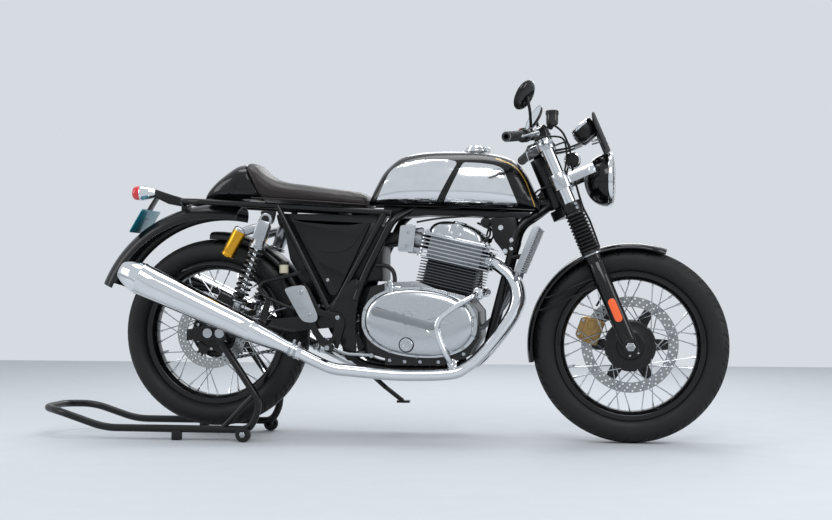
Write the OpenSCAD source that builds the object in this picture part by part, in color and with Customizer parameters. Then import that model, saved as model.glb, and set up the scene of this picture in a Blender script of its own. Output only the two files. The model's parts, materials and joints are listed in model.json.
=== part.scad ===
// Cafe racer motorcycle with a parallel twin engine, standing on a rear paddock stand.
// +X is forward, +Y is the rider's left, +Z is up, and the floor is at Z = 0.

/* [Wheels] */
// Distance between the two axles
wheelbase = 1398; // [1250:1:1700]
// Outer radius of the front tyre
front_tyre_r = 318.5; // [260:0.5:385]
// Outer radius of the rear tyre
rear_tyre_r = 319.5; // [260:0.5:385]
// Width of the front tyre
front_tyre_w = 100; // [80:1:110]
// Width of the rear tyre
rear_tyre_w = 130; // [100:1:134]
// Radius of the bead seat of both rims
bead_r = 228.5; // [190:0.5:235]
// Height that the paddock stand lifts the rear tyre
rear_lift = 36; // [0:1:60]
// Spokes in each wheel
spoke_count = 36; // [20:4:40]
// Radius of the wheel axles
axle_r = 10; // [7:0.5:12]

/* [Steering] */
// Steering head angle from upright, with both tyres on the ground
rake = 24; // [18:0.5:30]
// Distance of the fork legs ahead of the steering axis
fork_offset = 39.3; // [20:0.1:50]
// Half of the distance between the fork legs
fork_y = 97; // [92:0.5:120]
// Radius of the fork tubes
fork_tube_r = 20.5; // [16:0.5:24]
// Radius of the fork sliders
slider_r = 27; // [26:0.5:32]
// Length of the fork sliders above the axle
slider_len = 330; // [300:1:345]
// Height of the lower yoke above the axle, along the fork
lower_yoke_z = 470; // [440:1:500]
// Thickness of the lower yoke
lower_yoke_t = 32; // [20:1:40]
// Length of the steering head tube
head_len = 177; // [140:1:215]
// Thickness of the upper yoke
upper_yoke_t = 26; // [16:1:32]
// Radius of the steering stem
stem_r = 15; // [10:0.5:20]
// Half of the overall width over the handlebar ends
bar_half_w = 378; // [330:1:420]
// Angle that the handlebars sweep back
bar_sweep = 20; // [0:1:30]

/* [Frame] */
// Distance of the swingarm pivot behind the foot of the steering head
pivot_back = 694.5; // [640:0.5:840]
// Distance of the swingarm pivot below the foot of the steering head
pivot_drop = 367; // [330:1:430]
// Radius of the main frame tubes
frame_r = 14; // [10:0.5:17]
// Radius of the seat rails
rail_r = 10; // [7:0.5:13]
// Half of the distance between the seat rails
rail_y = 100; // [92:1:115]
// Inner half width of the swingarm
arm_inner_y = 87; // [86:0.5:95]
// Width of each swingarm beam
arm_w = 30; // [20:1:34]
// Depth of each swingarm beam
arm_h = 48; // [30:1:56]

/* [Body] */
// Half of the greatest width of the fuel tank
tank_half_w = 129; // [100:1:150]
// Radius of the fuel filler bore
filler_r = 24; // [15:0.5:27]
// Half of the greatest width of the seat
seat_half_w = 122; // [112:1:145]
// Radius of the headlamp
headlamp_r = 90; // [60:1:91]
// Radius of the instrument pods
pod_r = 39; // [25:0.5:43]
// Width of the number plate
plate_w = 180; // [120:1:240]
// Height of the number plate
plate_h = 92; // [60:1:130]

/* [Engine and exhaust] */
// Forward lean of the cylinders
cylinder_lean = 13; // [0:1:25]
// Number of cooling fins on the cylinders
barrel_fins = 9; // [5:1:12]
// Number of cooling fins on the head
head_fins = 7; // [4:1:9]
// Radius of the exhaust header pipes
pipe_r = 19.5; // [15:0.5:22]
// Radius of the silencers at their rear end
silencer_r = 52; // [40:1:54]

/* [Paddock stand] */
// Distance that the stand reaches behind the rear axle
stand_reach = 602; // [450:1:750]
// Radius of the stand tubes
stand_r = 12.5; // [9:0.5:15]
// Radius of the stand wheels
caster_r = 25; // [18:0.5:30]
// Half of the distance between the stand wheels
caster_y = 177; // [165:1:220]

/* [Hidden] */
$fn = 48;

// Clearances
seat_gap = 0.3;        // between pieces that rest on each other
running_gap = 0.05;    // radial play of a bearing
moving_gap = 5.5;      // between pieces that pass each other

// Steering geometry, in the row frame with X measured from the front axle
nose_down = asin(rear_lift / wheelbase);
head_angle = rake - nose_down;
head_foot = lower_yoke_z + lower_yoke_t + moving_gap;
upper_yoke_z = head_foot + head_len + moving_gap;
head_x = -fork_offset * cos(head_angle) - head_foot * sin(head_angle);
head_z = front_tyre_r - fork_offset * sin(head_angle) + head_foot * cos(head_angle);

// Main points of the chassis
pivot_x = head_x - pivot_back;
pivot_z = head_z - pivot_drop;
rear_axle_z = rear_tyre_r + rear_lift;
axle_px = -wheelbase - pivot_x;
axle_pz = rear_axle_z - pivot_z;
origin_x = (wheelbase + stand_reach - front_tyre_r) / 2;

// ---------- helpers ----------
module on_floor() translate([origin_x, 0, 0]) children();
module at_fork() on_floor() translate([0, 0, front_tyre_r]) rotate([0, -head_angle, 0]) children();
module at_pivot() on_floor() translate([pivot_x, 0, pivot_z]) children();
module at_rear_axle() on_floor() translate([-wheelbase, 0, rear_axle_z]) children();
module at_front_axle() on_floor() translate([0, 0, front_tyre_r]) children();
module both_sides() {
  children();
  mirror([0, 1, 0]) children();
}
// A solid of revolution about Y, from an outline of [radius, y] points
module revolve_y(outline) rotate([-90, 0, 0]) rotate_extrude($fn = 96) polygon(outline);
// A cylinder along Y, from one y to another
module pin_y(x, z, y0, y1, r) translate([x, y0, z]) rotate([-90, 0, 0]) cylinder(r = r, h = y1 - y0);
// A straight round bar between two points
module rod(a, b, r) {
  d = b - a;
  translate(a)
    rotate([0, acos(d[2] / norm(d)), atan2(d[1], d[0])]) cylinder(r = r, h = norm(d));
}
// A bent round bar, as a chain of hulls
module bent_bar(points, r, sides = 12)
  for (i = [0 : len(points) - 2])
    hull() {
      translate(points[i]) sphere(r = r, $fn = sides);
      translate(points[i + 1]) sphere(r = r, $fn = sides);
    }
// A plate across Y with the outline given in X and Z
module plate_xz(outline, y0, y1)
  translate([0, y1, 0]) rotate([90, 0, 0]) linear_extrude(y1 - y0) polygon(outline);

function unit(v) = v / norm(v);
function power(v, e) = sign(v) * pow(abs(v), e);
function mix(a, b, t) = a + (b - a) * t;
// A point of the smooth curve through a list of points or rows
function curve_at(p, u) =
  let (n = len(p), i = min(n - 2, floor(u)), t = u - i,
       a = p[max(0, i - 1)], b = p[i], c = p[i + 1], d = p[min(n - 1, i + 2)])
  (2 * b + (c - a) * t + (2 * a - 5 * b + 4 * c - d) * t * t
    + (3 * b - a - 3 * c + d) * t * t * t) / 2;
function smooth(p, steps) = [for (k = [0 : steps]) curve_at(p, k * (len(p) - 1) / steps)];
function reversed(p) = [for (i = [len(p) - 1 : -1 : 0]) p[i]];
// A skin over rings that have the same number of points and turn from Y to Z about the way they run
module skin(rings) {
  n = len(rings[0]);
  m = len(rings);
  polyhedron(
    points = [for (ring = rings) for (q = ring) q],
    faces = concat(
      [[for (k = [0 : n - 1]) k]],
      [for (i = [0 : m - 2]) for (k = [0 : n - 1])
        for (tri = [[i * n + k, (i + 1) * n + k, i * n + (k + 1) % n],
                    [i * n + (k + 1) % n, (i + 1) * n + k, (i + 1) * n + (k + 1) % n]]) tri],
      [[for (k = [n - 1 : -1 : 0]) (m - 1) * n + k]]),
    convexity = 6);
}
// A tube swept along a route that never runs along Y, with a radius for each point
function tube_ring(p, t, r, sides) =
  let (side = unit(cross(t, [0, 1, 0])), up = cross(side, t))
  [for (k = [0 : sides - 1]) p + r * (cos(k * 360 / sides) * side - sin(k * 360 / sides) * up)];
module swept(route, radii, sides = 16) {
  m = len(route);
  skin([for (i = [0 : m - 1])
    tube_ring(route[i], unit(route[min(m - 1, i + 1)] - route[max(0, i - 1)]), radii[i], sides)]);
}
// One ring of a body panel: round-shouldered, flat-based, and leaning by lean * height
function body_ring(x, base, top, half_w, lean, sides = 32, shape = 2.6, belt = 0.34) =
  let (middle = mix(base, top, belt))
  [for (k = [0 : sides - 1])
    let (a = k * 360 / sides, s = power(sin(a), 2 / shape),
         z = middle + s * (s > 0 ? top - middle : middle - base))
    [x + lean * (z - base), half_w * power(cos(a), 2 / shape), z]];

// ---------- wheels ----------
rim_half_w = 34;
rim_flange = 14;
tyre_bead_y = rim_half_w - 3;
function tyre_outline(r, w) =
  let (belt = mix(bead_r, r, 0.52), foot = bead_r + rim_flange + 1)
  concat([[bead_r + seat_gap, -tyre_bead_y], [foot, -tyre_bead_y]],
    [for (b = [75 : -15 : 15]) [belt - (belt - foot) * sin(b), -tyre_bead_y - (w / 2 - tyre_bead_y) * cos(b)]],
    [for (a = [180 : -12 : 0]) [belt + (r - belt) * power(sin(a), 0.82), w / 2 * power(cos(a), 0.9)]],
    [for (b = [15 : 15 : 75]) [belt - (belt - foot) * sin(b), tyre_bead_y + (w / 2 - tyre_bead_y) * cos(b)]],
    [[foot, tyre_bead_y], [bead_r + seat_gap, tyre_bead_y]]);
rim_inner_r = bead_r - 14.5;
function rim_half() = [
  [rim_inner_r, 6], [rim_inner_r + 1, 18], [rim_inner_r + 7, rim_half_w - 6], [bead_r - 2, rim_half_w + 3.5],
  [bead_r + rim_flange, rim_half_w + 4.5], [bead_r + rim_flange + 1, rim_half_w + 2.5],
  [bead_r + rim_flange - 1, rim_half_w], [bead_r, rim_half_w - 1], [bead_r, 22], [bead_r - 9, 16]];
function mirror_y(outline) = [for (p = reversed(outline)) [p[0], -p[1]]];
module tyre(r, w) color("#1b1c1e") revolve_y(tyre_outline(r, w));
module rim() color("#101112") revolve_y(concat(rim_half(), mirror_y(rim_half())));

flange_y = 30;
flange_r = 84;
barrel_r = 40;
spoke_r = 1.8;
// The spokes cross in pairs, each one leaning round the hub
spoke_swing = 38;
module spokes(start_r, start_y)
  for (k = [0 : spoke_count - 1]) {
    side = k % 2 == 0 ? 1 : -1;
    turn = floor(k / 2) % 2 == 0 ? 1 : -1;
    a = k * 360 / spoke_count;
    b = a + turn * spoke_swing;
    rod([start_r * cos(b), side * start_y, start_r * sin(b)],
        [(rim_inner_r - seat_gap - 0.3) * cos(a), side * 5, (rim_inner_r - seat_gap - 0.3) * sin(a)], spoke_r);
  }
module hub(left_y, right_y, left_r, right_r)
  color("#141516") difference() {
    union() {
      revolve_y([[0, -right_y], [right_r, -right_y], [right_r, -flange_y - 6], [flange_r, -flange_y - 4],
        [flange_r, -flange_y + 4], [barrel_r, -flange_y + 9], [barrel_r, flange_y - 9],
        [flange_r, flange_y - 4], [flange_r, flange_y + 4], [left_r, flange_y + 6],
        [left_r, left_y], [0, left_y]]);
      spokes(flange_r - 5, flange_y);
    }
    pin_y(0, 0, -right_y - 1, left_y + 1, axle_r + running_gap);
  }
disc_t = 5;
front_disc_y = 58;
front_disc_r = 160;
front_carrier_r = 62;
module front_tyre() at_front_axle() tyre(front_tyre_r, front_tyre_w);
module front_rim() at_front_axle() rim();
module front_hub() at_front_axle() hub(front_disc_y - disc_t / 2 - seat_gap, 52, front_carrier_r, 46);
module brake_disc(y, inner_r, outer_r)
  color("#b9bcc0") difference() {
    pin_y(0, 0, y - disc_t / 2, y + disc_t / 2, outer_r);
    pin_y(0, 0, y - disc_t, y + disc_t, inner_r);
  }
module front_disc() at_front_axle() brake_disc(front_disc_y, front_carrier_r - 14, front_disc_r);

rear_disc_y = arm_inner_y - 11;
rear_disc_r = 120;
rear_carrier_r = 62;
sprocket_r = 86;
module rear_tyre() at_rear_axle() tyre(rear_tyre_r, rear_tyre_w);
module rear_rim() at_rear_axle() rim();
module rear_hub() at_rear_axle()
  hub(rear_disc_y - disc_t / 2 - seat_gap, rear_disc_y - disc_t / 2 - seat_gap, rear_carrier_r, rear_carrier_r);
module rear_disc() at_rear_axle() brake_disc(-rear_disc_y, rear_carrier_r - 14, rear_disc_r);
module rear_sprocket() at_rear_axle()
  color("#8b8e91") difference() {
    pin_y(0, 0, rear_disc_y - disc_t / 2, rear_disc_y + disc_t / 2, sprocket_r);
    pin_y(0, 0, rear_disc_y - disc_t, rear_disc_y + disc_t, rear_carrier_r - 14);
  }

// ---------- steering ----------
clamp_wall = 12;
leg_gap = 0.1;
module yoke_plate(t, clamp_r, stem_boss_r)
  linear_extrude(t) {
    for (s = [-1, 1])
      translate([0, s * fork_y]) circle(r = clamp_r);
    translate([-fork_offset, 0]) circle(r = stem_boss_r);
    polygon([[-14, fork_y], [-fork_offset - stem_boss_r * 0.8, 16], [-fork_offset - stem_boss_r * 0.8, -16],
      [-14, -fork_y], [14, -fork_y], [4, -30], [4, 30], [14, fork_y]]);
  }
module leg_bores(z, h, r) for (s = [-1, 1]) translate([0, s * fork_y, z - 1]) cylinder(r = r, h = h + 2);
module lower_yoke() at_fork()
  color("#17181a") union() {
    difference() {
      translate([0, 0, lower_yoke_z]) yoke_plate(lower_yoke_t, fork_tube_r + clamp_wall, stem_r + 19);
      leg_bores(lower_yoke_z, lower_yoke_t, fork_tube_r + leg_gap);
    }
    translate([-fork_offset, 0, lower_yoke_z + lower_yoke_t / 2])
      cylinder(r = stem_r, h = upper_yoke_z + upper_yoke_t + 8 - lower_yoke_z - lower_yoke_t / 2);
  }
module upper_yoke() at_fork()
  color("#c9ccd0") difference() {
    translate([0, 0, upper_yoke_z]) yoke_plate(upper_yoke_t, fork_tube_r + clamp_wall - 3, stem_r + 17);
    leg_bores(upper_yoke_z, upper_yoke_t, fork_tube_r + leg_gap);
    translate([-fork_offset, 0, upper_yoke_z - 1]) cylinder(r = stem_r + leg_gap, h = upper_yoke_t + 2);
  }
bar_z = upper_yoke_z + upper_yoke_t + 29;
tube_top = bar_z + 20;
tube_foot = 70;
module fork_tubes() at_fork()
  color("#d8dadd") both_sides() translate([0, fork_y, tube_foot]) {
    cylinder(r = fork_tube_r, h = tube_top - tube_foot);
    translate([0, 0, tube_top - tube_foot - 0.01]) cylinder(r = fork_tube_r - 4, h = 5);
  }
gaiter_ribs = 11;
gaiter_foot = slider_len - 14;
gaiter_top = lower_yoke_z - seat_gap;
module fork_gaiters() at_fork() {
  rib = (gaiter_top - slider_len - 8) / gaiter_ribs;
  color("#1c1d1f") both_sides() translate([0, fork_y, 0]) rotate_extrude($fn = 64)
    polygon(concat(
      [[fork_tube_r + seat_gap, slider_len + seat_gap], [slider_r + seat_gap, slider_len + seat_gap],
       [slider_r + seat_gap, gaiter_foot], [slider_r + 4, gaiter_foot], [slider_r + 4, slider_len + 4]],
      [for (i = [0 : gaiter_ribs - 1]) each
        [[slider_r - 1, slider_len + 5 + i * rib], [slider_r + 6, slider_len + 5 + (i + 0.5) * rib]]],
      [[slider_r - 1, gaiter_top - 3], [slider_r - 1, gaiter_top], [fork_tube_r + seat_gap, gaiter_top]]));
}
axle_lug_r = 25;
lug_half = 28.5;
module fork_sliders() at_fork()
  color("#141517") both_sides() translate([0, fork_y, 0]) difference() {
    union() {
      cylinder(r = slider_r, h = slider_len);
      pin_y(0, 0, -lug_half, lug_half, axle_lug_r);
    }
    pin_y(0, 0, -40, 40, axle_r + leg_gap);
    translate([0, 0, tube_foot - seat_gap]) cylinder(r = fork_tube_r + seat_gap, h = slider_len);
  }
front_axle_half = fork_y + lug_half + 4;
front_axle_bore = axle_r - 3.5;
module front_axle() at_front_axle()
  color("#c8cacd") difference() {
    union() {
      pin_y(0, 0, -front_axle_half, front_axle_half, axle_r);
      for (s = [-1, 1])
        translate([0, s * (fork_y + lug_half + seat_gap + 2), 0]) pin_y(0, 0, -2, 2, axle_r + 5);
    }
    pin_y(0, 0, -front_axle_half - 1, front_axle_half + 1, front_axle_bore);
  }
fender_gap = 16;
fender_t = 3;
fender_half_w = min(front_tyre_w / 2 + 9, fork_y - slider_r - 8);
front_fender_r = front_tyre_r + fender_gap + fender_t;
// The cross section of a mudguard, an arch with straight lips
function guard_outline(r, half_w, drop, t) =
  concat([for (a = [0 : 15 : 180]) [r - drop + drop * power(sin(a), 0.8), half_w * cos(a)]],
    [for (a = [180 : -15 : 0]) [r - drop + (drop - t) * power(sin(a), 0.8), (half_w - t) * cos(a)]]);
module guard(r, half_w, drop, t, from, to)
  rotate([90, 0, 0]) rotate([0, 0, from]) rotate_extrude(angle = to - from, $fn = 120)
    polygon(guard_outline(r, half_w, drop, t));
fender_front_end = 69;
fender_rear_end = 190;
module front_fender() at_front_axle() color("#0d0e10") {
  brace_y = fork_y - slider_r - seat_gap;
  reach = front_fender_r - 12;
  difference() {
    union() {
      guard(front_fender_r, fender_half_w, 20, fender_t, fender_front_end, fender_rear_end);
      both_sides() rotate([0, -head_angle, 0]) translate([-14, fender_half_w - 4, slider_len - 62]) {
        cube([28, brace_y - fender_half_w + 12, 46]);
        cube([28, 9, 60]);
      }
      both_sides() rod([reach * cos(150), fender_half_w - 2, reach * sin(150)],
        [-slider_r * 0.3 - 250 * sin(head_angle), brace_y - 3.5, 250 * cos(head_angle)], 3);
    }
    both_sides() rotate([0, -head_angle, 0])
      translate([0, fork_y, 0]) cylinder(r = slider_r + seat_gap, h = slider_len);
  }
}
caliper_angle = 160;
module caliper_block(disc_y, span_y, inner_r, outer_r, half_len)
  difference() {
    translate([inner_r, disc_y - span_y, -half_len]) cube([outer_r - inner_r, 2 * span_y, 2 * half_len]);
    pin_y(0, 0, disc_y - disc_t / 2 - moving_gap, disc_y + disc_t / 2 + moving_gap, outer_r - 16);
  }
module front_caliper() at_front_axle() color("#b0925a") difference() {
  union() {
    rotate([0, -caliper_angle, 0]) caliper_block(front_disc_y, 22, 98, front_disc_r + 22, 44);
    rotate([0, -head_angle, 0]) translate([-56, front_disc_y + 8.5, 96])
      cube([56, fork_y - front_disc_y - 26, 60]);
  }
  rotate([0, -head_angle, 0]) translate([0, fork_y, 0]) cylinder(r = slider_r + seat_gap, h = slider_len);
}
lamp_x = 153;
lamp_z = 526;
ear_y = headlamp_r + 2.5;
ear_t = 8;
ear_z = 578;
module lamp_brackets() at_fork()
  color("#c4c7ca") both_sides() difference() {
    union() {
      translate([0, fork_y, ear_z - 26]) cylinder(r = fork_tube_r + 10, h = 52);
      translate([0, ear_y, ear_z - 16]) cube([lamp_x - 36, ear_t, 32]);
    }
    translate([0, fork_y, ear_z - 40]) cylinder(r = fork_tube_r + leg_gap, h = 80);
  }
lamp_depth = 88;
module headlamp() at_fork() translate([lamp_x, 0, lamp_z]) rotate([0, head_angle, 0])
  color("#cfd2d5") union() {
    rotate([0, 90, 0]) rotate_extrude($fn = 96)
      polygon(concat([[0, -lamp_depth]],
        [for (a = [15 : 12 : 87]) [headlamp_r * 0.97 * sin(a), -14 - (lamp_depth - 14) * cos(a)]],
        [[headlamp_r * 0.97, -8], [headlamp_r, -7], [headlamp_r, 4], [headlamp_r - 5, 6]],
        [for (a = [70 : -14 : 0]) [(headlamp_r - 8) * sin(a), 5 + 11 * cos(a)]]));
    both_sides() pin_y(-62, 27, 55, ear_y - seat_gap, 9);
  }
pod_x = 129;
pod_z = 729;
pod_y = pod_r + 5;
pod_tilt = 18;
pod_depth = 54;
pod_plate_x = -2;
module instrument_pods() at_fork() color("#17181a") {
  both_sides() translate([pod_x, pod_y, pod_z]) rotate([0, -pod_tilt, 0]) rotate([180, 0, 0])
    rotate_extrude($fn = 64) polygon([[0, 0], [pod_r, 0], [pod_r, 30], [pod_r - 3, 42],
      [pod_r - 12, pod_depth - 2], [0, pod_depth]]);
  difference() {
    plate_xz([[pod_plate_x, upper_yoke_z - seat_gap - 8], [pod_plate_x, upper_yoke_z - seat_gap],
      [12, upper_yoke_z - seat_gap], [60, upper_yoke_z - 12], [pod_x + 20, upper_yoke_z - 14],
      [pod_x + 20, upper_yoke_z - 22], [60, upper_yoke_z - 22]], -pod_y - 12, pod_y + 12);
    both_sides() translate([pod_x, pod_y, pod_z]) rotate([0, -pod_tilt, 0]) rotate([180, 0, 0])
      cylinder(r = pod_r, h = pod_depth - 2);
    leg_bores(upper_yoke_z - 60, 90, fork_tube_r + 10.5);
  }
}
screen_x = 190;
screen_foot = 618;
screen_h = 137;
screen_half_w = 95;
screen_curve = 260;
module fly_screen() at_fork() color("#101113") {
  intersection() {
    translate([screen_x - screen_curve, 0, screen_foot]) difference() {
      cylinder(r = screen_curve, h = screen_h, $fn = 120);
      translate([0, 0, -1]) cylinder(r = screen_curve - 3, h = screen_h + 2, $fn = 120);
    }
    translate([0, 0, screen_foot]) rotate([90, 0, 90]) linear_extrude(screen_x + 20)
      polygon(concat([[-screen_half_w, 0], [screen_half_w, 0]],
        [for (a = [0 : 12 : 180])
          [screen_half_w * power(cos(a), 0.6), 60 + (screen_h - 60) * power(sin(a), 0.6)]]));
  }
  both_sides()
    rod([pod_x + 12, pod_y, upper_yoke_z - 25.3], [screen_x - 4.3, pod_y - 6, upper_yoke_z - 30], 3);
}
bar_r = 11;
bar_len = (bar_half_w - fork_y) / cos(bar_sweep) - 6;
bar_end_r = 7;
bar_end_depth = 40;
grip_len = 128;
grip_r = 16.5;
// One handlebar's own frame: +Y runs outward along the bar
module along_bar() translate([0, fork_y, bar_z]) rotate([0, 0, bar_sweep]) children();
module bar_half() {
  difference() {
    union() {
      translate([0, fork_y, bar_z - 17]) cylinder(r = fork_tube_r + 8, h = 34);
      along_bar() pin_y(0, 0, fork_tube_r + 2, bar_len, bar_r);
      along_bar() pin_y(0, 0, bar_len - grip_len - 38, bar_len - grip_len - 2, 22);
      along_bar() rod([8, bar_len - grip_len - 22, -6], [52, bar_len - grip_len - 6, -14], 8);
      along_bar() rod([50, bar_len - grip_len - 8, -14], [44, bar_len - 12, -18], 6);
    }
    translate([0, fork_y, bar_z - 20]) cylinder(r = fork_tube_r + leg_gap, h = 40);
    along_bar() pin_y(0, 0, bar_len - bar_end_depth, bar_len + 1, bar_end_r);
  }
}
module handlebars() at_fork() color("#232426") {
  bar_half();
  mirror([0, 1, 0]) union() {
    bar_half();
    translate([44, fork_y + 52, bar_z + 6]) rotate([0, head_angle, 0]) cylinder(r = 21, h = 48);
    rod([34, fork_y + 44, bar_z + 4], [50, fork_y + 58, bar_z + 14], 15);
    along_bar() rod([6, 40, 0], [40, 52, 10], 9);
  }
}
module grips() at_fork() color("#1a1b1c") both_sides() along_bar() difference() {
  pin_y(0, 0, bar_len - grip_len, bar_len, grip_r);
  pin_y(0, 0, bar_len - grip_len - 1, bar_len + 1, bar_r + seat_gap);
}
mirror_r = 50;
mirror_turn = 18;
module mirrors() at_fork() color("#101112") both_sides() {
  foot = [-20, fork_y + 78, bar_z + 24];
  knee = [-2, fork_y + 165, bar_z + 66];
  head = [6, fork_y + 178, bar_z + 108];
  difference() {
    union() {
      along_bar() pin_y(0, 0, 72, 92, bar_r + 7);
      rod([-26, fork_y + 77, bar_z + 6], foot, 6);
    }
    along_bar() pin_y(0, 0, 60, 104, bar_r + seat_gap);
  }
  translate(foot) sphere(r = 7);
  rod(foot, knee, 5);
  translate(knee) sphere(r = 6);
  rod(knee, head, 4.5);
  translate(head) rotate([0, 0, mirror_turn]) rotate([0, -head_angle - 51, 0])
    cylinder(r1 = mirror_r - 12, r2 = mirror_r, h = 14, $fn = 64);
}

// ---------- frame ----------
module at_head() rotate([0, -head_angle, 0]) children();
module headstock() at_pivot() translate([pivot_back, 0, pivot_drop]) at_head()
  color("#121315") difference() {
    cylinder(r = stem_r + 15, h = head_len);
    translate([0, 0, -1]) cylinder(r = stem_r + running_gap, h = head_len + 2);
  }
function on_head(s) = [pivot_back - s * sin(head_angle), 0, pivot_drop + s * cos(head_angle)];
function point_xz(p) = [p[0], p[2]];
rail_front = [150, 350];
rail_rear = [axle_px - 117, max(rail_front[1] + 48, axle_pz + rear_tyre_r + 129)];
function rail_height(x) =
  mix(rail_front[1], rail_rear[1], (x - rail_front[0]) / (rail_rear[0] - rail_front[0]));
rail_bend = mix(rail_front[0], rail_rear[0], 0.9);
shock_y = arm_inner_y + arm_w + 17;
shock_top = [axle_px + 204, 329];
shock_foot = [axle_px + 94, axle_pz + 62];
plate_y = arm_inner_y + arm_w + seat_gap;
plate_t = 12;
spine_y = 27;
spine_z = 384;
cradle_z = -150 - seat_gap - frame_r;
down_tube_top = [560, 60, 290];
down_tube_foot = [458, 62, -100];
gusset_half = 4;
module half_frame() {
  bent_bar([on_head(19) + [-20, 8, 0], [590, spine_y, spine_z], [230, spine_y, spine_z], [185, 62, 352],
    [150, 98, 328], [60, 106, 150], [32, plate_y + 6, 60]], frame_r);
  bent_bar([on_head(12) + [-20, 6, 0], [618, 28, 340], [580, 50, 318], down_tube_top, down_tube_foot,
    [430, 66, -140], [395, 76, cradle_z], [110, 84, cradle_z], [50, 96, -152],
    [14, plate_y + 6, -120]], frame_r);
  hull() {
    pin_y(0, 0, plate_y, plate_y + plate_t, 32);
    pin_y(14, -120, plate_y, plate_y + plate_t, 20);
  }
  hull() {
    pin_y(0, 0, plate_y, plate_y + plate_t, 32);
    pin_y(34, 112, plate_y, plate_y + plate_t, 18);
    pin_y(-54, 30, plate_y, plate_y + plate_t, 14);
  }
  bent_bar([[rail_front[0], rail_y, rail_front[1]], [rail_bend, rail_y, rail_height(rail_bend)],
    [rail_rear[0], rail_y - 40, rail_rear[1]], [rail_rear[0], 0, rail_rear[1]]], rail_r);
  bent_bar([[-238, rail_y + 4, rail_height(-238)], [-60, plate_y + 6, 34]], rail_r);
  bent_bar([[124, rail_y + 4, rail_height(124) - 6], [-44, plate_y + 6, 34]], rail_r);
  hull() {
    pin_y(shock_top[0], shock_top[1], rail_y - 6, shock_y - 17, 14);
    translate([shock_top[0] - 26, rail_y - 8, rail_height(shock_top[0]) - 14]) cube([52, 14, 12]);
  }
  pin_y(shock_top[0], shock_top[1], rail_y - 6, shock_y + 16, 6);
}
module main_frame() at_pivot() color("#131416") difference() {
  union() {
    half_frame();
    mirror([0, 1, 0]) half_frame();
    bent_bar([[-30, -rail_y, rail_height(-30)], [-30, rail_y, rail_height(-30)]], rail_r);
    bent_bar([[12, -plate_y, -124], [12, plate_y, -124]], 12);
    plate_xz([point_xz(on_head(124)), point_xz(on_head(14)), [622, 372], [626, 396]],
      -gusset_half, gusset_half);
  }
  translate([pivot_back, 0, pivot_drop]) at_head() translate([0, 0, -20])
    cylinder(r = stem_r + 15 + seat_gap, h = head_len + 40, $fn = 64);
}
arm_len = norm([axle_px, axle_pz]);
arm_slope = atan2(axle_pz, axle_px);
spool_at = [axle_px + 47, axle_pz];
module swingarm() at_pivot() color("#141518") difference() {
  union() {
    pin_y(0, 0, -arm_inner_y - arm_w, arm_inner_y + arm_w, 22);
    both_sides() {
      rotate([0, -arm_slope, 0]) translate([0, arm_inner_y, -arm_h / 2]) cube([arm_len + 46, arm_w, arm_h]);
      pin_y(spool_at[0], spool_at[1], arm_inner_y + 10, arm_inner_y + arm_w + 28, 10);
      pin_y(spool_at[0], spool_at[1], arm_inner_y + arm_w + 24, arm_inner_y + arm_w + 28, 15);
      translate([shock_foot[0] - 13, arm_inner_y + 4, shock_foot[1] - 50]) cube([26, arm_w - 5, 62]);
      pin_y(shock_foot[0], shock_foot[1], arm_inner_y + 6, shock_y + 16, 7);
    }
    rotate([0, -arm_slope, 0]) translate([62, -arm_inner_y - 1, -18]) cube([30, 2 * arm_inner_y + 2, 36]);
  }
  translate([axle_px, 0, axle_pz]) pin_y(0, 0, -200, 200, axle_r + leg_gap);
}
rear_axle_half = arm_inner_y + arm_w + 11;
module rear_axle() at_rear_axle() color("#b9bcbf") {
  union() {
    pin_y(0, 0, -rear_axle_half, rear_axle_half, axle_r);
    for (s = [-1, 1]) {
      pin_y(0, 0, s * (rear_axle_half - 5.35) - 5, s * (rear_axle_half - 5.35) + 5, 16);
      pin_y(0, 0, s * (arm_inner_y - 4) - 3.7, s * (arm_inner_y - 4) + 3.7, 16);
    }
  }
}

// ---------- engine ----------
case_half_w = 148;
sprocket_x = 75;
output_z = -2;
chain_r = 98;
chain_front_r = 38;
chain_half_h = 6.5;
front_sprocket_r = chain_front_r - chain_half_h - seat_gap;
module crankcase() at_pivot() color("#a9adb1") union() {
  plate_xz([[134, -148], [134, 118], [236, 122], [300, 98], [396, 74], [436, 24], [438, -62],
    [404, -122], [320, -150], [134, -150]], -case_half_w, case_half_w);
  plate_xz([[36, -60], [36, 60], [60, 104], [134, 118], [134, -128], [64, -112]], -86, 54);
  plate_xz([[72, -60], [72, 60], [86, 100], [134, 118], [134, -128], [78, -112]], -case_half_w, -86);
  pin_y(sprocket_x, output_z, 50, rear_disc_y + 4, 12);
  pin_y(sprocket_x, output_z, rear_disc_y - 3, rear_disc_y + 3, front_sprocket_r);
}
cover_x = 248;
cover_z = -10;
cover_a = 190;
cover_b = 114;
function oval(a, b, shape, count) =
  [for (k = [0 : count - 1]) let (turn = k * 360 / count)
    [a * power(cos(turn), 2 / shape), b * power(sin(turn), 2 / shape)]];
cover_depth = 44;
module side_cover() {
  // Each step inward of the dome is one ring of the cover
  skin([for (row = [[0, 1], [14, 1], [26, 0.975], [35, 0.92], [41, 0.82], [cover_depth, 0.64],
    [cover_depth + 1.5, 0.3]])
    [for (q = oval(cover_a * row[1], cover_b * row[1], 2.3, 48)) [q[0], -row[0], q[1]]]]);
}
module engine_covers() at_pivot() color("#c3c6c9") both_sides()
  translate([cover_x, -case_half_w - seat_gap, cover_z]) rotate([0, 4, 0]) side_cover();
cyl_x = 328;
cyl_z = 85;
module at_cylinders() at_pivot() translate([cyl_x, 0, cyl_z]) rotate([0, cylinder_lean, 0]) children();
barrel_top = 98;
head_top = 176;
module fin_row(count, z0, z1, half_x, half_y, t)
  for (i = [0 : count - 1])
    translate([-half_x, -half_y, z0 + i * (z1 - z0 - t) / (count - 1)]) cube([2 * half_x, 2 * half_y, t]);
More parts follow.
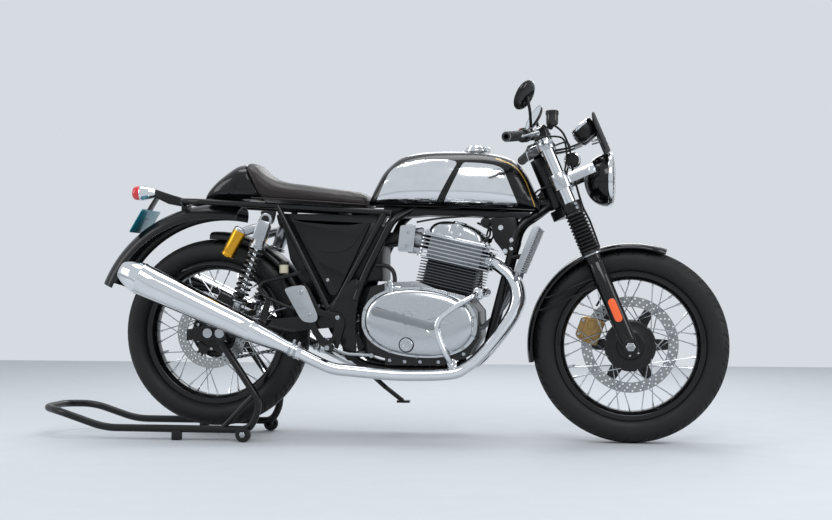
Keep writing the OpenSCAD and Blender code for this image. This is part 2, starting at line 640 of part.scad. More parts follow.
module cylinders() at_cylinders() color("#1a1b1d") difference() {
  union() {
    translate([-86, -112, 0]) cube([172, 224, barrel_top - seat_gap]);
    fin_row(barrel_fins, 18, barrel_top - seat_gap, 104, 128, 3.4);
  }
  rotate([0, -cylinder_lean, 0]) translate([-cyl_x, 0, -cyl_z])
    plate_xz([[100, -100], [100, 118 + seat_gap], [236, 122 + seat_gap], [300, 98 + seat_gap],
      [396 + seat_gap, 74 + seat_gap], [436 + seat_gap, 24], [436, -100]], -150, 150);
}
module cylinder_head() at_cylinders() color("#b4b7ba") difference() {
  union() {
    translate([-92, -116, barrel_top]) cube([184, 232, head_top - barrel_top]);
    fin_row(head_fins, barrel_top + 2, head_top, 120, 134, 3.6);
    translate([-112, -112, head_top - 1]) cube([206, 224, 16]);
    difference() {
      translate([-10, -106, head_top + 10]) rotate([-90, 0, 0]) cylinder(r = 86, h = 212, $fn = 64);
      translate([-200, -200, head_top - 190]) cube([400, 400, 200]);
      translate([-200, -200, head_top + 62]) cube([400, 400, 100]);
    }
  }
  for (s = [-1, 1]) translate([75, s * port_y, port_z]) rotate([0, 90, 0]) {
    cylinder(r = pipe_r + 0.8, h = 60);
    translate([0, 0, 16]) cylinder(r = pipe_r + 6, h = 60);
  }
  for (s = [-1, 1])
    translate([-84, s * port_y, 150]) rotate([0, -90, 0]) cylinder(r = throttle_r + seat_gap, h = 60);
}
port_y = 76;
port_z = 131;
// A point given in the frame of the cylinders
function from_cylinders(x, y, z) = [cyl_x + x * cos(cylinder_lean) + z * sin(cylinder_lean), y,
  cyl_z - x * sin(cylinder_lean) + z * cos(cylinder_lean)];
throttle_r = 24;
panel_y = plate_y - 30;
airbox_half_w = min(panel_y, 101.3 - frame_r) - seat_gap;
module air_intake() at_pivot() color("#1b1c1e") {
  for (s = [-1, 1]) {
    translate([cyl_x, s * port_y, cyl_z]) rotate([0, cylinder_lean, 0]) translate([-84 - seat_gap, 0, 150])
      rotate([0, -90, 0]) {
        cylinder(r = throttle_r, h = 54);
        translate([0, 0, 40]) cylinder(r = throttle_r + 8, h = 30);
        translate([0, 0, 62]) cylinder(r = throttle_r + 2, h = 46);
      }
    rod(from_cylinders(-184, s * port_y, 150), [100, s * 46, 262], 20);
  }
  difference() {
    translate([-118, -airbox_half_w, 124]) cube([232, 2 * airbox_half_w, 194]);
    translate([-400, -100, -100]) rotate([0, 30, 0]) cube([200, 200, 600]);
  }
}
cooler_tilt = 23;
cooler_x = 551;
cooler_z = 162;
cooler_half_w = 112;
cooler_h = 158;
module oil_cooler() at_pivot() color("#9fa3a6") {
  translate([cooler_x, 0, cooler_z]) rotate([0, cooler_tilt, 0]) {
    translate([8, -cooler_half_w, 0]) cube([22, 2 * cooler_half_w, cooler_h]);
    both_sides() translate([2, cooler_half_w - 4, -4]) cube([30, 14, cooler_h + 8]);
  }
  both_sides() difference() {
    rod([530, 60, 202], [584, 60, 208], 6);
    rod(down_tube_top, down_tube_foot, frame_r + seat_gap);
  }
}
silencer_front = [-134, 192, -114];
// The silencers splay out far enough to pass the shock reservoirs
silencer_splay = (shock_y + 32 + silencer_r - silencer_front[1]) / 0.92;
silencer_axis = [-605, silencer_splay, 277];
header_out = frame_r + 84;
header_route = [from_cylinders(76, port_y, port_z), from_cylinders(97, port_y, port_z), [478, 82, 186],
  [510, 92, 166], [536, header_out, 142], [557, header_out + 6, 98], [556, header_out + 10, 47],
  [524, header_out + 16, -17],
  [447, 130, -114], [398, 142, -155], [345, 152, -176], [190, 165, -180], [27, 178, -167],
  silencer_front - 100 * unit(silencer_axis), silencer_front];
module exhaust_headers() at_pivot() color("#d3d5d8") {
  route = smooth(header_route, 46);
  both_sides() swept(route, [for (p = route) pipe_r], 14);
}
silencer_len = norm(silencer_axis);
module at_silencer() translate(silencer_front)
  rotate([0, acos(silencer_axis[2] / silencer_len), atan2(silencer_axis[1], silencer_axis[0])]) children();
module silencers() at_pivot() color("#d3d5d8") both_sides() at_silencer() rotate_extrude($fn = 72)
  polygon([[0, 2 * seat_gap], [pipe_r + 2.5, 2 * seat_gap], [pipe_r + 2.5, 60], [38, 180], [40, 186], [38, 192],
    [silencer_r, silencer_len - 78], [silencer_r + 2, silencer_len - 74], [silencer_r, silencer_len - 68],
    [26, silencer_len], [22, silencer_len], [22, silencer_len - 60], [0, silencer_len - 60]]);

// ---------- bodywork ----------
// Rows of the tank: x, top, half width as a share of the greatest
tank_rows = [[67, 398, 0.5], [78, 424, 0.62], [92, 452, 0.7], [112, 488, 0.77], [136, 514, 0.82],
  [168, 537, 0.87], [210, 550, 0.92], [270, 557, 0.97], [350, 557.5, 1], [425, 555, 0.99],
  [480, 547, 0.94], [530, 533, 0.84],
  [562, 512, 0.74], [588, 480, 0.62], [608, 440, 0.52], [625, 398, 0.45], [635, 362, 0.41]];
tank_base_rear = 374;
tank_base_front = 352;
function tank_base(x) = mix(tank_base_rear, tank_base_front, (x - 67) / 568);
filler_x = 418;
filler_flange_r = 41;
tank_top = 555;
tunnel_half_w = spine_y + frame_r + 6;
module fuel_tank() at_pivot() color("#101114") difference() {
  skin([for (row = smooth(tank_rows, 34))
    body_ring(row[0], tank_base(row[0]), row[1], tank_half_w * row[2], 0, 36)]);
  translate([40, -tunnel_half_w, 300]) cube([620, 2 * tunnel_half_w, spine_z + frame_r + seat_gap - 300]);
  translate([120, -88, 300]) cube([138, 176, 92]);
  translate([614, -gusset_half - 1, 300]) cube([60, 2 * gusset_half + 2, 200]);
  translate([filler_x, 0, 500]) cylinder(r = filler_flange_r - 10, h = 100);
  translate([filler_x, 0, tank_top + 1 - seat_gap]) cylinder(r = filler_flange_r + 1, h = 50);
}
module filler_neck() at_pivot() color("#d0d3d6") difference() {
  union() {
    translate([filler_x, 0, 506]) cylinder(r = filler_flange_r - 10.3, h = tank_top + 4 - 506);
    translate([filler_x, 0, tank_top + 1]) cylinder(r = filler_flange_r, h = 6);
    translate([filler_x + filler_flange_r - 4, -16, tank_top + 1]) cube([10, 6, 15]);
    translate([filler_x + filler_flange_r - 4, 10, tank_top + 1]) cube([10, 6, 15]);
    pin_y(filler_x + filler_flange_r + 1, tank_top + 12, -15, 15, 2);
  }
  translate([filler_x, 0, 512]) cylinder(r = filler_r, h = 100);
}
module filler_cap() at_pivot() color("#d0d3d6") difference() {
  union() {
    translate([filler_x, 0, tank_top + 7.3]) cylinder(r = filler_flange_r - 6, h = 9);
    translate([filler_x, 0, tank_top + 16.2]) cylinder(r = filler_flange_r - 12, h = 4);
    translate([filler_x + filler_flange_r - 12, -9, tank_top + 8]) cube([13, 18, 8]);
    pin_y(filler_x + filler_flange_r + 1, tank_top + 12, -9, 9, 4.3);
  }
  pin_y(filler_x + filler_flange_r + 1, tank_top + 12, -20, 20, 2 + running_gap);
}
seat_front_x = 60;
function seat_base(x) = rail_height(x) + rail_r + seat_gap;
// Rows of the seat pad: foot x, top above the rails, half width as a share, lean
seat_rows = [[-291, 523, 0.95, -0.52], [-285, 530, 0.97, -0.42], [-279, 521, 0.99, -0.33],
  [-270, 492, 1, -0.24], [-250, 469, 1, -0.1], [-214, 456, 1, 0], [-150, 447, 1, 0],
  [-82, 437, 0.97, 0], [-16, 428, 0.9, 0],
  [34, 421, 0.8, 0], [54, 413, 0.72, 0], [60, 400, 0.62, 0]];
module seat() at_pivot() color("#2a211c")
  skin([for (row = smooth(seat_rows, 40))
    body_ring(row[0], seat_base(row[0]), row[1], seat_half_w * row[2], row[3], 32, 2.8, 0.4)]);
cowl_rows = [[-505, 410, 0.4, 0], [-497, 424, 0.52, 0], [-482, 443, 0.66, 0], [-450, 473, 0.8, -0.03],
  [-400, 503, 0.9, -0.12], [-350, 518, 0.94, -0.3], [-291.6, 523, 0.95, -0.52]];
module seat_cowl() at_pivot() color("#0d0e10")
  skin([for (row = smooth(cowl_rows, 18))
    body_ring(row[0], seat_base(row[0]), row[1], seat_half_w * row[2], row[3], 32, 2.8, 0.4)]);
panel_t = 14;
panel_outline = [[-196, 336], [-156, 324], [-55, 313], [20, 312], [80, 322], [-34, 76], [-66, 76]];
module side_panels() at_pivot() color("#0e0f11") both_sides()
  plate_xz(panel_outline, panel_y, panel_y + panel_t);
fender_r = rear_tyre_r + 120;
module rear_fender() at_rear_axle() color("#0d0e10") {
  guard(fender_r, 76, 52, 3, 78, 157);
  stay_z = fender_r * sin(acos(-117 / fender_r)) - 3;
  translate([-117 - 10, -28, stay_z]) cube([20, 56, rail_rear[1] - axle_pz - rail_r - seat_gap - stay_z]);
}
tail_x = axle_px - 311;
tail_z = axle_pz + rear_tyre_r + 162;
tail_r = 25;
module tail_lamp() at_pivot() color("#a31220") {
  translate([tail_x, 0, tail_z]) rotate([0, 90, 0]) rotate_extrude($fn = 64)
    polygon([[0, 0], [14, 1], [21, 5], [tail_r, 14], [tail_r, 30], [tail_r + 2, 32], [tail_r + 2, 38],
      [22, 66], [14, 84], [0, 84]]);
  hull() {
    translate([tail_x + 84.3, -16, tail_z - 14]) cube([8, 32, 28]);
    translate([rail_rear[0] - rail_r - 8.3, -26, rail_rear[1] - 8]) cube([8, 52, 18]);
  }
}
plate_tilt = 31;
module number_plate() at_pivot() color("#1c6a78") union() {
  translate([tail_x + 44, 0, tail_z - 104]) rotate([0, plate_tilt, 0])
    translate([-3, -plate_w / 2, -plate_h + 50]) cube([3, plate_w, plate_h]);
  hull() {
    translate([tail_x + 48, -20, tail_z - 76]) cube([8, 40, 10]);
    translate([tail_x + 86, -14, tail_z - 28.6]) cube([5.5, 28, 12]);
  }
}
module rear_shocks() at_pivot() color("#c9a13a") {
  axis = [shock_foot[0] - shock_top[0], 0, shock_foot[1] - shock_top[1]];
  long = norm(axis);
  both_sides() difference() {
    union() {
      translate([shock_top[0], shock_y, shock_top[1]]) rotate([0, acos(axis[2] / long), 180]) {
        cylinder(r = 9, h = long);
        translate([0, 0, 14]) cylinder(r = 23, h = 76);
        translate([0, 0, 80]) cylinder(r = 28, h = long - 130);
        translate([0, 0, long - 52]) cylinder(r = 22, h = 34);
      }
      rod([shock_top[0] - 74, shock_y + 6, shock_top[1] - 36],
        [shock_top[0] - 138, shock_y + 6, shock_top[1] - 122], 20);
      rod([shock_top[0] - 12, shock_y, shock_top[1] - 26],
        [shock_top[0] - 84, shock_y + 6, shock_top[1] - 44], 12);
      pin_y(shock_top[0], shock_top[1], shock_y - 14, shock_y + 14, 15);
      pin_y(shock_foot[0], shock_foot[1], shock_y - 14, shock_y + 14, 15);
    }
    pin_y(shock_top[0], shock_top[1], 0, 300, 6 + seat_gap);
    pin_y(shock_foot[0], shock_foot[1], 0, 300, 7 + seat_gap);
  }
}
foot_y = plate_y + plate_t + seat_gap;
peg_at = [-45, -92];
module footrest_plates() at_pivot() color("#babdc0") both_sides() union() {
  plate_xz([[-205, 92], [-148, 115], [-124, 106], [-86, 30], [-20, 20], [0, -10], [-20, -84], [-30, -108],
    [-60, -110], [-105, -60], [-131, -7]], foot_y, foot_y + 6);
  pin_y(peg_at[0], peg_at[1], foot_y + 2, foot_y + 84, 11);
  rod([peg_at[0] + 6, foot_y + 26, peg_at[1] - 4], [94, foot_y + 26, -118], 5);
  pin_y(94, -118, foot_y + 22, foot_y + 48, 7);
}
module rear_caliper() at_rear_axle() color("#232426") union() {
  rotate([0, -62, 0]) caliper_block(-rear_disc_y, 17, 74, rear_disc_r + 18, 34);
  translate([10, -rear_disc_y - 17, arm_h / 2 / abs(cos(arm_slope)) + 1.5])
    rotate([0, -180 - arm_slope, 0]) cube([40, 8, 40]);
}
// A belt outline round the two sprockets, at a distance outside the pitch line
function belt(reach) =
  let (d = [axle_px - sprocket_x, axle_pz - output_z], far = norm(d), aim = atan2(d[1], d[0]),
       open = acos((chain_r - chain_front_r) / far))
  concat([for (k = [-12 : 12]) let (a = aim + k / 12 * (180 - open))
      [axle_px + (chain_r + reach) * cos(a), axle_pz + (chain_r + reach) * sin(a)]],
    [for (k = [-12 : 12]) let (a = aim + 180 + k / 12 * open)
      [sprocket_x + (chain_front_r + reach) * cos(a), output_z + (chain_front_r + reach) * sin(a)]]);
module drive_chain() at_pivot() color("#4a4c4f") difference() {
  plate_xz(belt(chain_half_h), rear_disc_y - 5, rear_disc_y + 5);
  plate_xz(belt(-chain_half_h), rear_disc_y - 6, rear_disc_y + 6);
}

// ---------- stands ----------
spool_x = 47;
arm_y = arm_inner_y + arm_w + 15;
base_y = caster_y - 27;
caster_half_w = 9;
caster_x = 139;
foot_x = -97;
base_z = 38;
handle_z = 96;
module stand_side() {
  hook = [spool_x + 6, arm_y, rear_axle_z - 34];
  elbow = [182, mix(arm_y, base_y, 0.75), 137];
  toe = [176, base_y, 84];
  heel = [150, base_y, base_z];
  tail = [-350, base_y, base_z];
  grip = [-stand_reach + stand_r + 80, base_y, handle_z - 6];
  corner = [-stand_reach + stand_r, base_y - 70, handle_z];
  bent_bar([hook, elbow, toe, heel, tail, grip, corner, [corner[0], 0, corner[2]]], stand_r);
  bent_bar([mix(hook, elbow, 0.9), [56, base_y, base_z]], stand_r - 3);
  difference() {
    union() {
      pin_y(spool_x, rear_axle_z, arm_y - 5, arm_y + 5, 21);
      translate([spool_x - 9, arm_y - 5, rear_axle_z - 36]) cube([18, 10, 30]);
    }
    pin_y(spool_x, rear_axle_z, arm_y - 6, arm_y + 6, 10 + seat_gap);
    translate([spool_x - 10 - seat_gap, arm_y - 6, rear_axle_z]) cube([2 * (10 + seat_gap), 12, 40]);
  }
  pin_y(caster_x, caster_r, base_y - 4, caster_y + 12, 6);
  pin_y(caster_x, caster_r, caster_y + caster_half_w + 1.5, caster_y + 13, 10);
  pin_y(caster_x, caster_r, base_y - 6, base_y + 4, 11);
  translate([caster_x - 10, base_y - 6, caster_r]) cube([20, 10, base_z - caster_r]);
  translate([foot_x - 16, base_y - 11, 0]) cube([32, 22, base_z - 4]);
}
module paddock_stand() on_floor() translate([-wheelbase, 0, 0]) color("#1b1c1e") union() {
  both_sides() stand_side();
}
module stand_wheel() translate([-wheelbase + caster_x, 0, caster_r]) difference() {
  pin_y(0, 0, caster_y - caster_half_w, caster_y + caster_half_w, caster_r);
  pin_y(0, 0, caster_y - 11, caster_y + 11, 6 + running_gap);
}
module stand_wheel_left() on_floor() color("#232427") stand_wheel();
module stand_wheel_right() on_floor() color("#232427") mirror([0, 1, 0]) stand_wheel();

kick_x = 26;
kick_z = -178;
kick_y = 96;
module side_stand_bracket() at_pivot() color("#17181a") union() {
  plate_xz([[50, -152.4 - frame_r], [108, cradle_z - frame_r - 0.1], [kick_x + 24, kick_z - 14],
    [kick_x - 8, kick_z - 14], [kick_x - 14, kick_z], [kick_x - 8, kick_z + 10]], kick_y - 22, kick_y - 14);
  pin_y(kick_x, kick_z, kick_y - 22, kick_y + 9, 6);
}
module side_stand() at_pivot() color("#17181a") difference() {
  union() {
    pin_y(kick_x, kick_z, kick_y - 8, kick_y + 7, 15);
    rod([kick_x + 4, kick_y, kick_z - 6], [90, kick_y + 12, -240], 8);
    rod([90, kick_y + 12, -240], [140, kick_y + 78, -292], 8);
    translate([90, kick_y + 12, -240]) sphere(r = 8.5, $fn = 32);
    translate([122, kick_y + 66, -300]) cube([44, 30, 8]);
  }
  pin_y(kick_x, kick_z, kick_y - 30, kick_y + 30, 6 + running_gap);
}

headstock();
main_frame();
swingarm();
rear_axle();
crankcase();
engine_covers();
cylinders();
cylinder_head();
oil_cooler();
exhaust_headers();
silencers();
air_intake();
fuel_tank();
filler_neck();
filler_cap();
seat();
seat_cowl();
side_panels();
rear_fender();
tail_lamp();
number_plate();
rear_shocks();
footrest_plates();
rear_caliper();
drive_chain();
paddock_stand();
stand_wheel_left();
stand_wheel_right();
side_stand_bracket();
side_stand();
lower_yoke();
upper_yoke();
fork_tubes();
fork_gaiters();
fork_sliders();
front_axle();
front_fender();
front_caliper();
lamp_brackets();
headlamp();
instrument_pods();
fly_screen();
handlebars();
grips();
mirrors();
front_tyre();
front_rim();
front_hub();
front_disc();
rear_tyre();
rear_rim();
rear_hub();
rear_disc();
rear_sprocket();
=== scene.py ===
import json
import logging
import math
from dataclasses import dataclass, field
from enum import Enum
from functools import lru_cache
from typing import Any, Callable, Iterable, Optional, Sequence

import bmesh
import bpy
from mathutils import Matrix, Vector
from mathutils.geometry import delaunay_2d_cdt


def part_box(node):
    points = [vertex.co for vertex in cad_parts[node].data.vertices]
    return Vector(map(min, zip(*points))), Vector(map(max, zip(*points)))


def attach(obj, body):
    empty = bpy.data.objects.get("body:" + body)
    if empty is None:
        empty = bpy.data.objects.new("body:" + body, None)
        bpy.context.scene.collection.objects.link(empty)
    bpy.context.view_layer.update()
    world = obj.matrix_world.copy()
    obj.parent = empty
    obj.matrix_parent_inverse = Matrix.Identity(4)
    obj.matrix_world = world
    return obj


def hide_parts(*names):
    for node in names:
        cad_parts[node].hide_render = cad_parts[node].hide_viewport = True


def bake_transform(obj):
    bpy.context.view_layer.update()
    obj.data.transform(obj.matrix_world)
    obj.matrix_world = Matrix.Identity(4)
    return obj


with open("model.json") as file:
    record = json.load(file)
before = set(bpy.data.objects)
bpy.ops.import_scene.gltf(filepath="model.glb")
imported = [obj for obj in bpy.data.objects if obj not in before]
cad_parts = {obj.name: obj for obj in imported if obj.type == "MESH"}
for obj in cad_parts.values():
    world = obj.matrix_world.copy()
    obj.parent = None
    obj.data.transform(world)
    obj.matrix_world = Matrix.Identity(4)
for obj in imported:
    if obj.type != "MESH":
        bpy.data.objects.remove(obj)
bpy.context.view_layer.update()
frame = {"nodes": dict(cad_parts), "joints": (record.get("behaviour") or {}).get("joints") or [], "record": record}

logging.basicConfig(level=logging.INFO, format="%(name)s: %(message)s")
LOG = logging.getLogger("cafe_racer")

MM = 0.001
Point = tuple[float, float, float]
Flat = tuple[float, float]


# ---------------------------------------------------------------- materials
def linear(code: str) -> tuple[float, float, float, float]:
    """Turns an sRGB hex colour into the linear colour that a shader takes.

    Args:
        code: The colour as "#rrggbb".

    Returns:
        Linear red, green and blue, with alpha 1.
    """
    parts = [int(code[i:i + 2], 16) / 255 for i in (1, 3, 5)]
    r, g, b = (c / 12.92 if c <= 0.04045 else ((c + 0.055) / 1.055) ** 2.4 for c in parts)
    return (r, g, b, 1.0)


def add_node(tree: bpy.types.NodeTree, kind: str, settings: Optional[dict[str, Any]] = None,
             inputs: Optional[dict[Any, Any]] = None) -> bpy.types.Node:
    """Adds one node, sets it up and links it.

    Args:
        tree: The node tree to add to.
        kind: The node's type name.
        settings: Attributes of the node itself.
        inputs: Input name or index, with a value or the output socket to link from.

    Returns:
        The new node.
    """
    node = tree.nodes.new(kind)
    for key, value in (settings or {}).items():
        setattr(node, key, value)
    for key, value in (inputs or {}).items():
        if isinstance(value, bpy.types.NodeSocket):
            tree.links.new(value, node.inputs[key])
        else:
            node.inputs[key].default_value = value
    return node


class Surface(Enum):
    """How the surface was made, which picks the pattern of its bump."""

    SMOOTH = "smooth"
    GRAINED = "grained"
    PEBBLED = "pebbled"
    BRUSHED = "brushed"


@dataclass(frozen=True)
class Finish:
    """One finish: its colours, its gloss, and the pattern that its making left.

    The grain is the real size of the pattern in millimetres, and the depth is how far it
    stands up. The spread is how far the second colour and the roughness wander.
    """

    name: str
    colour: str
    second: str
    roughness: float
    metallic: float = 0.0
    surface: Surface = Surface.SMOOTH
    grain_mm: float = 30.0
    depth_mm: float = 0.0
    spread: float = 0.5
    rough_spread: float = 0.05
    coat: float = 0.0
    coat_roughness: float = 0.03
    ior: float = 1.5
    stretch: Point = (1.0, 1.0, 1.0)
    clear: float = 0.0
    glow: float = 0.0
    sheen: float = 0.0

    def material(self) -> bpy.types.Material:
        """Returns this finish's material, built the first time it is asked for."""
        return _material(self)


@lru_cache(maxsize=None)
def _material(finish: Finish) -> bpy.types.Material:
    """Builds the node tree of a finish.

    Args:
        finish: The finish to build.

    Returns:
        The material.
    """
    material = bpy.data.materials.new(finish.name)
    material.use_nodes = True
    tree = material.node_tree
    tree.nodes.clear()
    place = add_node(tree, "ShaderNodeTexCoord")
    scale = [1.0 / (finish.grain_mm * MM) * s for s in finish.stretch]
    pattern = add_node(tree, "ShaderNodeMapping", inputs={"Vector": place.outputs["Object"],
            "Scale": scale})
    broad = add_node(tree, "ShaderNodeMapping", inputs={"Vector": place.outputs["Object"],
                                                        "Scale": (9.0, 9.0, 9.0)})
    fine = add_node(tree, "ShaderNodeTexNoise", inputs={"Vector": pattern.outputs[0], "Scale": 1.0,
                                                        "Detail": 3.0})
    cloud = add_node(tree, "ShaderNodeTexNoise", inputs={"Vector": broad.outputs[0], "Scale": 1.0,
            "Detail": 4.0})
    share = add_node(tree, "ShaderNodeMapRange", {"clamp": True}, {
        "Value": fine.outputs["Fac"] if finish.surface != Surface.SMOOTH else cloud.outputs["Fac"],
        "From Min": 0.35, "From Max": 0.72, "To Min": 0.0, "To Max": finish.spread})
    tint = add_node(tree, "ShaderNodeMix", {"data_type": "RGBA"}, {
        0: share.outputs[0], 6: linear(finish.colour), 7: linear(finish.second)})
    rough = add_node(tree, "ShaderNodeMapRange", {"clamp": True}, {
        "Value": cloud.outputs["Fac"], "From Min": 0.3, "From Max": 0.7,
        "To Min": max(0.02, finish.roughness - finish.rough_spread),
        "To Max": min(1.0, finish.roughness + finish.rough_spread)})
    inputs: dict[Any, Any] = {"Base Color": tint.outputs[2], "Roughness": rough.outputs[0],
                              "Metallic": finish.metallic}
    if finish.metallic < 0.5:
        inputs["IOR"] = finish.ior
    if finish.coat:
        inputs.update({"Coat Weight": finish.coat, "Coat Roughness": finish.coat_roughness})
    if finish.clear:
        inputs["Transmission Weight"] = finish.clear
    if finish.sheen:
        inputs["Sheen Weight"] = finish.sheen
    if finish.glow:
        inputs.update({"Emission Color": linear(finish.colour), "Emission Strength": finish.glow})
    shader = add_node(tree, "ShaderNodeBsdfPrincipled", inputs=inputs)
    if finish.depth_mm:
        height = fine.outputs["Fac"]
        if finish.surface == Surface.PEBBLED:
            cells = add_node(tree, "ShaderNodeTexVoronoi", {"feature": "SMOOTH_F1"}, {
                "Vector": pattern.outputs[0], "Scale": 1.0, "Smoothness": 0.35})
            height = cells.outputs["Distance"]
        bump = add_node(tree, "ShaderNodeBump", inputs={
            "Height": height, "Strength": 0.6, "Distance": finish.depth_mm * MM})
        tree.links.new(bump.outputs[0], shader.inputs["Normal"])
    output = add_node(tree, "ShaderNodeOutputMaterial", inputs={"Surface": shader.outputs[0]})
    output.is_active_output = True
    return material


# Gloss black enamel under clear lacquer: deep black that mirrors the lamps, with faint orange peel
GLOSS_BLACK = Finish("gloss_black_enamel", "#050506", "#08090a", 0.3, spread=0.6, coat=0.6,
                     coat_roughness=0.03, ior=1.2,
                     surface=Surface.GRAINED, grain_mm=6.0, depth_mm=0.004)
# Black powder coat on tubes: satin, with a fine pebble from the oven
POWDER_BLACK = Finish("black_powder_coat", "#0a0a0b", "#101112", 0.36, coat=0.3, coat_roughness=0.14,
                      ior=1.3,
                      surface=Surface.PEBBLED, grain_mm=2.2, depth_mm=0.03, spread=0.5)
# Hard chrome: a bright mirror that scatters very little
CHROME = Finish("polished_chrome_plate", "#e4e6e8", "#d4d7da", 0.06, 1.0, spread=0.4, rough_spread=0.02)
# Chrome on sheet steel, a little softer than on turned parts
SHEET_CHROME = Finish("chromed_sheet_steel", "#e6e7e9", "#d9dbde", 0.1, 1.0, spread=0.4, rough_spread=0.03,
                      surface=Surface.GRAINED, grain_mm=26.0, depth_mm=0.05)
# Buffed aluminium castings: bright, with long buffing marks and cloudy patches
POLISHED_ALLOY = Finish("buffed_cast_aluminium", "#c9cccf", "#b6b9bd", 0.17, 1.0, surface=Surface.GRAINED,
                        grain_mm=1.6, depth_mm=0.006, spread=0.5, rough_spread=0.03,
                        stretch=(0.12, 1.0, 1.0))
# Sand-cast aluminium: grey, grainy and dull
CAST_ALLOY = Finish("sand_cast_aluminium", "#9a9da0", "#83868a", 0.42, 1.0, surface=Surface.GRAINED,
                    grain_mm=1.8, depth_mm=0.12, spread=0.8, rough_spread=0.1)
# Satin anodised plate
SATIN_ALLOY = Finish("satin_anodised_aluminium", "#b6b9bc", "#a5a8ab", 0.32, 1.0, surface=Surface.BRUSHED,
                     grain_mm=1.5, depth_mm=0.02, spread=0.5, stretch=(0.06, 1.0, 1.0))
# Zinc-plated fasteners and spindles
BRIGHT_STEEL = Finish("bright_plated_steel", "#b9bcbf", "#9ea1a5", 0.24, 1.0, surface=Surface.BRUSHED,
                      grain_mm=1.2, depth_mm=0.02, spread=0.6)
# Dark oiled steel of the chain
OILED_STEEL = Finish("oiled_chain_steel", "#5d5f62", "#3b3b3a", 0.36, 1.0, surface=Surface.GRAINED,
                     grain_mm=3.0, depth_mm=0.04, spread=0.9)
# Ground brake steel: fine rings from the pads, lightly blued
DISC_STEEL = Finish("ground_brake_steel", "#a6a8a8", "#8b8d8e", 0.3, 1.0, surface=Surface.BRUSHED,
                    grain_mm=1.6, depth_mm=0.03, spread=0.7)
# Black-painted fins with the sheen of engine enamel
ENGINE_BLACK = Finish("black_engine_enamel", "#0e0f10", "#151618", 0.4, ior=1.35, surface=Surface.GRAINED,
                      grain_mm=1.5, depth_mm=0.08, coat=0.3, coat_roughness=0.25)
# Machined edges of the fins
FIN_EDGE = Finish("machined_fin_edge", "#5e6164", "#4c4f52", 0.38, 1.0, surface=Surface.BRUSHED,
                  grain_mm=1.0,
                  depth_mm=0.02, spread=0.6)
# Vulcanised tyre rubber: near black, dull, finely pitted
TYRE_RUBBER = Finish("tyre_rubber", "#0f1010", "#161717", 0.58, ior=1.4, surface=Surface.PEBBLED,
                     grain_mm=1.6,
                     depth_mm=0.08, spread=0.6, rough_spread=0.1)
# Moulded rubber of gaiters, grips and hoses
SOFT_RUBBER = Finish("moulded_rubber", "#0e0e0f", "#161617", 0.48, ior=1.4, surface=Surface.GRAINED,
                     grain_mm=1.2,
                     depth_mm=0.06, spread=0.6)
# Satin black plastic of switches and pods
SATIN_PLASTIC = Finish("satin_black_plastic", "#0d0e0f", "#141516", 0.36, ior=1.4, surface=Surface.PEBBLED,
                       grain_mm=1.0,
                       depth_mm=0.03, spread=0.5)
# Seat hide: very dark brown with pores and a soft sheen
SEAT_LEATHER = Finish("brown_black_seat_leather", "#17110f", "#211917", 0.42, ior=1.4,
                      surface=Surface.PEBBLED, grain_mm=2.6,
                      depth_mm=0.22, spread=0.8, rough_spread=0.08, sheen=0.1)
# Seat thread: twisted, waxed polyester, a paler brown than the hide
THREAD = Finish("waxed_seat_thread", "#4a3a30", "#5d4a3e", 0.6, surface=Surface.GRAINED, grain_mm=0.8,
                depth_mm=0.05)
# Gold anodised reservoirs
GOLD_ANODISED = Finish("gold_anodised_aluminium", "#d9a132", "#c48c24", 0.24, 1.0, surface=Surface.BRUSHED,
                       grain_mm=1.2, depth_mm=0.02, spread=0.5)
# Bronze paint of the front caliper
BRONZE_PAINT = Finish("bronze_caliper_paint", "#a88850", "#8e7140", 0.34, 0.6, surface=Surface.GRAINED,
                      grain_mm=2.0, depth_mm=0.05, coat=0.4)
# Gold pinstripe: thin enamel drawn by brush under the clear coat
GOLD_PAINT = Finish("gold_pinstripe_paint", "#c9a24a", "#b98f3a", 0.3, 0.4, spread=0.4, coat=0.8)
# Moulded reflectors and lenses: prisms behind clear acrylic, with a faint glow that is painted light standing in
# for the light the prisms throw back
ORANGE_ACRYLIC_PAINTED_GLOW = Finish("orange_reflector_acrylic_painted_glow", "#e0560f", "#c2450a", 0.2, surface=Surface.PEBBLED,
                        grain_mm=3.0, depth_mm=0.25, coat=1.0, glow=0.25, ior=1.49)
# Red lens: moulded acrylic whose inner prisms give it a bright, broken look
RED_ACRYLIC = Finish("red_lens_acrylic", "#c81020", "#9c0a18", 0.1, surface=Surface.PEBBLED, grain_mm=4.0,
                     depth_mm=0.3, coat=1.0, glow=0.12, ior=1.49)
# Lamp glass: pressed clear glass, colourless and sharp in its highlights
LENS_GLASS = Finish("clear_lamp_glass", "#f2f5f7", "#e9eef1", 0.03, clear=1.0, ior=1.45, spread=0.2,
                    rough_spread=0.01)
# Fly screen: vacuum formed smoked acrylic, nearly black from the side
SMOKED_ACRYLIC = Finish("smoked_screen_acrylic", "#050506", "#09090b", 0.42, spread=0.4, ior=1.18)
# Mirror: float glass silvered on its back, so it shows the room
MIRROR_GLASS = Finish("silvered_mirror_glass", "#dfe5ea", "#d4dade", 0.03, 1.0, spread=0.2,
                      rough_spread=0.01)
# Number plate: stoved teal enamel on pressed sheet, with a faint orange peel
TEAL_PAINT = Finish("teal_plate_enamel", "#1f7f92", "#176a7c", 0.3, 0.3, surface=Surface.GRAINED,
                    grain_mm=3.0,
                    depth_mm=0.03, coat=0.6)
# Dial faces: matt screen print, white marks on a black ground
DIAL_WHITE = Finish("printed_dial_white", "#e8e8e2", "#dcdcd4", 0.5, spread=0.3)
DIAL_BLACK = Finish("printed_dial_black", "#0e0f11", "#151619", 0.5, spread=0.3)
# Stop switch: moulded red plastic, lightly worn
RED_PLASTIC = Finish("red_switch_plastic", "#b01418", "#8e0d12", 0.35, surface=Surface.GRAINED,
                     grain_mm=1.0, depth_mm=0.03)
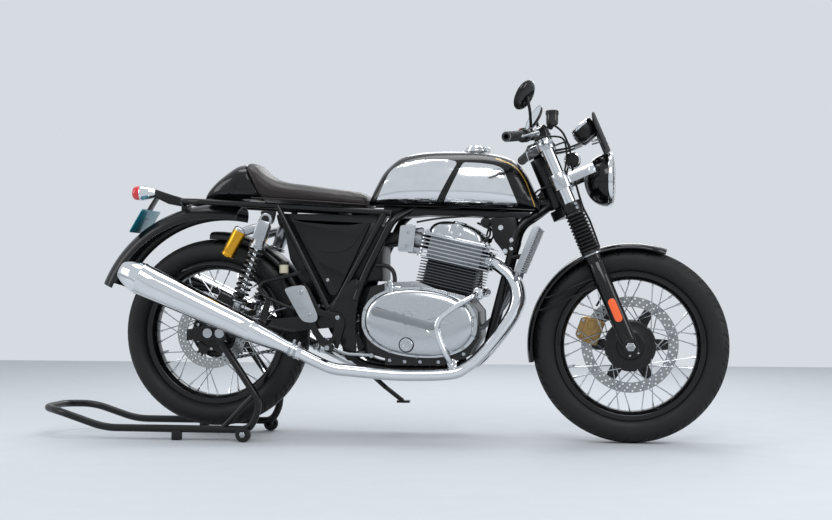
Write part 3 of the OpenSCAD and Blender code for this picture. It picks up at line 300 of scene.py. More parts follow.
# Rear brake reservoir: blown milky plastic, yellowed by the fluid inside
FLUID_PLASTIC = Finish("milky_fluid_reservoir", "#c9c4ae", "#b5ae92", 0.3, coat=0.5, spread=0.7)
# Smoked plastic of the front brake reservoir: nearly black, with a soft gloss
DARK_RESERVOIR = Finish("smoked_reservoir_plastic", "#131210", "#1d1b17", 0.24, coat=0.5, spread=0.6,
                        ior=1.4)
# Shock springs: coiled steel wire under black lacquer, glossy on the round of the wire
SPRING_BLACK = Finish("black_spring_lacquer", "#101113", "#191a1c", 0.25, coat=0.8, coat_roughness=0.08)
# Brake hose: woven steel wire with a fine grey sparkle
BRAID = Finish("braided_steel_hose", "#8e9195", "#56585b", 0.38, 0.9, surface=Surface.PEBBLED, grain_mm=1.6,
               depth_mm=0.2)


# ---------------------------------------------------------------- places
def shift(x: float, y: float, z: float) -> Matrix:
    """Returns a move."""
    return Matrix.Translation((x, y, z))


def turn(degrees: float, axis: str) -> Matrix:
    """Returns a turn about one axis."""
    return Matrix.Rotation(math.radians(degrees), 4, axis)


def along(direction: Sequence[float], roll_towards: Sequence[float] = (0, 0, 1)) -> Matrix:
    """Turns local Z to a direction, with local X kept near another one.

    Args:
        direction: Where local Z goes.
        roll_towards: What local X leans to.

    Returns:
        The turn.
    """
    z = Vector(direction).normalized()
    hint = Vector(roll_towards)
    if abs(z.dot(hint.normalized())) > 0.98:
        hint = Vector((1, 0, 0)) if abs(z.x) < 0.9 else Vector((0, 1, 0))
    x = (hint - z * hint.dot(z)).normalized()
    y = z.cross(x)
    return Matrix((x, y, z)).transposed().to_4x4()


@dataclass(frozen=True)
class Places:
    """The frames that pieces are set out in: each takes millimetres and gives the row frame in metres."""

    front: Matrix
    rear: Matrix
    pivot: Matrix
    fork: Matrix
    floor: Matrix
    head_angle: float

    @classmethod
    def from_frame(cls) -> "Places":
        """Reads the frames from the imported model's axles and steering joint.

        Returns:
            The frames.
        """
        def middle(node: str) -> Vector:
            """Gives the middle of a node's box."""
            low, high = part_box(node)
            return (low + high) / 2

        steering = next(j for j in frame["joints"] if j["name"] == "steering")
        axis = Vector(steering["axis"]).normalized()
        head = Vector(steering["pos_m"])
        pivot = head - Vector((694.5, 0, 367)) * MM
        front, rear = middle("front_axle"), middle("rear_axle")
        small = Matrix.Scale(MM, 4)
        lean = Matrix(((axis.z, 0, axis.x), (0, 1, 0), (-axis.x, 0, axis.z))).to_4x4()
        return cls(
            front=Matrix.Translation(front) @ small,
            rear=Matrix.Translation(rear) @ small,
            pivot=Matrix.Translation(pivot) @ small,
            fork=Matrix.Translation(front) @ lean @ small,
            floor=Matrix.Translation((rear.x, 0, 0)) @ small,
            head_angle=math.degrees(math.atan2(-axis.x, axis.z)))


PLACES = Places.from_frame()
# Local Z lies along the row's +Y, for pieces that are turned on an axle
AXLE = turn(-90, "X")


# ---------------------------------------------------------------- shapes
def curve_at(points: Sequence[Sequence[float]], u: float) -> list[float]:
    """Gives one point of the smooth curve through some points.

    Args:
        points: The points, each with the same number of values.
        u: How far along, from 0 to the last point's index.

    Returns:
        The point.
    """
    last = len(points) - 1
    i = min(last - 1, int(math.floor(u)))
    t = u - i
    a, b, c, d = (points[k] for k in (max(0, i - 1), i, i + 1, min(last, i + 2)))
    return [(2 * q + (r - p) * t + (2 * p - 5 * q + 4 * r - s) * t * t
             + (3 * q - p - 3 * r + s) * t ** 3) / 2
            for p, q, r, s in zip(a, b, c, d)]


def smooth(points: Sequence[Sequence[float]], steps: int) -> list[list[float]]:
    """Samples the smooth curve through some points at even steps."""
    return [curve_at(points, k * (len(points) - 1) / steps) for k in range(steps + 1)]


def rounded(points: Sequence[Sequence[float]], radius: float, steps: int = 5,
            closed: bool = False) -> list[Vector]:
    """Rounds the corners of a broken line.

    Args:
        points: The corners.
        radius: The greatest distance from a corner at which its arc starts.
        steps: Points in each arc.
        closed: Whether the line comes back to its start.

    Returns:
        The line with arcs in place of its corners.
    """
    ps = [Vector(p) for p in points]
    n = len(ps)
    out: list[Vector] = [] if closed else [ps[0]]
    for i in range(0 if closed else 1, n if closed else n - 1):
        p, before, after = ps[i], ps[i - 1], ps[(i + 1) % n]
        reach = min(radius, (before - p).length * 0.48, (after - p).length * 0.48)
        a, b = p + (before - p).normalized() * reach, p + (after - p).normalized() * reach
        out += [(a * (1 - t) + p * t) * (1 - t) + (p * (1 - t) + b * t) * t
                for t in (k / steps for k in range(steps + 1))]
    return out if closed else out + [ps[-1]]


def rings_faces(rings: int, sides: int, closed_rings: bool = False,
                caps: bool = True) -> list[tuple[int, ...]]:
    """Lists the faces of a skin over rings of points.

    Args:
        rings: Number of rings.
        sides: Points in each ring.
        closed_rings: Whether the last ring joins the first.
        caps: Whether the end rings are closed with a face.

    Returns:
        The faces as indices.
    """
    faces: list[tuple[int, ...]] = []
    for i in range(rings if closed_rings else rings - 1):
        j = (i + 1) % rings
        for k in range(sides):
            m = (k + 1) % sides
            faces.append((i * sides + k, i * sides + m, j * sides + m, j * sides + k))
    if caps and not closed_rings:
        faces.append(tuple(range(sides - 1, -1, -1)))
        faces.append(tuple((rings - 1) * sides + k for k in range(sides)))
    return faces


class Shape:
    """Gathers the faces of one piece, in millimetres in one frame, and makes its object."""

    def __init__(self, place: Matrix) -> None:
        """Starts an empty piece in a frame."""
        self.place = place
        self.verts: list[Vector] = []
        self.faces: list[tuple[int, ...]] = []
        self.tones: list[int] = []
        self.finishes: list[Finish] = []

    def add(self, verts: Iterable[Sequence[float]], faces: Iterable[Sequence[int]], finish: Finish,
            move: Optional[Matrix] = None) -> "Shape":
        """Adds faces in one finish.

        Args:
            verts: Points in millimetres.
            faces: Faces as indices of those points.
            finish: Their finish.
            move: A move within the piece's frame.

        Returns:
            This shape, so that calls can follow on.
        """
        if finish not in self.finishes:
            self.finishes.append(finish)
        tone = self.finishes.index(finish)
        start = len(self.verts)
        self.verts += [(move @ Vector(v)) if move else Vector(v) for v in verts]
        for face in faces:
            self.faces.append(tuple(start + i for i in face))
            self.tones.append(tone)
        return self

    def add_mesh(self, mesh: bmesh.types.BMesh, finish: Finish, move: Optional[Matrix] = None) -> "Shape":
        """Adds a bmesh and frees it."""
        bmesh.ops.recalc_face_normals(mesh, faces=mesh.faces[:])
        mesh.verts.index_update()
        self.add([v.co.copy() for v in mesh.verts], [[v.index for v in f.verts] for f in mesh.faces],
                 finish, move)
        mesh.free()
        return self

    def lathe(self, outline: Sequence[Flat], finish: Finish, move: Optional[Matrix] = None, steps: int = 64,
              closed: bool = False) -> "Shape":
        """Turns an outline of (radius, height) about local Z.

        Args:
            outline: The outline, from one end to the other, or all the way round if closed.
            finish: Its finish.
            move: A move within the piece's frame.
            steps: Faces round the turn.
            closed: Whether the outline comes back to its start.

        Returns:
            This shape.
        """
        mesh = bmesh.new()
        rows = [[mesh.verts.new((r * math.cos(a), r * math.sin(a), z)) for r, z in outline]
                for a in (2 * math.pi * k / steps for k in range(steps))]
        count = len(outline)
        for k in range(steps):
            here, there = rows[k], rows[(k + 1) % steps]
            for i in range(count if closed else count - 1):
                j = (i + 1) % count
                mesh.faces.new((here[i], there[i], there[j], here[j]))
        bmesh.ops.remove_doubles(mesh, verts=mesh.verts[:], dist=0.0005)
        bmesh.ops.dissolve_degenerate(mesh, edges=mesh.edges[:], dist=0.0005)
        return self.add_mesh(mesh, finish, move)

    def tube(self, route: Sequence[Sequence[float]], radius: Any, finish: Finish, sides: int = 20,
             move: Optional[Matrix] = None, flat: float = 1.0) -> "Shape":
        """Sweeps a round or oval section along a route, with domed ends.

        Args:
            route: The points that it follows.
            radius: One radius, or one for each point.
            finish: Its finish.
            sides: Faces round it.
            move: A move within the piece's frame.
            flat: Height of the section as a share of its width.

        Returns:
            This shape.
        """
        line = [Vector(p) for p in route]
        radii = list(radius) if hasattr(radius, "__len__") else [radius] * len(line)
        tangents = [(line[min(i + 1, len(line) - 1)] - line[max(i - 1, 0)]).normalized()
                    for i in range(len(line))]
        dome = [(0.35, 0.94), (0.75, 0.66), (1.0, 0.0)]
        line = [line[0] - tangents[0] * radii[0] * 0.12 * d for d, _ in reversed(dome)] + line \
            + [line[-1] + tangents[-1] * radii[-1] * 0.12 * d for d, _ in dome]
        radii = [radii[0] * max(s, 0.02) for _, s in reversed(dome)] + radii + [radii[-1] * max(s, 0.02)
                for _, s in dome]
        tangents = [tangents[0]] * 3 + tangents + [tangents[-1]] * 3
        side = tangents[0].cross(Vector((0, 0, 1)) if abs(tangents[0].z) < 0.9
                                 else Vector((0, 1, 0))).normalized()
        verts: list[Vector] = []
        for i, (p, t, r) in enumerate(zip(line, tangents, radii)):
            side = (side - t * side.dot(t)).normalized()
            up = t.cross(side)
            verts += [p + r * (math.cos(a) * side + flat * math.sin(a) * up)
                      for a in (2 * math.pi * k / sides for k in range(sides))]
        return self.add(verts, rings_faces(len(line), sides), finish, move)

    def rod(self, a: Sequence[float], b: Sequence[float], radius: float, finish: Finish,
            sides: int = 20) -> "Shape":
        """Adds a straight turned rod with small chamfers."""
        start, end = Vector(a), Vector(b)
        length = (end - start).length
        edge = min(0.12 * radius, 0.8)
        outline = [(0, 0), (radius - edge, 0), (radius, edge), (radius, length - edge),
                   (radius - edge, length), (0, length)]
        return self.lathe(outline, finish, Matrix.Translation(start) @ along(end - start), sides)

    def block(self, low: Sequence[float], high: Sequence[float], finish: Finish, edge: float = 1.0,
              move: Optional[Matrix] = None) -> "Shape":
        """Adds a box with rounded edges."""
        mesh = bmesh.new()
        bmesh.ops.create_cube(mesh, size=1.0)
        middle, size = (Vector(low) + Vector(high)) / 2, Vector(high) - Vector(low)
        for v in mesh.verts:
            v.co = Vector((v.co.x * size.x, v.co.y * size.y, v.co.z * size.z)) + middle
        width = min(edge, 0.45 * min(size))
        bmesh.ops.bevel(mesh, geom=mesh.edges[:], offset=width, segments=2, affect="EDGES", profile=0.5)
        return self.add_mesh(mesh, finish, move)

    def plate(self, outline: Sequence[Flat], low: float, high: float, finish: Finish,
              holes: Sequence[Sequence[Flat]] = (),
              edge: float = 0.8, move: Optional[Matrix] = None) -> "Shape":
        """Adds a plate whose outline lies in X and Z, from one Y to another.

        Args:
            outline: The outline in X and Z.
            low: The lower Y.
            high: The higher Y.
            finish: Its finish.
            holes: Outlines of the holes through it.
            edge: Width of its rounded edge.
            move: A move within the piece's frame.

        Returns:
            This shape.
        """
        mesh = bmesh.new()
        edges: list[bmesh.types.BMEdge] = []
        for loop in [outline, *holes]:
            vs = [mesh.verts.new((p[0], low, p[1])) for p in loop]
            edges += [mesh.edges.new((vs[i], vs[(i + 1) % len(vs)])) for i in range(len(vs))]
        bmesh.ops.triangle_fill(mesh, use_beauty=True, use_dissolve=True, edges=edges)
        if not mesh.faces:
            mesh.free()
            raise ValueError("a plate's outline gave no face")
        top = bmesh.ops.extrude_face_region(mesh, geom=mesh.faces[:])["geom"]
        bmesh.ops.translate(mesh, vec=(0, high - low, 0), verts=[g for g in top
                if isinstance(g, bmesh.types.BMVert)])
        bmesh.ops.recalc_face_normals(mesh, faces=mesh.faces[:])
        if edge:
            rims = [e for e in mesh.edges if len(e.link_faces) == 2 and e.calc_face_angle(0) > 1.2
                    and any(abs(f.normal.y) > 0.9 for f in e.link_faces)]
            bmesh.ops.bevel(mesh, geom=rims, offset=min(edge, (high - low) * 0.4), segments=2,
                            affect="EDGES", profile=0.5)
        return self.add_mesh(mesh, finish, move)

    def mirrored(self) -> "Shape":
        """Adds the mirror image of everything so far across Y."""
        start = len(self.verts)
        self.verts += [Vector((v.x, -v.y, v.z)) for v in self.verts[:start]]
        for face, tone in list(zip(self.faces, self.tones)):
            self.faces.append(tuple(start + i for i in reversed(face)))
            self.tones.append(tone)
        return self

    def piece(self, name: str, body: str, replaces: Sequence[str] = (), sharp: float = 32.0,
              slot: Optional[str] = None, subdivide: int = 0) -> bpy.types.Object:
        """Makes the object of this shape and hands it to the frame.

        Args:
            name: The piece's name.
            body: The CAD body that it rides on.
            replaces: The CAD nodes that it stands for.
            sharp: The least angle in degrees that shows as an edge.
            slot: The record's material slot, or the first replaced node's; not used.
            subdivide: Levels of subdivision, which are applied.

        Returns:
            The object.
        """
        mesh = bpy.data.meshes.new(name)
        mesh.from_pydata([self.place @ v for v in self.verts], [], self.faces)
        for finish in self.finishes:
            mesh.materials.append(finish.material())
        mesh.polygons.foreach_set("material_index", self.tones)
        mesh.validate()
        mesh.update()
        obj = bpy.data.objects.new(name, mesh)
        bpy.context.scene.collection.objects.link(obj)
        if subdivide:
            modifier = obj.modifiers.new("smooth", "SUBSURF")
            modifier.levels = modifier.render_levels = subdivide
            bake(obj)
        obj.data.shade_smooth()
        obj.data.set_sharp_from_angle(angle=math.radians(sharp))
        return hand_over(obj, body, replaces)


def bake(obj: bpy.types.Object) -> None:
    """Replaces an object's mesh by its evaluated one and drops its modifiers."""
    graph = bpy.context.evaluated_depsgraph_get()
    mesh = bpy.data.meshes.new_from_object(obj.evaluated_get(graph), preserve_all_data_layers=True,
                                           depsgraph=graph)
    obj.modifiers.clear()
    obj.data = mesh


def hand_over(obj: bpy.types.Object, body: str, replaces: Sequence[str] = ()) -> bpy.types.Object:
    """Gives a finished object to the frame.

    Args:
        obj: The object, in place.
        body: The CAD body that it rides on.
        replaces: The CAD nodes that it stands for.

    Returns:
        The object.
    """
    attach(obj, body)
    if replaces:
        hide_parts(*replaces)
    LOG.info("%s on %s, %d faces", obj.name, body, len(obj.data.polygons))
    return obj


def body_of(node: str) -> str:
    """Returns the CAD body that a node belongs to."""
    bodies = frame["record"]["behaviour"]["bodies"]
    return next(name for name, nodes in bodies.items() if node in nodes)


def refine(node: str, finish: Finish, edge_mm: float = 0.8, sharp: float = 30.0,
           extra: Sequence[Finish] = (),
           choose: Optional[Callable[[Vector, Vector], int]] = None,
           name: Optional[str] = None) -> bpy.types.Object:
    """Stands a copy of a CAD node in for it, with merged faces and rounded edges.

    Args:
        node: The CAD node.
        finish: Its main finish.
        edge_mm: Width of the rounding on its edges, or 0 for none.
        sharp: The least angle in degrees that counts as an edge.
        extra: Further finishes.
        choose: Gives a face's finish, 0 for the main one, from its middle and normal in the row frame.
        name: The piece's name.

    Returns:
        The new object.
    """
    source = frame["nodes"][node]
    mesh = bmesh.new()
    mesh.from_mesh(source.data)
    bmesh.ops.remove_doubles(mesh, verts=mesh.verts[:], dist=2e-5)
    bmesh.ops.dissolve_degenerate(mesh, edges=mesh.edges[:], dist=2e-5)
    bmesh.ops.dissolve_limit(mesh, angle_limit=math.radians(0.6), verts=mesh.verts[:], edges=mesh.edges[:])
    data = bpy.data.meshes.new(name or node + "_finished")
    for f in mesh.faces:
        f.material_index = choose(f.calc_center_median(), f.normal) if choose else 0
    mesh.to_mesh(data)
    mesh.free()
    for item in (finish, *extra):
        data.materials.append(item.material())
    obj = bpy.data.objects.new(data.name, data)
    bpy.context.scene.collection.objects.link(obj)
    if edge_mm:
        bevel = obj.modifiers.new("edges", "BEVEL")
        bevel.width, bevel.segments, bevel.limit_method = edge_mm * MM, 2, "ANGLE"
        bevel.angle_limit, bevel.use_clamp_overlap = math.radians(sharp), True
        bake(obj)
    obj.data.shade_smooth()
    obj.data.set_sharp_from_angle(angle=math.radians(sharp))
    return hand_over(obj, body_of(node), [node])


# ---------------------------------------------------------------- repeated pieces
class Repeated(Enum):
    """The small pieces that are repeated, each grown by a Geometry Nodes tree."""

    HEX_HEAD = "hex_head"
    SOCKET_HEAD = "socket_head"
    SPOKE = "spoke"
    LINK_PLATE = "link_plate"
    ROLLER = "roller"
    STITCH = "stitch"
    FIN = "fin"
    DRILLED_DISC = "drilled_disc"
    SPRING = "spring"


SIZES: dict[Repeated, dict[str, float]] = {
    Repeated.HEX_HEAD: {"Radius": 6.0, "Height": 5.0},
    Repeated.SOCKET_HEAD: {"Radius": 5.0, "Height": 5.0},
    Repeated.SPOKE: {"Radius": 1.8},
    Repeated.LINK_PLATE: {"Pitch": 15.875, "Depth": 13.0, "Thickness": 1.8},
    Repeated.ROLLER: {"Radius": 5.1, "Height": 9.0},
    Repeated.STITCH: {"Radius": 0.8, "Length": 3.6},
    Repeated.FIN: {"Length": 200.0, "Width": 250.0, "Thickness": 3.4, "Corner": 14.0},
    Repeated.DRILLED_DISC: {"Outer": 160.0, "Inner": 48.0, "Hole": 4.0, "Thickness": 5.0},
    Repeated.SPRING: {"Radius": 24.0, "Wire": 4.6, "Turns": 9.0, "Height": 190.0}}


@lru_cache(maxsize=None)
def tree_of(kind: Repeated) -> bpy.types.NodeTree:
    """Builds the Geometry Nodes tree of a repeated piece.

    Args:
        kind: Which piece.

    Returns:
        The tree, whose sizes are named inputs in metres.
    """
    tree = bpy.data.node_groups.new(kind.value, "GeometryNodeTree")
    tree.interface.new_socket("Geometry", in_out="INPUT", socket_type="NodeSocketGeometry")
    tree.interface.new_socket("Geometry", in_out="OUTPUT", socket_type="NodeSocketGeometry")
    for name, value in SIZES[kind].items():
        socket = tree.interface.new_socket(name, in_out="INPUT", socket_type="NodeSocketFloat")
        socket.default_value = value if name == "Turns" else value * MM
    tree.interface.new_socket("Material", in_out="INPUT", socket_type="NodeSocketMaterial")
    given = add_node(tree, "NodeGroupInput").outputs

    def times(a: Any, b: Any) -> bpy.types.NodeSocket:
        """Multiplies two numbers or sockets."""
        return add_node(tree, "ShaderNodeMath", {"operation": "MULTIPLY"}, {0: a, 1: b}).outputs[0]

    def vector(x: Any = 0.0, y: Any = 0.0, z: Any = 0.0) -> bpy.types.NodeSocket:
        """Combines three numbers or sockets."""
        return add_node(tree, "ShaderNodeCombineXYZ", inputs={0: x, 1: y, 2: z}).outputs[0]

    def moved(shape: bpy.types.NodeSocket, offset: bpy.types.NodeSocket) -> bpy.types.NodeSocket:
        """Moves a shape."""
        return add_node(tree, "GeometryNodeTransform", inputs={"Geometry": shape,
                "Translation": offset}).outputs[0]

    def cylinder(radius: Any, height: Any, sides: int) -> bpy.types.NodeSocket:
        """Adds a cylinder that stands on the origin."""
        body = add_node(tree, "GeometryNodeMeshCylinder", {"fill_type": "NGON"}, {
            "Vertices": sides, "Radius": radius, "Depth": height})
        return moved(body.outputs["Mesh"], vector(z=times(height, 0.5)))

    def joined(*shapes: bpy.types.NodeSocket) -> bpy.types.NodeSocket:
        """Joins shapes."""
        join = add_node(tree, "GeometryNodeJoinGeometry")
        for shape in shapes:
            tree.links.new(shape, join.inputs[0])
        return join.outputs[0]

    def topped(shape: bpy.types.NodeSocket, steps: Sequence[tuple[float, Any]]) -> bpy.types.NodeSocket:
        """Extrudes and shrinks the top face in steps of (scale, height)."""
        normal = add_node(tree, "ShaderNodeSeparateXYZ", inputs={0: add_node(tree,
                "GeometryNodeInputNormal").outputs[0]})
        chosen = add_node(tree, "FunctionNodeCompare", {"data_type": "FLOAT", "operation": "GREATER_THAN"},
                          {
            0: normal.outputs[2], 1: 0.9}).outputs[0]
        for scale, height in steps:
            drawn = add_node(tree, "GeometryNodeExtrudeMesh", inputs={
                "Mesh": shape, "Selection": chosen, "Offset": vector(z=1.0), "Offset Scale": height,
                "Individual": False})
            shape, chosen = drawn.outputs["Mesh"], drawn.outputs["Top"]
            shape = add_node(tree, "GeometryNodeScaleElements", inputs={
                "Geometry": shape, "Selection": chosen, "Scale": scale}).outputs[0]
        return shape

    def filled(curve: bpy.types.NodeSocket, height: Any) -> bpy.types.NodeSocket:
        """Fills flat curves and gives them a thickness upward."""
        face = add_node(tree, "GeometryNodeFillCurve", inputs={"Curve": curve}).outputs[0]
        drawn = add_node(tree, "GeometryNodeExtrudeMesh", inputs={
            "Mesh": face, "Offset": vector(z=1.0), "Offset Scale": height, "Individual": False}).outputs[0]
        return joined(drawn, add_node(tree, "GeometryNodeFlipFaces", inputs={0: face}).outputs[0])

    repeated = True
    if kind == Repeated.HEX_HEAD:
        head = moved(topped(cylinder(given["Radius"], given["Height"], 6),
                            [(0.86, times(given["Height"], 0.14))]),
                     vector(z=times(given["Height"], 0.18)))
        shape = joined(head, cylinder(times(given["Radius"], 1.3), times(given["Height"], 0.2), 20))
    elif kind == Repeated.SOCKET_HEAD:
        shape = topped(cylinder(given["Radius"], given["Height"], 20), [
            (0.9, times(given["Height"], 0.08)), (0.6, 0.0), (1.0, times(given["Height"], -0.6))])
    elif kind == Repeated.SPOKE:
        shape = cylinder(given["Radius"], 1.0, 8)
    elif kind == Repeated.ROLLER:
        shape = moved(cylinder(given["Radius"], given["Height"], 10),
                      vector(z=times(given["Height"], -0.5)))
    elif kind == Repeated.LINK_PLATE:
        half = times(given["Pitch"], 0.5)
        eye = cylinder(times(given["Depth"], 0.5), given["Thickness"], 14)
        waist = add_node(tree, "GeometryNodeMeshCube", inputs={
            "Size": vector(given["Pitch"], times(given["Depth"], 0.72), given["Thickness"])}).outputs[0]
        shape = joined(moved(eye, vector(x=half)), moved(eye, vector(x=times(half, -1.0))),
                       moved(waist, vector(z=times(given["Thickness"], 0.5))))
    elif kind == Repeated.STITCH:
        ball = add_node(tree, "GeometryNodeMeshUVSphere", inputs={"Segments": 6, "Rings": 5,
                "Radius": given["Radius"]})
        long = add_node(tree, "ShaderNodeMath", {"operation": "DIVIDE"},
                        {0: given["Length"], 1: given["Radius"]})
        shape = add_node(tree, "GeometryNodeTransform", inputs={
            "Geometry": ball.outputs[0], "Scale": vector(times(long.outputs[0], 0.5), 1.0, 1.0)}).outputs[0]
    elif kind == Repeated.FIN:
        outline = add_node(tree, "GeometryNodeCurvePrimitiveQuadrilateral", inputs={
            "Width": given["Length"], "Height": given["Width"]}).outputs[0]
        outline = add_node(tree, "GeometryNodeFilletCurve", inputs={"Curve": outline,
                "Radius": given["Corner"]})
        if "Mode" in outline.inputs:
            outline.inputs["Mode"].default_value = "Poly"
        else:
            outline.mode = "POLY"
        outline.inputs["Count"].default_value = 6
        shape = filled(outline.outputs[0], given["Thickness"])
    else:
        repeated = False
    if kind == Repeated.DRILLED_DISC:
        ring = [add_node(tree, "GeometryNodeCurvePrimitiveCircle",
                         inputs={"Resolution": n, "Radius": given[r]}).outputs[0]
                for n, r in ((128, "Outer"), (64, "Inner"), (10, "Hole"))]
        holes = add_node(tree, "GeometryNodeInstanceOnPoints",
                         inputs={"Points": given["Geometry"], "Instance": ring[2]})
        curves = joined(ring[0], ring[1], add_node(tree, "GeometryNodeRealizeInstances",
                                                   inputs={0: holes.outputs[0]}).outputs[0])
        shape = moved(filled(curves, given["Thickness"]), vector(z=times(given["Thickness"], -0.5)))
    if kind == Repeated.SPRING:
        coil = add_node(tree, "GeometryNodeCurveSpiral", inputs={
            "Resolution": 28, "Rotations": given["Turns"], "Start Radius": given["Radius"],
            "End Radius": given["Radius"],
            "Height": given["Height"]})
        section = add_node(tree, "GeometryNodeCurvePrimitiveCircle",
                           inputs={"Resolution": 12, "Radius": given["Wire"]})
        shape = add_node(tree, "GeometryNodeCurveToMesh", inputs={
            "Curve": coil.outputs[0], "Profile Curve": section.outputs[0], "Fill Caps": True}).outputs[0]
    if repeated:
        turned = add_node(tree, "FunctionNodeEulerToRotation", inputs={0: add_node(
            tree, "GeometryNodeInputNamedAttribute", {"data_type": "FLOAT_VECTOR"},
            {"Name": "turn"}).outputs[0]})
        stretch = add_node(tree, "GeometryNodeInputNamedAttribute", {"data_type": "FLOAT_VECTOR"},
                           {"Name": "stretch"})
        shape = add_node(tree, "GeometryNodeInstanceOnPoints", inputs={
            "Points": given["Geometry"], "Instance": shape, "Rotation": turned.outputs[0],
            "Scale": stretch.outputs[0]}).outputs[0]
    real = add_node(tree, "GeometryNodeRealizeInstances", inputs={0: shape})
    painted = add_node(tree, "GeometryNodeSetMaterial", inputs={"Geometry": real.outputs[0],
            "Material": given["Material"]})
    add_node(tree, "NodeGroupOutput", inputs={0: painted.outputs[0]})
    return tree


@dataclass
class Row:
    """The spots at which one small piece is repeated, in millimetres in one frame."""

    place: Matrix
    spots: list[tuple[Vector, Vector, Vector, Vector]] = field(default_factory=list)

    def at(self, where: Sequence[float], aim: Sequence[float] = (0, 0, 1),
           towards: Sequence[float] = (1, 0, 0),
           stretch: Sequence[float] = (1, 1, 1)) -> "Row":
        """Adds a spot.

        Args:
            where: The point.
            aim: Where the piece's own Z goes.
            towards: What the piece's own X leans to.
            stretch: The piece's scale along its own axes.

        Returns:
            This row.
        """
        self.spots.append((Vector(where), Vector(aim), Vector(towards), Vector(stretch)))
        return self

    def mirrored(self) -> "Row":
        """Adds the mirror image of each spot across Y."""
        flip = Matrix.Diagonal((1, -1, 1))
        self.spots += [(flip @ p, flip @ a, flip @ t, s) for p, a, t, s in list(self.spots)]
        return self

    def grow(self, name: str, body: str, kind: Repeated, finish: Finish,
             sizes: Optional[dict[str, float]] = None,
             sharp: float = 32.0, after: Optional[Matrix] = None,
             replaces: Sequence[str] = ()) -> bpy.types.Object:
        """Grows the repeated piece on every spot and bakes it to one mesh.

        Args:
            name: The object's name.
            body: The CAD body that it rides on.
            kind: Which piece.
            finish: Its finish.
            sizes: Sizes in millimetres, by input name.
            sharp: The least angle in degrees that shows as an edge.
            after: A place for the baked mesh, for a piece that isn't grown on spots in place.
            replaces: The CAD nodes that it stands for.

        Returns:
            The object.
        """
        tree = tree_of(kind)
        mesh = bpy.data.meshes.new(name)
        base = Matrix.Identity(4) if after else self.place
        scale = MM if after else 1.0
        mesh.from_pydata([(base @ s[0]) * scale for s in self.spots] or [(0, 0, 0)], [], [])
        around = base.decompose()[1]
        for label, values in (("turn", [(around @ along(s[1], s[2]).to_quaternion()).to_euler()
                                        for s in self.spots]),
                              ("stretch", [s[3] for s in self.spots])):
            attribute = mesh.attributes.new(label, "FLOAT_VECTOR", "POINT")
            if values:
                attribute.data.foreach_set("vector", [c for v in values for c in v])
        obj = bpy.data.objects.new(name, mesh)
        bpy.context.scene.collection.objects.link(obj)
        modifier = obj.modifiers.new("grow", "NODES")
        modifier.node_group = tree
        wanted = dict(SIZES[kind], **(sizes or {}))
        for item in tree.interface.items_tree:
            if item.item_type == "SOCKET" and item.in_out == "INPUT" and item.name in wanted:
                modifier[item.identifier] = wanted[item.name] * (1.0 if item.name == "Turns" else MM)
            if item.item_type == "SOCKET" and item.in_out == "INPUT" and item.name == "Material":
                modifier[item.identifier] = finish.material()
        bake(obj)
        work = bmesh.new()
        work.from_mesh(obj.data)
        if after:
            bmesh.ops.scale(work, vec=(1 / MM,) * 3, verts=work.verts[:])
            bmesh.ops.transform(work, matrix=after, verts=work.verts[:])
        bmesh.ops.remove_doubles(work, verts=work.verts[:], dist=1e-6)
        bmesh.ops.recalc_face_normals(work, faces=work.faces[:])
        work.to_mesh(obj.data)
        work.free()
        obj.data.shade_smooth()
        obj.data.set_sharp_from_angle(angle=math.radians(sharp))
        return hand_over(obj, body, replaces)


def ring_of(count: int, radius: float, start: float = 0.0) -> list[Flat]:
    """Lists points round a circle.

    Args:
        count: How many.
        radius: The circle's radius.
        start: The angle of the first one in degrees.

    Returns:
        The points.
    """
    return [(radius * math.cos(math.radians(start) + 2 * math.pi * k / count),
             radius * math.sin(math.radians(start) + 2 * math.pi * k / count)) for k in range(count)]


def power(value: float, exponent: float) -> float:
    """Raises a signed number to a power and keeps its sign."""
    return math.copysign(abs(value) ** exponent, value)


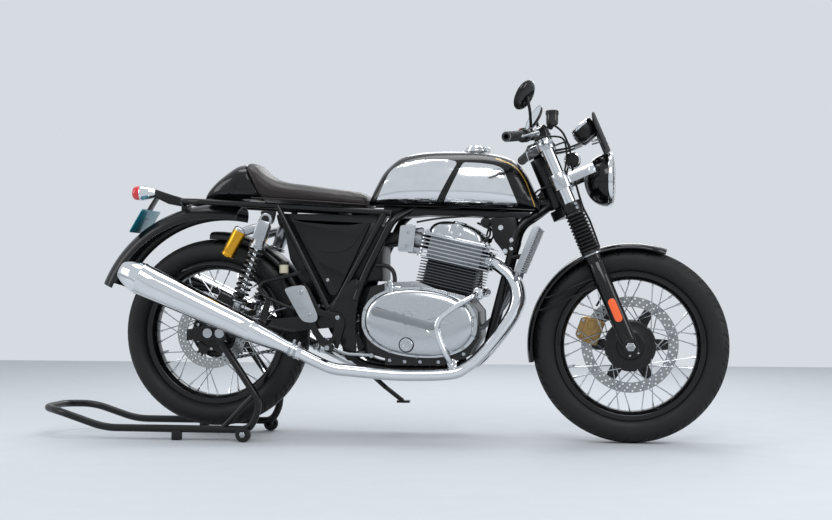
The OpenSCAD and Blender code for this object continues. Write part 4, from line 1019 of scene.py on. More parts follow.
# ---------------------------------------------------------------- wheels
@dataclass
class Wheel:
    """One spoked wheel: tyre, rim, hub, spokes and disc."""

    end: str
    place: Matrix
    tyre_r: float
    tyre_w: float
    disc_y: float
    disc_r: float
    carrier_r: float
    far_r: float
    far_y: float
    bead_r: float = 228.5
    rim_half_w: float = 34.0
    rim_flange: float = 14.0
    spokes: int = 36
    spoke_swing: float = 38.0
    flange_r: float = 84.0
    flange_y: float = 30.0
    barrel_r: float = 40.0
    rim_inner_r: float = 214.0
    around: int = 720
    groove: float = 4.2

    @property
    def body(self) -> str:
        """The CAD body of this wheel."""
        return f"{self.end}_wheel"

    def tyre_profile(self) -> list[tuple[float, float, float]]:
        """Lists the tyre's section as (radius, y, share of tread).

        Returns:
            The points, bead to bead.
        """
        bead_y = self.rim_half_w - 3
        belt = self.bead_r + (self.tyre_r - self.bead_r) * 0.52
        foot = self.bead_r + self.rim_flange + 1
        half = self.tyre_w / 2
        points = [(self.bead_r + 0.3, -bead_y, 0.0), (foot, -bead_y, 0.0)]
        for b in range(80, 5, -8):
            s, c = math.sin(math.radians(b)), math.cos(math.radians(b))
            points.append((belt - (belt - foot) * s, -bead_y - (half - bead_y) * c, 0.0))
        for a in range(180, -1, -4):
            s, c = math.sin(math.radians(a)), math.cos(math.radians(a))
            tread = 1.0 if 21 <= a <= 159 else 0.0
            points.append((belt + (self.tyre_r - belt) * power(s, 0.82), half * power(c, 0.9), tread))
        for b in range(8, 81, 8):
            s, c = math.sin(math.radians(b)), math.cos(math.radians(b))
            points.append((belt - (belt - foot) * s, bead_y + (half - bead_y) * c, 0.0))
        return points + [(foot, bead_y, 0.0), (self.bead_r + 0.3, bead_y, 0.0)]

    def tread_cut(self, step: int, y: float) -> float:
        """Gives the depth of the tread at a place, from 0 at the surface to 1 in a groove.

        Args:
            step: The step round the tyre.
            y: The place across it.

        Returns:
            The depth as a share.
        """
        half = self.tyre_w / 2
        if abs(y) < 1.6 or abs(abs(y) - half * 0.42) < 1.8:
            return 1.0
        slant = step - (abs(y) - 2) * 0.34 + (9 if y > 0 else 0)
        wide = slant % 18
        if abs(y) > half * 0.12 and wide < 2.2 and abs(y) < half * 0.9:
            return 1.0
        return 0.75 if half * 0.5 < abs(y) < half * 0.82 and 9 < wide < 10.6 else 0.0

    def build_tyre(self) -> None:
        """Builds the tyre with its cut tread and moulded sidewall rings."""
        profile = self.tyre_profile()
        verts: list[Point] = []
        for i in range(self.around):
            a = 2 * math.pi * i / self.around
            for r, y, tread in profile:
                rise = -self.groove * self.tread_cut(i, y) if tread else 0.0
                if not tread and 0.36 < (r - self.bead_r) / (self.tyre_r - self.bead_r) < 0.41:
                    rise = -0.8
                verts.append(((r + rise) * math.cos(a), y, (r + rise) * math.sin(a)))
        n = len(profile)
        faces = []
        for i in range(self.around):
            j = (i + 1) % self.around
            faces += [(i * n + k, i * n + (k + 1) % n, j * n + (k + 1) % n, j * n + k) for k in range(n)]
        Shape(self.place).add(verts, faces, TYRE_RUBBER).piece(
            f"{self.end}_tyre_tread", self.body, [f"{self.end}_tyre"], sharp=38)

    def build_rim(self) -> None:
        """Builds the rim, its valve, the hub and the spokes."""
        b, w, f, r0 = self.bead_r, self.rim_half_w, self.rim_flange, self.rim_inner_r
        half = [(r0, 6), (r0 + 0.4, 12), (r0 + 1.4, 18), (r0 + 4, 24), (r0 + 7, w - 6), (b - 4, w + 1.5),
                (b - 1, w + 3.6),
                (b + f - 4, w + 4.3), (b + f, w + 4.5), (b + f + 1, w + 3.6), (b + f + 1, w + 2.5),
                (b + f - 1, w), (b + 1, w - 0.6), (b, w - 1), (b, 22), (b - 9, 16)]
        outline = half + [(r, -y) for r, y in reversed(half)]
        Shape(self.place).lathe(outline, GLOSS_BLACK, AXLE, 160, closed=True).piece(
            f"{self.end}_rim_hoop", self.body, [f"{self.end}_rim"], sharp=36)
        hub = Shape(self.place)
        fr, fy, br = self.flange_r, self.flange_y, self.barrel_r
        hub.lathe([(10.1, -self.far_y), (self.far_r * 0.55, -self.far_y), (self.far_r - 3, -self.far_y),
                   (self.far_r, -self.far_y + 3), (self.far_r, -fy - 7.5), (self.far_r + 3, -fy - 5.5),
                   (fr - 6, -fy - 4.5), (fr - 1.5, -fy - 4), (fr, -fy - 2.5), (fr, -fy + 2.5),
                   (fr - 1.5, -fy + 4),
                   (fr - 10, -fy + 4.6), (br + 12, -fy + 6), (br + 3, -fy + 10), (br, -fy + 16),
                   (br, fy - 16),
                   (br + 3, fy - 10), (br + 12, fy - 6), (fr - 10, fy - 4.6), (fr - 1.5, fy - 4),
                   (fr, fy - 2.5),
                   (fr, fy + 2.5), (fr - 1.5, fy + 4), (fr - 6, fy + 4.5), (self.carrier_r + 3, fy + 5.5),
                   (self.carrier_r, fy + 7.5), (self.carrier_r, abs(self.disc_y) - 2.8),
                   (10.1, abs(self.disc_y) - 2.8)],
                  POWDER_BLACK, AXLE, 96, closed=True)
        for side in (-1, 1):
            reach = self.far_y if side < 0 else abs(self.disc_y) - 2.8
            inner = 22 if side < 0 else 18
            for x, z in ring_of(10, 1.0):
                angle = math.degrees(math.atan2(z, x))
                width = (self.far_r if side < 0 else self.carrier_r) - 4
                hub.block((inner, -2.2, 0), (width, 2.2, 2.2), POWDER_BLACK, 0.9,
                          turn(-angle, "Y") @ shift(0, side * (reach - 2.4), 0) @ turn(-90 * side, "X"))
        hub.piece(f"{self.end}_hub_shell", self.body, [f"{self.end}_hub"], sharp=40)
        ring = Shape(self.place)
        ring.lathe([(fr - 14, -fy - 4.4), (fr - 5, -fy - 4.4), (fr - 5, -fy - 5.6), (fr - 14, -fy - 5.9)],
                   POWDER_BLACK, AXLE, 96,
                   closed=True)
        ring.lathe([(11, -self.far_y - 0.3), (19, -self.far_y - 0.3), (19, -self.far_y + 2),
                    (11, -self.far_y + 2)], BRIGHT_STEEL,
                   AXLE, 48, closed=True)
        valve = turn(-200, "Y") @ shift(r0 - 24, 0, 0) @ turn(90, "Y")
        ring.lathe([(0, 0), (2.6, 0.4), (2.6, 7), (3.8, 8), (3.8, 24), (0, 24)], BRIGHT_STEEL, valve, 16)
        ring.piece(f"{self.end}_hub_trim", self.body, slot=f"{self.end}_hub")
        spokes, nipples = Row(self.place), Row(self.place)
        for k in range(self.spokes):
            side = 1 if k % 2 == 0 else -1
            lean = 1 if (k // 2) % 2 == 0 else -1
            a = 2 * math.pi * k / self.spokes
            c = a + lean * math.radians(self.spoke_swing)
            foot = Vector(((fr - 5) * math.cos(c), side * (fy + lean * 3.4), (fr - 5) * math.sin(c)))
            tip = Vector(((r0 - 0.6) * math.cos(a), side * 5, (r0 - 0.6) * math.sin(a)))
            way = (tip - foot).normalized()
            spokes.at(foot, way, stretch=(1, 1, (tip - foot).length * MM))
            nipples.at(tip - way * 15, way, stretch=(1.9, 1.9, 15 * MM))
        spokes.grow(f"{self.end}_spokes", self.body, Repeated.SPOKE, BRIGHT_STEEL,
                    replaces=[f"{self.end}_hub"])
        nipples.grow(f"{self.end}_spoke_nipples", self.body, Repeated.SPOKE, CHROME,
                     replaces=[f"{self.end}_hub"])

    def build_disc(self) -> None:
        """Builds the brake disc with its drilled band, carrier and bolts."""
        holes = Row(Matrix.Identity(4))
        inner = self.disc_r - 34
        for k in range(36):
            for row in range(3):
                a = math.radians(10 * k + 3.4 * row)
                r = inner + 7 + row * 10.5
                holes.at((r * math.cos(a), r * math.sin(a), 0))
        holes.grow(f"{self.end}_disc_band", self.body, Repeated.DRILLED_DISC, DISC_STEEL,
                   {"Outer": self.disc_r, "Inner": inner, "Hole": 3.2, "Thickness": 5.0},
                   after=self.place @ shift(0, self.disc_y, 0) @ AXLE, replaces=[f"{self.end}_disc"])
        carrier = Shape(self.place)
        arms = 6
        outline: list[Flat] = []
        for k in range(arms):
            for da, r in ((-20, self.carrier_r * 0.98), (-9, inner - 12), (-7, inner + 3), (7, inner + 3),
                          (9, inner - 12), (20, self.carrier_r * 0.98)):
                a = math.radians(k * 360 / arms + da)
                outline.append((r * math.cos(a), r * math.sin(a)))
        carrier.plate(outline, self.disc_y - 2.2, self.disc_y + 2.2, POWDER_BLACK,
                      [ring_of(48, self.carrier_r - 14)], 0.6)
        carrier.piece(f"{self.end}_disc_carrier", self.body, slot=f"{self.end}_disc")
        out = 1 if self.disc_y > 0 else -1
        bolts = Row(self.place)
        for x, z in ring_of(arms, self.carrier_r - 8, 30):
            bolts.at((x, self.disc_y + out * 2.2, z), (0, out, 0))
        for x, z in ring_of(arms, inner - 2):
            bolts.at((x, self.disc_y + out * 2.2, z), (0, out, 0), stretch=(1.1, 1.1, 0.25))
        bolts.grow(f"{self.end}_disc_bolts", self.body, Repeated.SOCKET_HEAD, BRIGHT_STEEL,
                   {"Radius": 5.0, "Height": 4.6})

    def build(self) -> None:
        """Builds the whole wheel."""
        self.build_tyre()
        self.build_rim()
        self.build_disc()


@dataclass
class Sprocket:
    """The rear sprocket and the chain that drives it."""

    place: Matrix = PLACES.rear
    y: float = 76.0
    radius: float = 98.0
    root_r: float = 93.0
    tip_r: float = 104.0
    teeth: int = 38
    inner_r: float = 48.0
    front_at: Flat = (75.0, -2.0)
    front_r: float = 38.0
    pitch: float = 15.875

    def build(self) -> None:
        """Builds the toothed ring, then the links round both sprockets."""
        outline: list[Flat] = []
        for k in range(self.teeth):
            for share, r in ((0.0, self.root_r), (0.2, self.root_r + 0.6), (0.36, self.tip_r - 2.4),
                             (0.46, self.tip_r - 1), (0.54, self.tip_r - 1),
                             (0.64, self.tip_r - 2.4), (0.8, self.root_r + 0.6)):
                a = 2 * math.pi * (k + share) / self.teeth
                outline.append((r * math.cos(a), r * math.sin(a)))
        windows = [[(x * math.cos(t) - z * math.sin(t), x * math.sin(t) + z * math.cos(t)) for x, z in
                    [(74 + 9 * math.cos(u), 13 * math.sin(u))
                     for u in (2 * math.pi * i / 20 for i in range(20))]]
                   for t in (2 * math.pi * k / 6 for k in range(6))]
        ring = Shape(self.place)
        ring.plate(outline, self.y - 2.4, self.y + 2.4, OILED_STEEL, [ring_of(48, self.inner_r), *windows],
                   0.5)
        ring.piece("rear_sprocket_ring", "rear_wheel", ["rear_sprocket"])
        bolts = Row(self.place)
        for x, z in ring_of(6, 56, 30):
            bolts.at((x, self.y + 2.4, z), (0, 1, 0))
        bolts.grow("rear_sprocket_bolts", "rear_wheel", Repeated.HEX_HEAD, BRIGHT_STEEL,
                   {"Radius": 6.5, "Height": 4.5})
        self.build_chain()

    def build_chain(self) -> None:
        """Lays the chain's links along the belt line round both sprockets."""
        rear = PLACES.pivot.inverted() @ PLACES.rear @ Vector((0, 0, 0))
        back = Vector((rear.x, rear.z))
        front = Vector(self.front_at)
        run = back - front
        aim = math.atan2(run.y, run.x)
        opening = math.acos((self.radius - self.front_r) / run.length)
        line: list[Vector] = []
        for centre, radius, start, half in ((back, self.radius, aim, math.pi - opening),
                                            (front, self.front_r, aim + math.pi, opening)):
            steps = 60
            for k in range(-steps, steps + 1):
                a = start + k / steps * half
                line.append(centre + radius * Vector((math.cos(a), math.sin(a))))
        line.append(line[0])
        total = sum((b - a).length for a, b in zip(line, line[1:]))
        count = 2 * round(total / self.pitch / 2)
        pitch = total / count
        points: list[Vector] = []
        walked, target = 0.0, 0.0
        for a, b in zip(line, line[1:]):
            span = (b - a).length
            while target <= walked + span and len(points) < count:
                points.append(a + (b - a) * ((target - walked) / max(span, 1e-6)))
                target += pitch
            walked += span
        inner, outer, rollers = Row(PLACES.pivot), Row(PLACES.pivot), Row(PLACES.pivot)
        for k, p in enumerate(points):
            q = points[(k + 1) % count]
            middle, way = (p + q) / 2, (q - p).normalized()
            row, gap, thick = (inner, 3.0, 1.7) if k % 2 else (outer, 4.9, 1.7)
            for side in (-1, 1):
                low = self.y + (gap if side > 0 else -gap - thick)
                row.at((middle.x, low, middle.y), (0, 1, 0), (way.x, 0, way.y))
            rollers.at((p.x, self.y, p.y), (0, 1, 0))
        sizes = {"Pitch": self.pitch, "Depth": 12.6, "Thickness": 1.7}
        inner.grow("chain_inner_links", "chassis", Repeated.LINK_PLATE, OILED_STEEL, sizes,
                   replaces=["drive_chain"])
        outer.grow("chain_outer_links", "chassis", Repeated.LINK_PLATE, OILED_STEEL,
                   dict(sizes, Depth=12.0), replaces=["drive_chain"])
        rollers.grow("chain_rollers", "chassis", Repeated.ROLLER, BRIGHT_STEEL,
                     {"Radius": 4.2, "Height": 13.8}, replaces=["drive_chain"])


# ---------------------------------------------------------------- front end
@dataclass
class Fork:
    """The telescopic fork: yokes, tubes, gaiters, sliders, axle, fender and caliper."""

    place: Matrix = PLACES.fork
    y: float = 97.0
    tube_r: float = 20.5
    tube_foot: float = 70.0
    tube_top: float = 765.0
    slider_r: float = 27.0
    slider_len: float = 330.0
    gaiter_top: float = 469.7
    ribs: int = 11
    offset: float = 39.3
    fender_r: float = 337.5
    fender_half_w: float = 59.0
    fender_from: float = 69.0
    fender_to: float = 190.0

    def build_legs(self) -> None:
        """Builds tubes, gaiters and sliders of both legs."""
        t, s, leg = self.tube_r, self.slider_r, shift(0, self.y, 0)
        tubes = Shape(self.place)
        tubes.lathe([(0, self.tube_foot), (t, self.tube_foot), (t, self.tube_top - 1),
                     (t - 1, self.tube_top),
                     (t - 4, self.tube_top), (t - 4, self.tube_top + 4.4), (t - 5, self.tube_top + 5),
                     (8, self.tube_top + 5),
                     (8, self.tube_top + 2), (0, self.tube_top + 2)], CHROME, leg, 64)
        tubes.mirrored().piece("fork_tube_pair", "steering", ["fork_tubes"])
        gaiters = Shape(self.place)
        pitch = (self.gaiter_top - self.slider_len - 8) / self.ribs
        outline: list[Flat] = [(t + 0.3, self.slider_len + 0.3), (s + 0.3, self.slider_len + 0.3),
                               (s + 0.3, self.slider_len - 14),
                               (s + 3.4, self.slider_len - 14), (s + 4, self.slider_len - 13),
                               (s + 4, self.slider_len + 3), (s + 3, self.slider_len + 4)]
        for i in range(self.ribs):
            z = self.slider_len + 5 + i * pitch
            outline += [(s - 1 + 7 * (0.5 - 0.5 * math.cos(2 * math.pi * u)) ** 0.7, z + u * pitch)
                        for u in (0.0, 0.14, 0.28, 0.42, 0.5, 0.58, 0.72, 0.86)]
        outline += [(s - 1, self.gaiter_top - 4), (s + 1, self.gaiter_top - 3), (s + 1, self.gaiter_top),
                    (t + 0.3, self.gaiter_top)]
        gaiters.lathe(outline, SOFT_RUBBER, leg, 56, closed=True)
        gaiters.mirrored().piece("fork_gaiter_pair", "steering", ["fork_gaiters"], sharp=60)
        sliders = Shape(self.place)
        sliders.lathe([(0, 8), (s - 6, 8), (s - 2, 14), (s, 22), (s, self.slider_len - 40),
                       (s - 0.6, self.slider_len - 39),
                       (s - 0.6, self.slider_len - 36), (s, self.slider_len - 35), (s, self.slider_len - 1),
                       (s - 1, self.slider_len), (t + 0.4, self.slider_len),
                       (t + 0.4, self.slider_len - 8)], GLOSS_BLACK, leg, 64)
        sliders.lathe([(10.2, -28.5), (23, -28.5), (25, -26.5), (25, 26.5), (23, 28.5), (10.2, 28.5)],
                      GLOSS_BLACK, leg @ AXLE, 48,
                      closed=True)
        sliders.lathe([(0, 0), (7, 0), (8, 1), (8, 11), (0, 11)], GLOSS_BLACK,
                      leg @ shift(14, 0, -22) @ turn(8, "Y"), 24)
        sliders.mirrored().piece("fork_slider_pair", "steering", ["fork_sliders"])
        self.build_reflectors()
        seals = Shape(self.place)
        seals.lathe([(s + 4.1, self.slider_len - 11), (s + 5, self.slider_len - 11),
                     (s + 5, self.slider_len - 7), (s + 4.1, self.slider_len - 7)],
                    BRIGHT_STEEL, leg, 48, closed=True)
        seals.lathe([(s + 1.1, self.gaiter_top - 9), (s + 2.4, self.gaiter_top - 9),
                     (s + 2.4, self.gaiter_top - 5), (s + 1.1, self.gaiter_top - 5)],
                    BRIGHT_STEEL, leg, 48, closed=True)
        seals.mirrored().piece("gaiter_bands", "steering", slot="fork_gaiters")

    def build_reflectors(self) -> None:
        """Builds the long reflector on the outer side of each slider."""
        lens, rim = Shape(self.place), Shape(self.place)
        for shape, half_w, half_h, low, high, finish in ((rim, 15.0, 42.0, 20.0, 29.6, SATIN_PLASTIC),
                (lens, 12.6, 39.6, 27.0, 31.6, ORANGE_ACRYLIC_PAINTED_GLOW)):
            line = [(half_w * math.cos(a), 127 + (half_h - half_w) * (1 if math.sin(a) >= 0
                    else -1) + half_w * math.sin(a))
                    for a in (2 * math.pi * (k + 0.5) / 40 for k in range(40))]
            shape.plate(line, self.y + low, self.y + high, finish, edge=1.2)
        rim.mirrored().piece("reflector_frames", "steering", slot="fork_sliders")
        lens.mirrored().piece("reflector_lenses", "steering", slot="tail_lamp")

    def build_axle(self) -> None:
        """Builds the spindle, its nuts and pinch bolts."""
        axle = Shape(PLACES.front)
        half = self.y + 28.5
        axle.lathe([(6.5, -half - 4), (9.2, -half - 4), (10, -half - 3.2), (10, half + 3.2),
                    (9.2, half + 4), (6.5, half + 4)],
                   BRIGHT_STEEL, AXLE, 48, closed=True)
        for side in (-1, 1):
            axle.lathe([(10, 0.3), (13.6, 0.3), (15, 1), (15, 3.6), (14, 4.2), (10, 4.2)], BRIGHT_STEEL,
                       shift(0, side * half, 0) @ (AXLE if side > 0 else turn(90, "X")), 6 if side < 0
                       else 32, closed=True)
        axle.piece("front_spindle", "steering", ["front_axle"])
        bolts = Row(self.place)
        for x, z in ((14, -26), (-14, -24)):
            bolts.at((x, self.y - 8, z), (0, 0, -1), stretch=(0.8, 0.8, 0.8))
            bolts.at((x, self.y + 8, z), (0, 0, -1), stretch=(0.8, 0.8, 0.8))
        bolts.mirrored().grow("axle_pinch_bolts", "steering", Repeated.SOCKET_HEAD, BRIGHT_STEEL)

    def build_yokes(self) -> None:
        """Builds both yokes with their pinch bolts and the stem nut."""
        refine("lower_yoke", POWDER_BLACK, 1.2)
        refine("upper_yoke", POLISHED_ALLOY, 1.6)
        nut = Shape(self.place)
        nut.lathe([(15.2, 716.3), (22, 716.3), (22, 718), (20, 719), (20, 727), (18.6, 728.4), (10, 728.4),
                   (9, 727), (0, 727)], CHROME,
                  shift(-self.offset, 0, 0), 6)
        nut.piece("stem_nut", "steering", slot="upper_yoke")
        bolts = Row(self.place)
        for z in (478, 492, 703):
            bolts.at((-12, self.y - 33, z), (-1, -0.25, 0)).at((14, self.y + 31, z), (0.4, 1, 0))
        bolts.mirrored().grow("yoke_bolts", "steering", Repeated.SOCKET_HEAD, BRIGHT_STEEL,
                              {"Radius": 5.2, "Height": 5})

    def build_fender(self) -> None:
        """Builds the mudguard as a rolled steel arch with a beaded edge."""
        section: list[Flat] = []
        w, t, drop = self.fender_half_w, 2.2, 20.0
        for a in range(0, 181, 6):
            s, c = math.sin(math.radians(a)), math.cos(math.radians(a))
            section.append((self.fender_r - drop + drop * power(s, 0.8), w * power(c, 0.85)))
        inner = [(r - t if abs(y) < w - 6 else r, y * (1 - t / w)) for r, y in reversed(section)]
        loop = section + inner
        n = len(loop)
        rings = 90
        verts: list[Point] = []
        for k in range(rings + 1):
            share = k / rings
            a = math.radians(self.fender_from + (self.fender_to - self.fender_from) * share)
            end = min(share, 1 - share) * rings
            pinch = 1 - 0.32 * max(0.0, 1 - end / 7) ** 2
            for r, y in loop:
                verts.append((r * math.cos(a), y * pinch, r * math.sin(a)))
        Shape(PLACES.front).add(verts, rings_faces(rings + 1, n), GLOSS_BLACK).piece(
            "front_mudguard", "steering", ["front_fender"], sharp=50)
        stays = Shape(self.place)
        stays.plate(rounded([(-14, 268), (14, 268), (12, 328), (-12, 328)], 6, closed=True),
                    self.fender_half_w - 1, self.fender_half_w + 2.2, POWDER_BLACK, edge=0.6)
        for z in (268, 300):
            stays.block((-13, self.fender_half_w - 1, z), (13, self.y - self.slider_r + 0.5, z + 6),
                        POWDER_BLACK, 1.4)
        stays.mirrored().piece("fender_stays", "steering", slot="front_fender")
        brace = Shape(PLACES.front)
        for foot in (150, 158):
            reach = self.fender_r - 14
            top = (reach * math.cos(math.radians(foot)), w - 1.6, reach * math.sin(math.radians(foot)))
            brace.tube(rounded([top, (top[0] + 10, w + 3, top[2] - 6),
                                (-104 + (foot - 150) * 2, self.y - self.slider_r - 3,
                                 225 - (foot - 150) * 3)], 12, 4),
                       3.2, POWDER_BLACK, 12)
        brace.mirrored().piece("fender_braces", "steering", slot="front_fender")
        rivets = Row(PLACES.front)
        for a in (112, 116):
            r = self.fender_r - 13
            rivets.at((r * math.cos(math.radians(a)), w + 1.6, r * math.sin(math.radians(a))), (0, 1, 0),
                      stretch=(0.9, 0.9, 0.6))
        rivets.mirrored().grow("fender_bolts", "steering", Repeated.HEX_HEAD, BRIGHT_STEEL,
                               {"Radius": 4.6, "Height": 4})

    def build_caliper(self) -> None:
        """Builds the two-piston caliper over the front disc."""
        place = PLACES.front
        swing = turn(-160, "Y")
        caliper = Shape(place)
        body = rounded([(100, 0, -42), (120, 0, -44), (168, 0, -40), (181, 0, -30), (181, 0, 30),
                        (168, 0, 40), (120, 0, 44), (100, 0, 42)], 12, 4, True)
        line = [(p.x, p.z) for p in body]
        caliper.plate(line, 66, 79.5, BRONZE_PAINT, edge=3.0, move=swing)
        caliper.plate(line, 36.5, 50, BRONZE_PAINT, edge=3.0, move=swing)
        caliper.block((167, 48, -30), (181, 68, 30), BRONZE_PAINT, 3, swing)
        for z in (-19, 19):
            caliper.lathe([(0, 79), (15, 79), (15, 81.4), (13.5, 82), (0, 82)], BRONZE_PAINT,
                          swing @ shift(140, 0, z) @ AXLE, 32)
            caliper.lathe([(0, 34), (14, 34), (15.4, 35.4), (15.4, 37), (0, 37)], BRONZE_PAINT,
                          swing @ shift(140, 0, z) @ AXLE, 32)
        for x in (114, 130, 146, 162):
            caliper.block((x, 33.4, -36), (x + 5, 37.4, 36), BRONZE_PAINT, 1.4, swing)
            caliper.block((x, 78.6, -36), (x + 5, 82.4, 36), BRONZE_PAINT, 1.4, swing)
        caliper.block((118, 62.4, -32), (160, 66.5, 32), SOFT_RUBBER, 0.8, swing)
        caliper.block((118, 49.5, -32), (160, 53.6, 32), SOFT_RUBBER, 0.8, swing)
        caliper.piece("front_caliper_body", "steering", ["front_caliper"], slot="front_caliper")
        carrier = Shape(self.place)
        carrier.plate(rounded([(-66, 98), (-24, 100), (-24, 152), (-66, 150)], 8, closed=True), 66.5, 79,
                      POWDER_BLACK, edge=1.4)
        carrier.piece("caliper_carrier", "steering", slot="fork_sliders")
        bolts = Row(place)
        for x, z in ((118, -33), (118, 33), (172, -24), (172, 24)):
            p = swing @ Vector((x, 79.3, z))
            bolts.at(p, (0, 1, 0))
            bolts.at((p.x, 36.7, p.z), (0, -1, 0))
        bolts.grow("caliper_bolts", "steering", Repeated.SOCKET_HEAD, BRIGHT_STEEL,
                   {"Radius": 5.0, "Height": 4})

    def build(self) -> None:
        """Builds the whole fork."""
        self.build_legs()
        self.build_axle()
        self.build_yokes()
        self.build_fender()
        self.build_caliper()


@dataclass
class Cockpit:
    """Headlamp, instruments, fly screen, handlebars, grips and mirrors."""

    place: Matrix = PLACES.fork
    lamp: Point = (153.0, 0.0, 526.0)
    lamp_r: float = 90.0
    lamp_depth: float = 88.0
    pod: Point = (129.0, 44.0, 729.0)
    pod_r: float = 39.0
    pod_tilt: float = 18.0
    screen_x: float = 190.0
    screen_foot: float = 618.0
    screen_h: float = 137.0
    screen_half_w: float = 95.0
    screen_curve: float = 260.0
    fork_y: float = 97.0
    bar_z: float = 745.0
    bar_len: float = 293.03
    bar_r: float = 11.0
    bar_end_r: float = 7.0
    grip_len: float = 128.0
    grip_r: float = 16.5
    sweep: float = 20.0
    mirror_r: float = 50.0

    @property
    def lamp_frame(self) -> Matrix:
        """The lamp's own frame, with local Z along its forward axis."""
        return shift(*self.lamp) @ turn(PLACES.head_angle, "Y") @ turn(90, "Y")

    def build_lamp(self) -> None:
        """Builds the lamp shell, rim, reflector, bulb and fluted lens, with the brackets that hold it."""
        r, depth, frame_ = self.lamp_r, self.lamp_depth, self.lamp_frame
        shell = Shape(self.place)
        bowl = [(r * 0.965 * math.sin(math.radians(a)), -14 - (depth - 14) * math.cos(math.radians(a)))
                for a in range(0, 91, 5)]
        shell.lathe(bowl + [(r * 0.965, -8), (r * 0.93, -8), (r * 0.9, -12)] +
                    [(p * 0.93, z + 4) for p, z in reversed(bowl[:-3])], GLOSS_BLACK, frame_, 96)
        shell.piece("lamp_shell", "steering", ["headlamp"])
        rim = Shape(self.place)
        rim.lathe([(r * 0.966, -9), (r - 1.6, -8.4), (r - 0.2, -6), (r, -3), (r, 1.5), (r - 1.5, 4.6),
                   (r - 4.5, 6), (r - 7, 5.4), (r - 8, 3),
                   (r - 7, 0), (r - 5, -6)], CHROME, frame_, 96, closed=True)
        rim.piece("lamp_rim", "steering", slot="headlamp")
        mirror = Shape(self.place)
        dish = [(2 + (r - 10) * (k / 14), -46 + 46 * (k / 14) ** 2) for k in range(15)]
        mirror.lathe([(0, -46), *dish, (r - 7, 0.4), (r - 9, -3)] + [(max(p - 1.5, 0), z - 2) for p,
                z in reversed(dish)] + [(0, -48)], CHROME, frame_, 72)
        mirror.lathe([(0, -46), (7, -46), (7, -30), (4, -22), (0, -20)], LENS_GLASS, frame_, 24)
        mirror.piece("lamp_reflector", "steering", slot="headlamp")
        glass = Shape(self.place)
        face = [((r - 8) * math.sin(math.radians(a)), 5 + 10.6 * math.cos(math.radians(a)))
                for a in range(0, 91, 6)]
        verts: list[Vector] = []
        steps = 120
        for k in range(steps):
            a = 2 * math.pi * k / steps
            for i, (p, z) in enumerate(face):
                ridge = 0.5 * math.cos(a * 30) if 3 < i < len(face) - 2 else 0
                verts.append(Vector((p * math.cos(a), p * math.sin(a), z + ridge)))
            for p, z in reversed(face):
                verts.append(Vector((p * math.cos(a), p * math.sin(a), z - 3)))
        n = 2 * len(face)
        mesh = bmesh.new()
        vs = [mesh.verts.new(v) for v in verts]
        for k in range(steps):
            j = (k + 1) % steps
            for i in range(n):
                m = (i + 1) % n
                mesh.faces.new((vs[k * n + i], vs[j * n + i], vs[j * n + m], vs[k * n + m]))
        bmesh.ops.remove_doubles(mesh, verts=mesh.verts[:], dist=0.01)
        glass.add_mesh(mesh, LENS_GLASS, frame_)
        glass.piece("lamp_lens", "steering", slot="headlamp", sharp=60)
        refine("lamp_brackets", POLISHED_ALLOY, 1.4)
        bolts = Row(self.place)
        centre = shift(*self.lamp) @ turn(PLACES.head_angle, "Y") @ Vector((-62, 0, 27))
        bolts.at((centre.x, 100.5, centre.z), (0, 1, 0), stretch=(1.4, 1.4, 1.2))
        bolts.mirrored().grow("lamp_bolts", "steering", Repeated.HEX_HEAD, CHROME,
                              {"Radius": 7, "Height": 5})
        stalks = Shape(self.place)
        stalks.rod((centre.x, 74, centre.z), (centre.x, 92.4, centre.z), 9, CHROME, 24)
        stalks.mirrored().piece("lamp_stalks", "steering", slot="headlamp")

    def build_pods(self) -> None:
        """Builds the speedometer and rev counter with numberless dials, needles and glass."""
        x, y, z = self.pod
        r = self.pod_r
        cups, bezels, faces, glass = (Shape(self.place) for _ in range(4))
        ticks = Row(self.place)
        for side in (-1, 1):
            pod = shift(x, side * y, z) @ turn(-self.pod_tilt, "Y")
            cups.lathe([(0, -53.5), (r - 13, -53.5), (r - 11, -51), (r - 3.4, -43), (r - 0.4, -31),
                        (r - 0.4, -6), (r - 3, -5), (r - 4, -9), (0, -9)], SATIN_PLASTIC, pod, 72)
            bezels.lathe([(r - 0.4, -11), (r, -10), (r, -2), (r - 1.4, -0.3), (r - 4, 0), (r - 5.6, -1.4),
                          (r - 6, -4), (r - 3, -6)], CHROME, pod, 72, closed=True)
            faces.lathe([(0, -7.4), (r - 4.2, -7.4), (r - 4.2, -8.6), (0, -8.6)], DIAL_WHITE, pod, 60)
            faces.lathe([(0, -4.6), (3.6, -4.8), (4, -6), (4, -7.2), (0, -7.2)], DIAL_BLACK, pod, 24)
            needle = turn(205 if side < 0 else 215, "Z")
            faces.block((-6, -0.8, -6), (r - 9, 0.8, -5.2), RED_PLASTIC, 0.3, pod @ needle)
            faces.lathe([(r - 17, -7.1), (r - 15.6, -7.1), (r - 15.6, -7.4), (r - 17, -7.4)], DIAL_BLACK,
                        pod, 48, closed=True)
            for k in range(41):
                a = math.radians(-135 + 270 * k / 40)
                long = 6.0 if k % 5 == 0 else 3.4
                way = Vector((-math.cos(a), -math.sin(a), 0))
                foot = pod @ (way * (r - 6.4 - long) + Vector((0, 0, -7.2)))
                aim = pod.to_3x3() @ way
                ticks.at(foot, aim, pod.to_3x3() @ Vector((0, 0, 1)), (0.3, 0.5, long * MM))
            glass.lathe([(0, -1.2), (r - 14, -1.6), (r - 5.4, -2.6), (r - 5.4, -3.8), (r - 14, -2.8),
                         (0, -2.4)], LENS_GLASS, pod, 60)
        cups.piece("instrument_cups", "steering", ["instrument_pods"])
        bezels.piece("instrument_bezels", "steering", slot="instrument_pods")
        faces.piece("instrument_dials", "steering", slot="instrument_pods")
        glass.piece("instrument_glass", "steering", slot="instrument_pods")
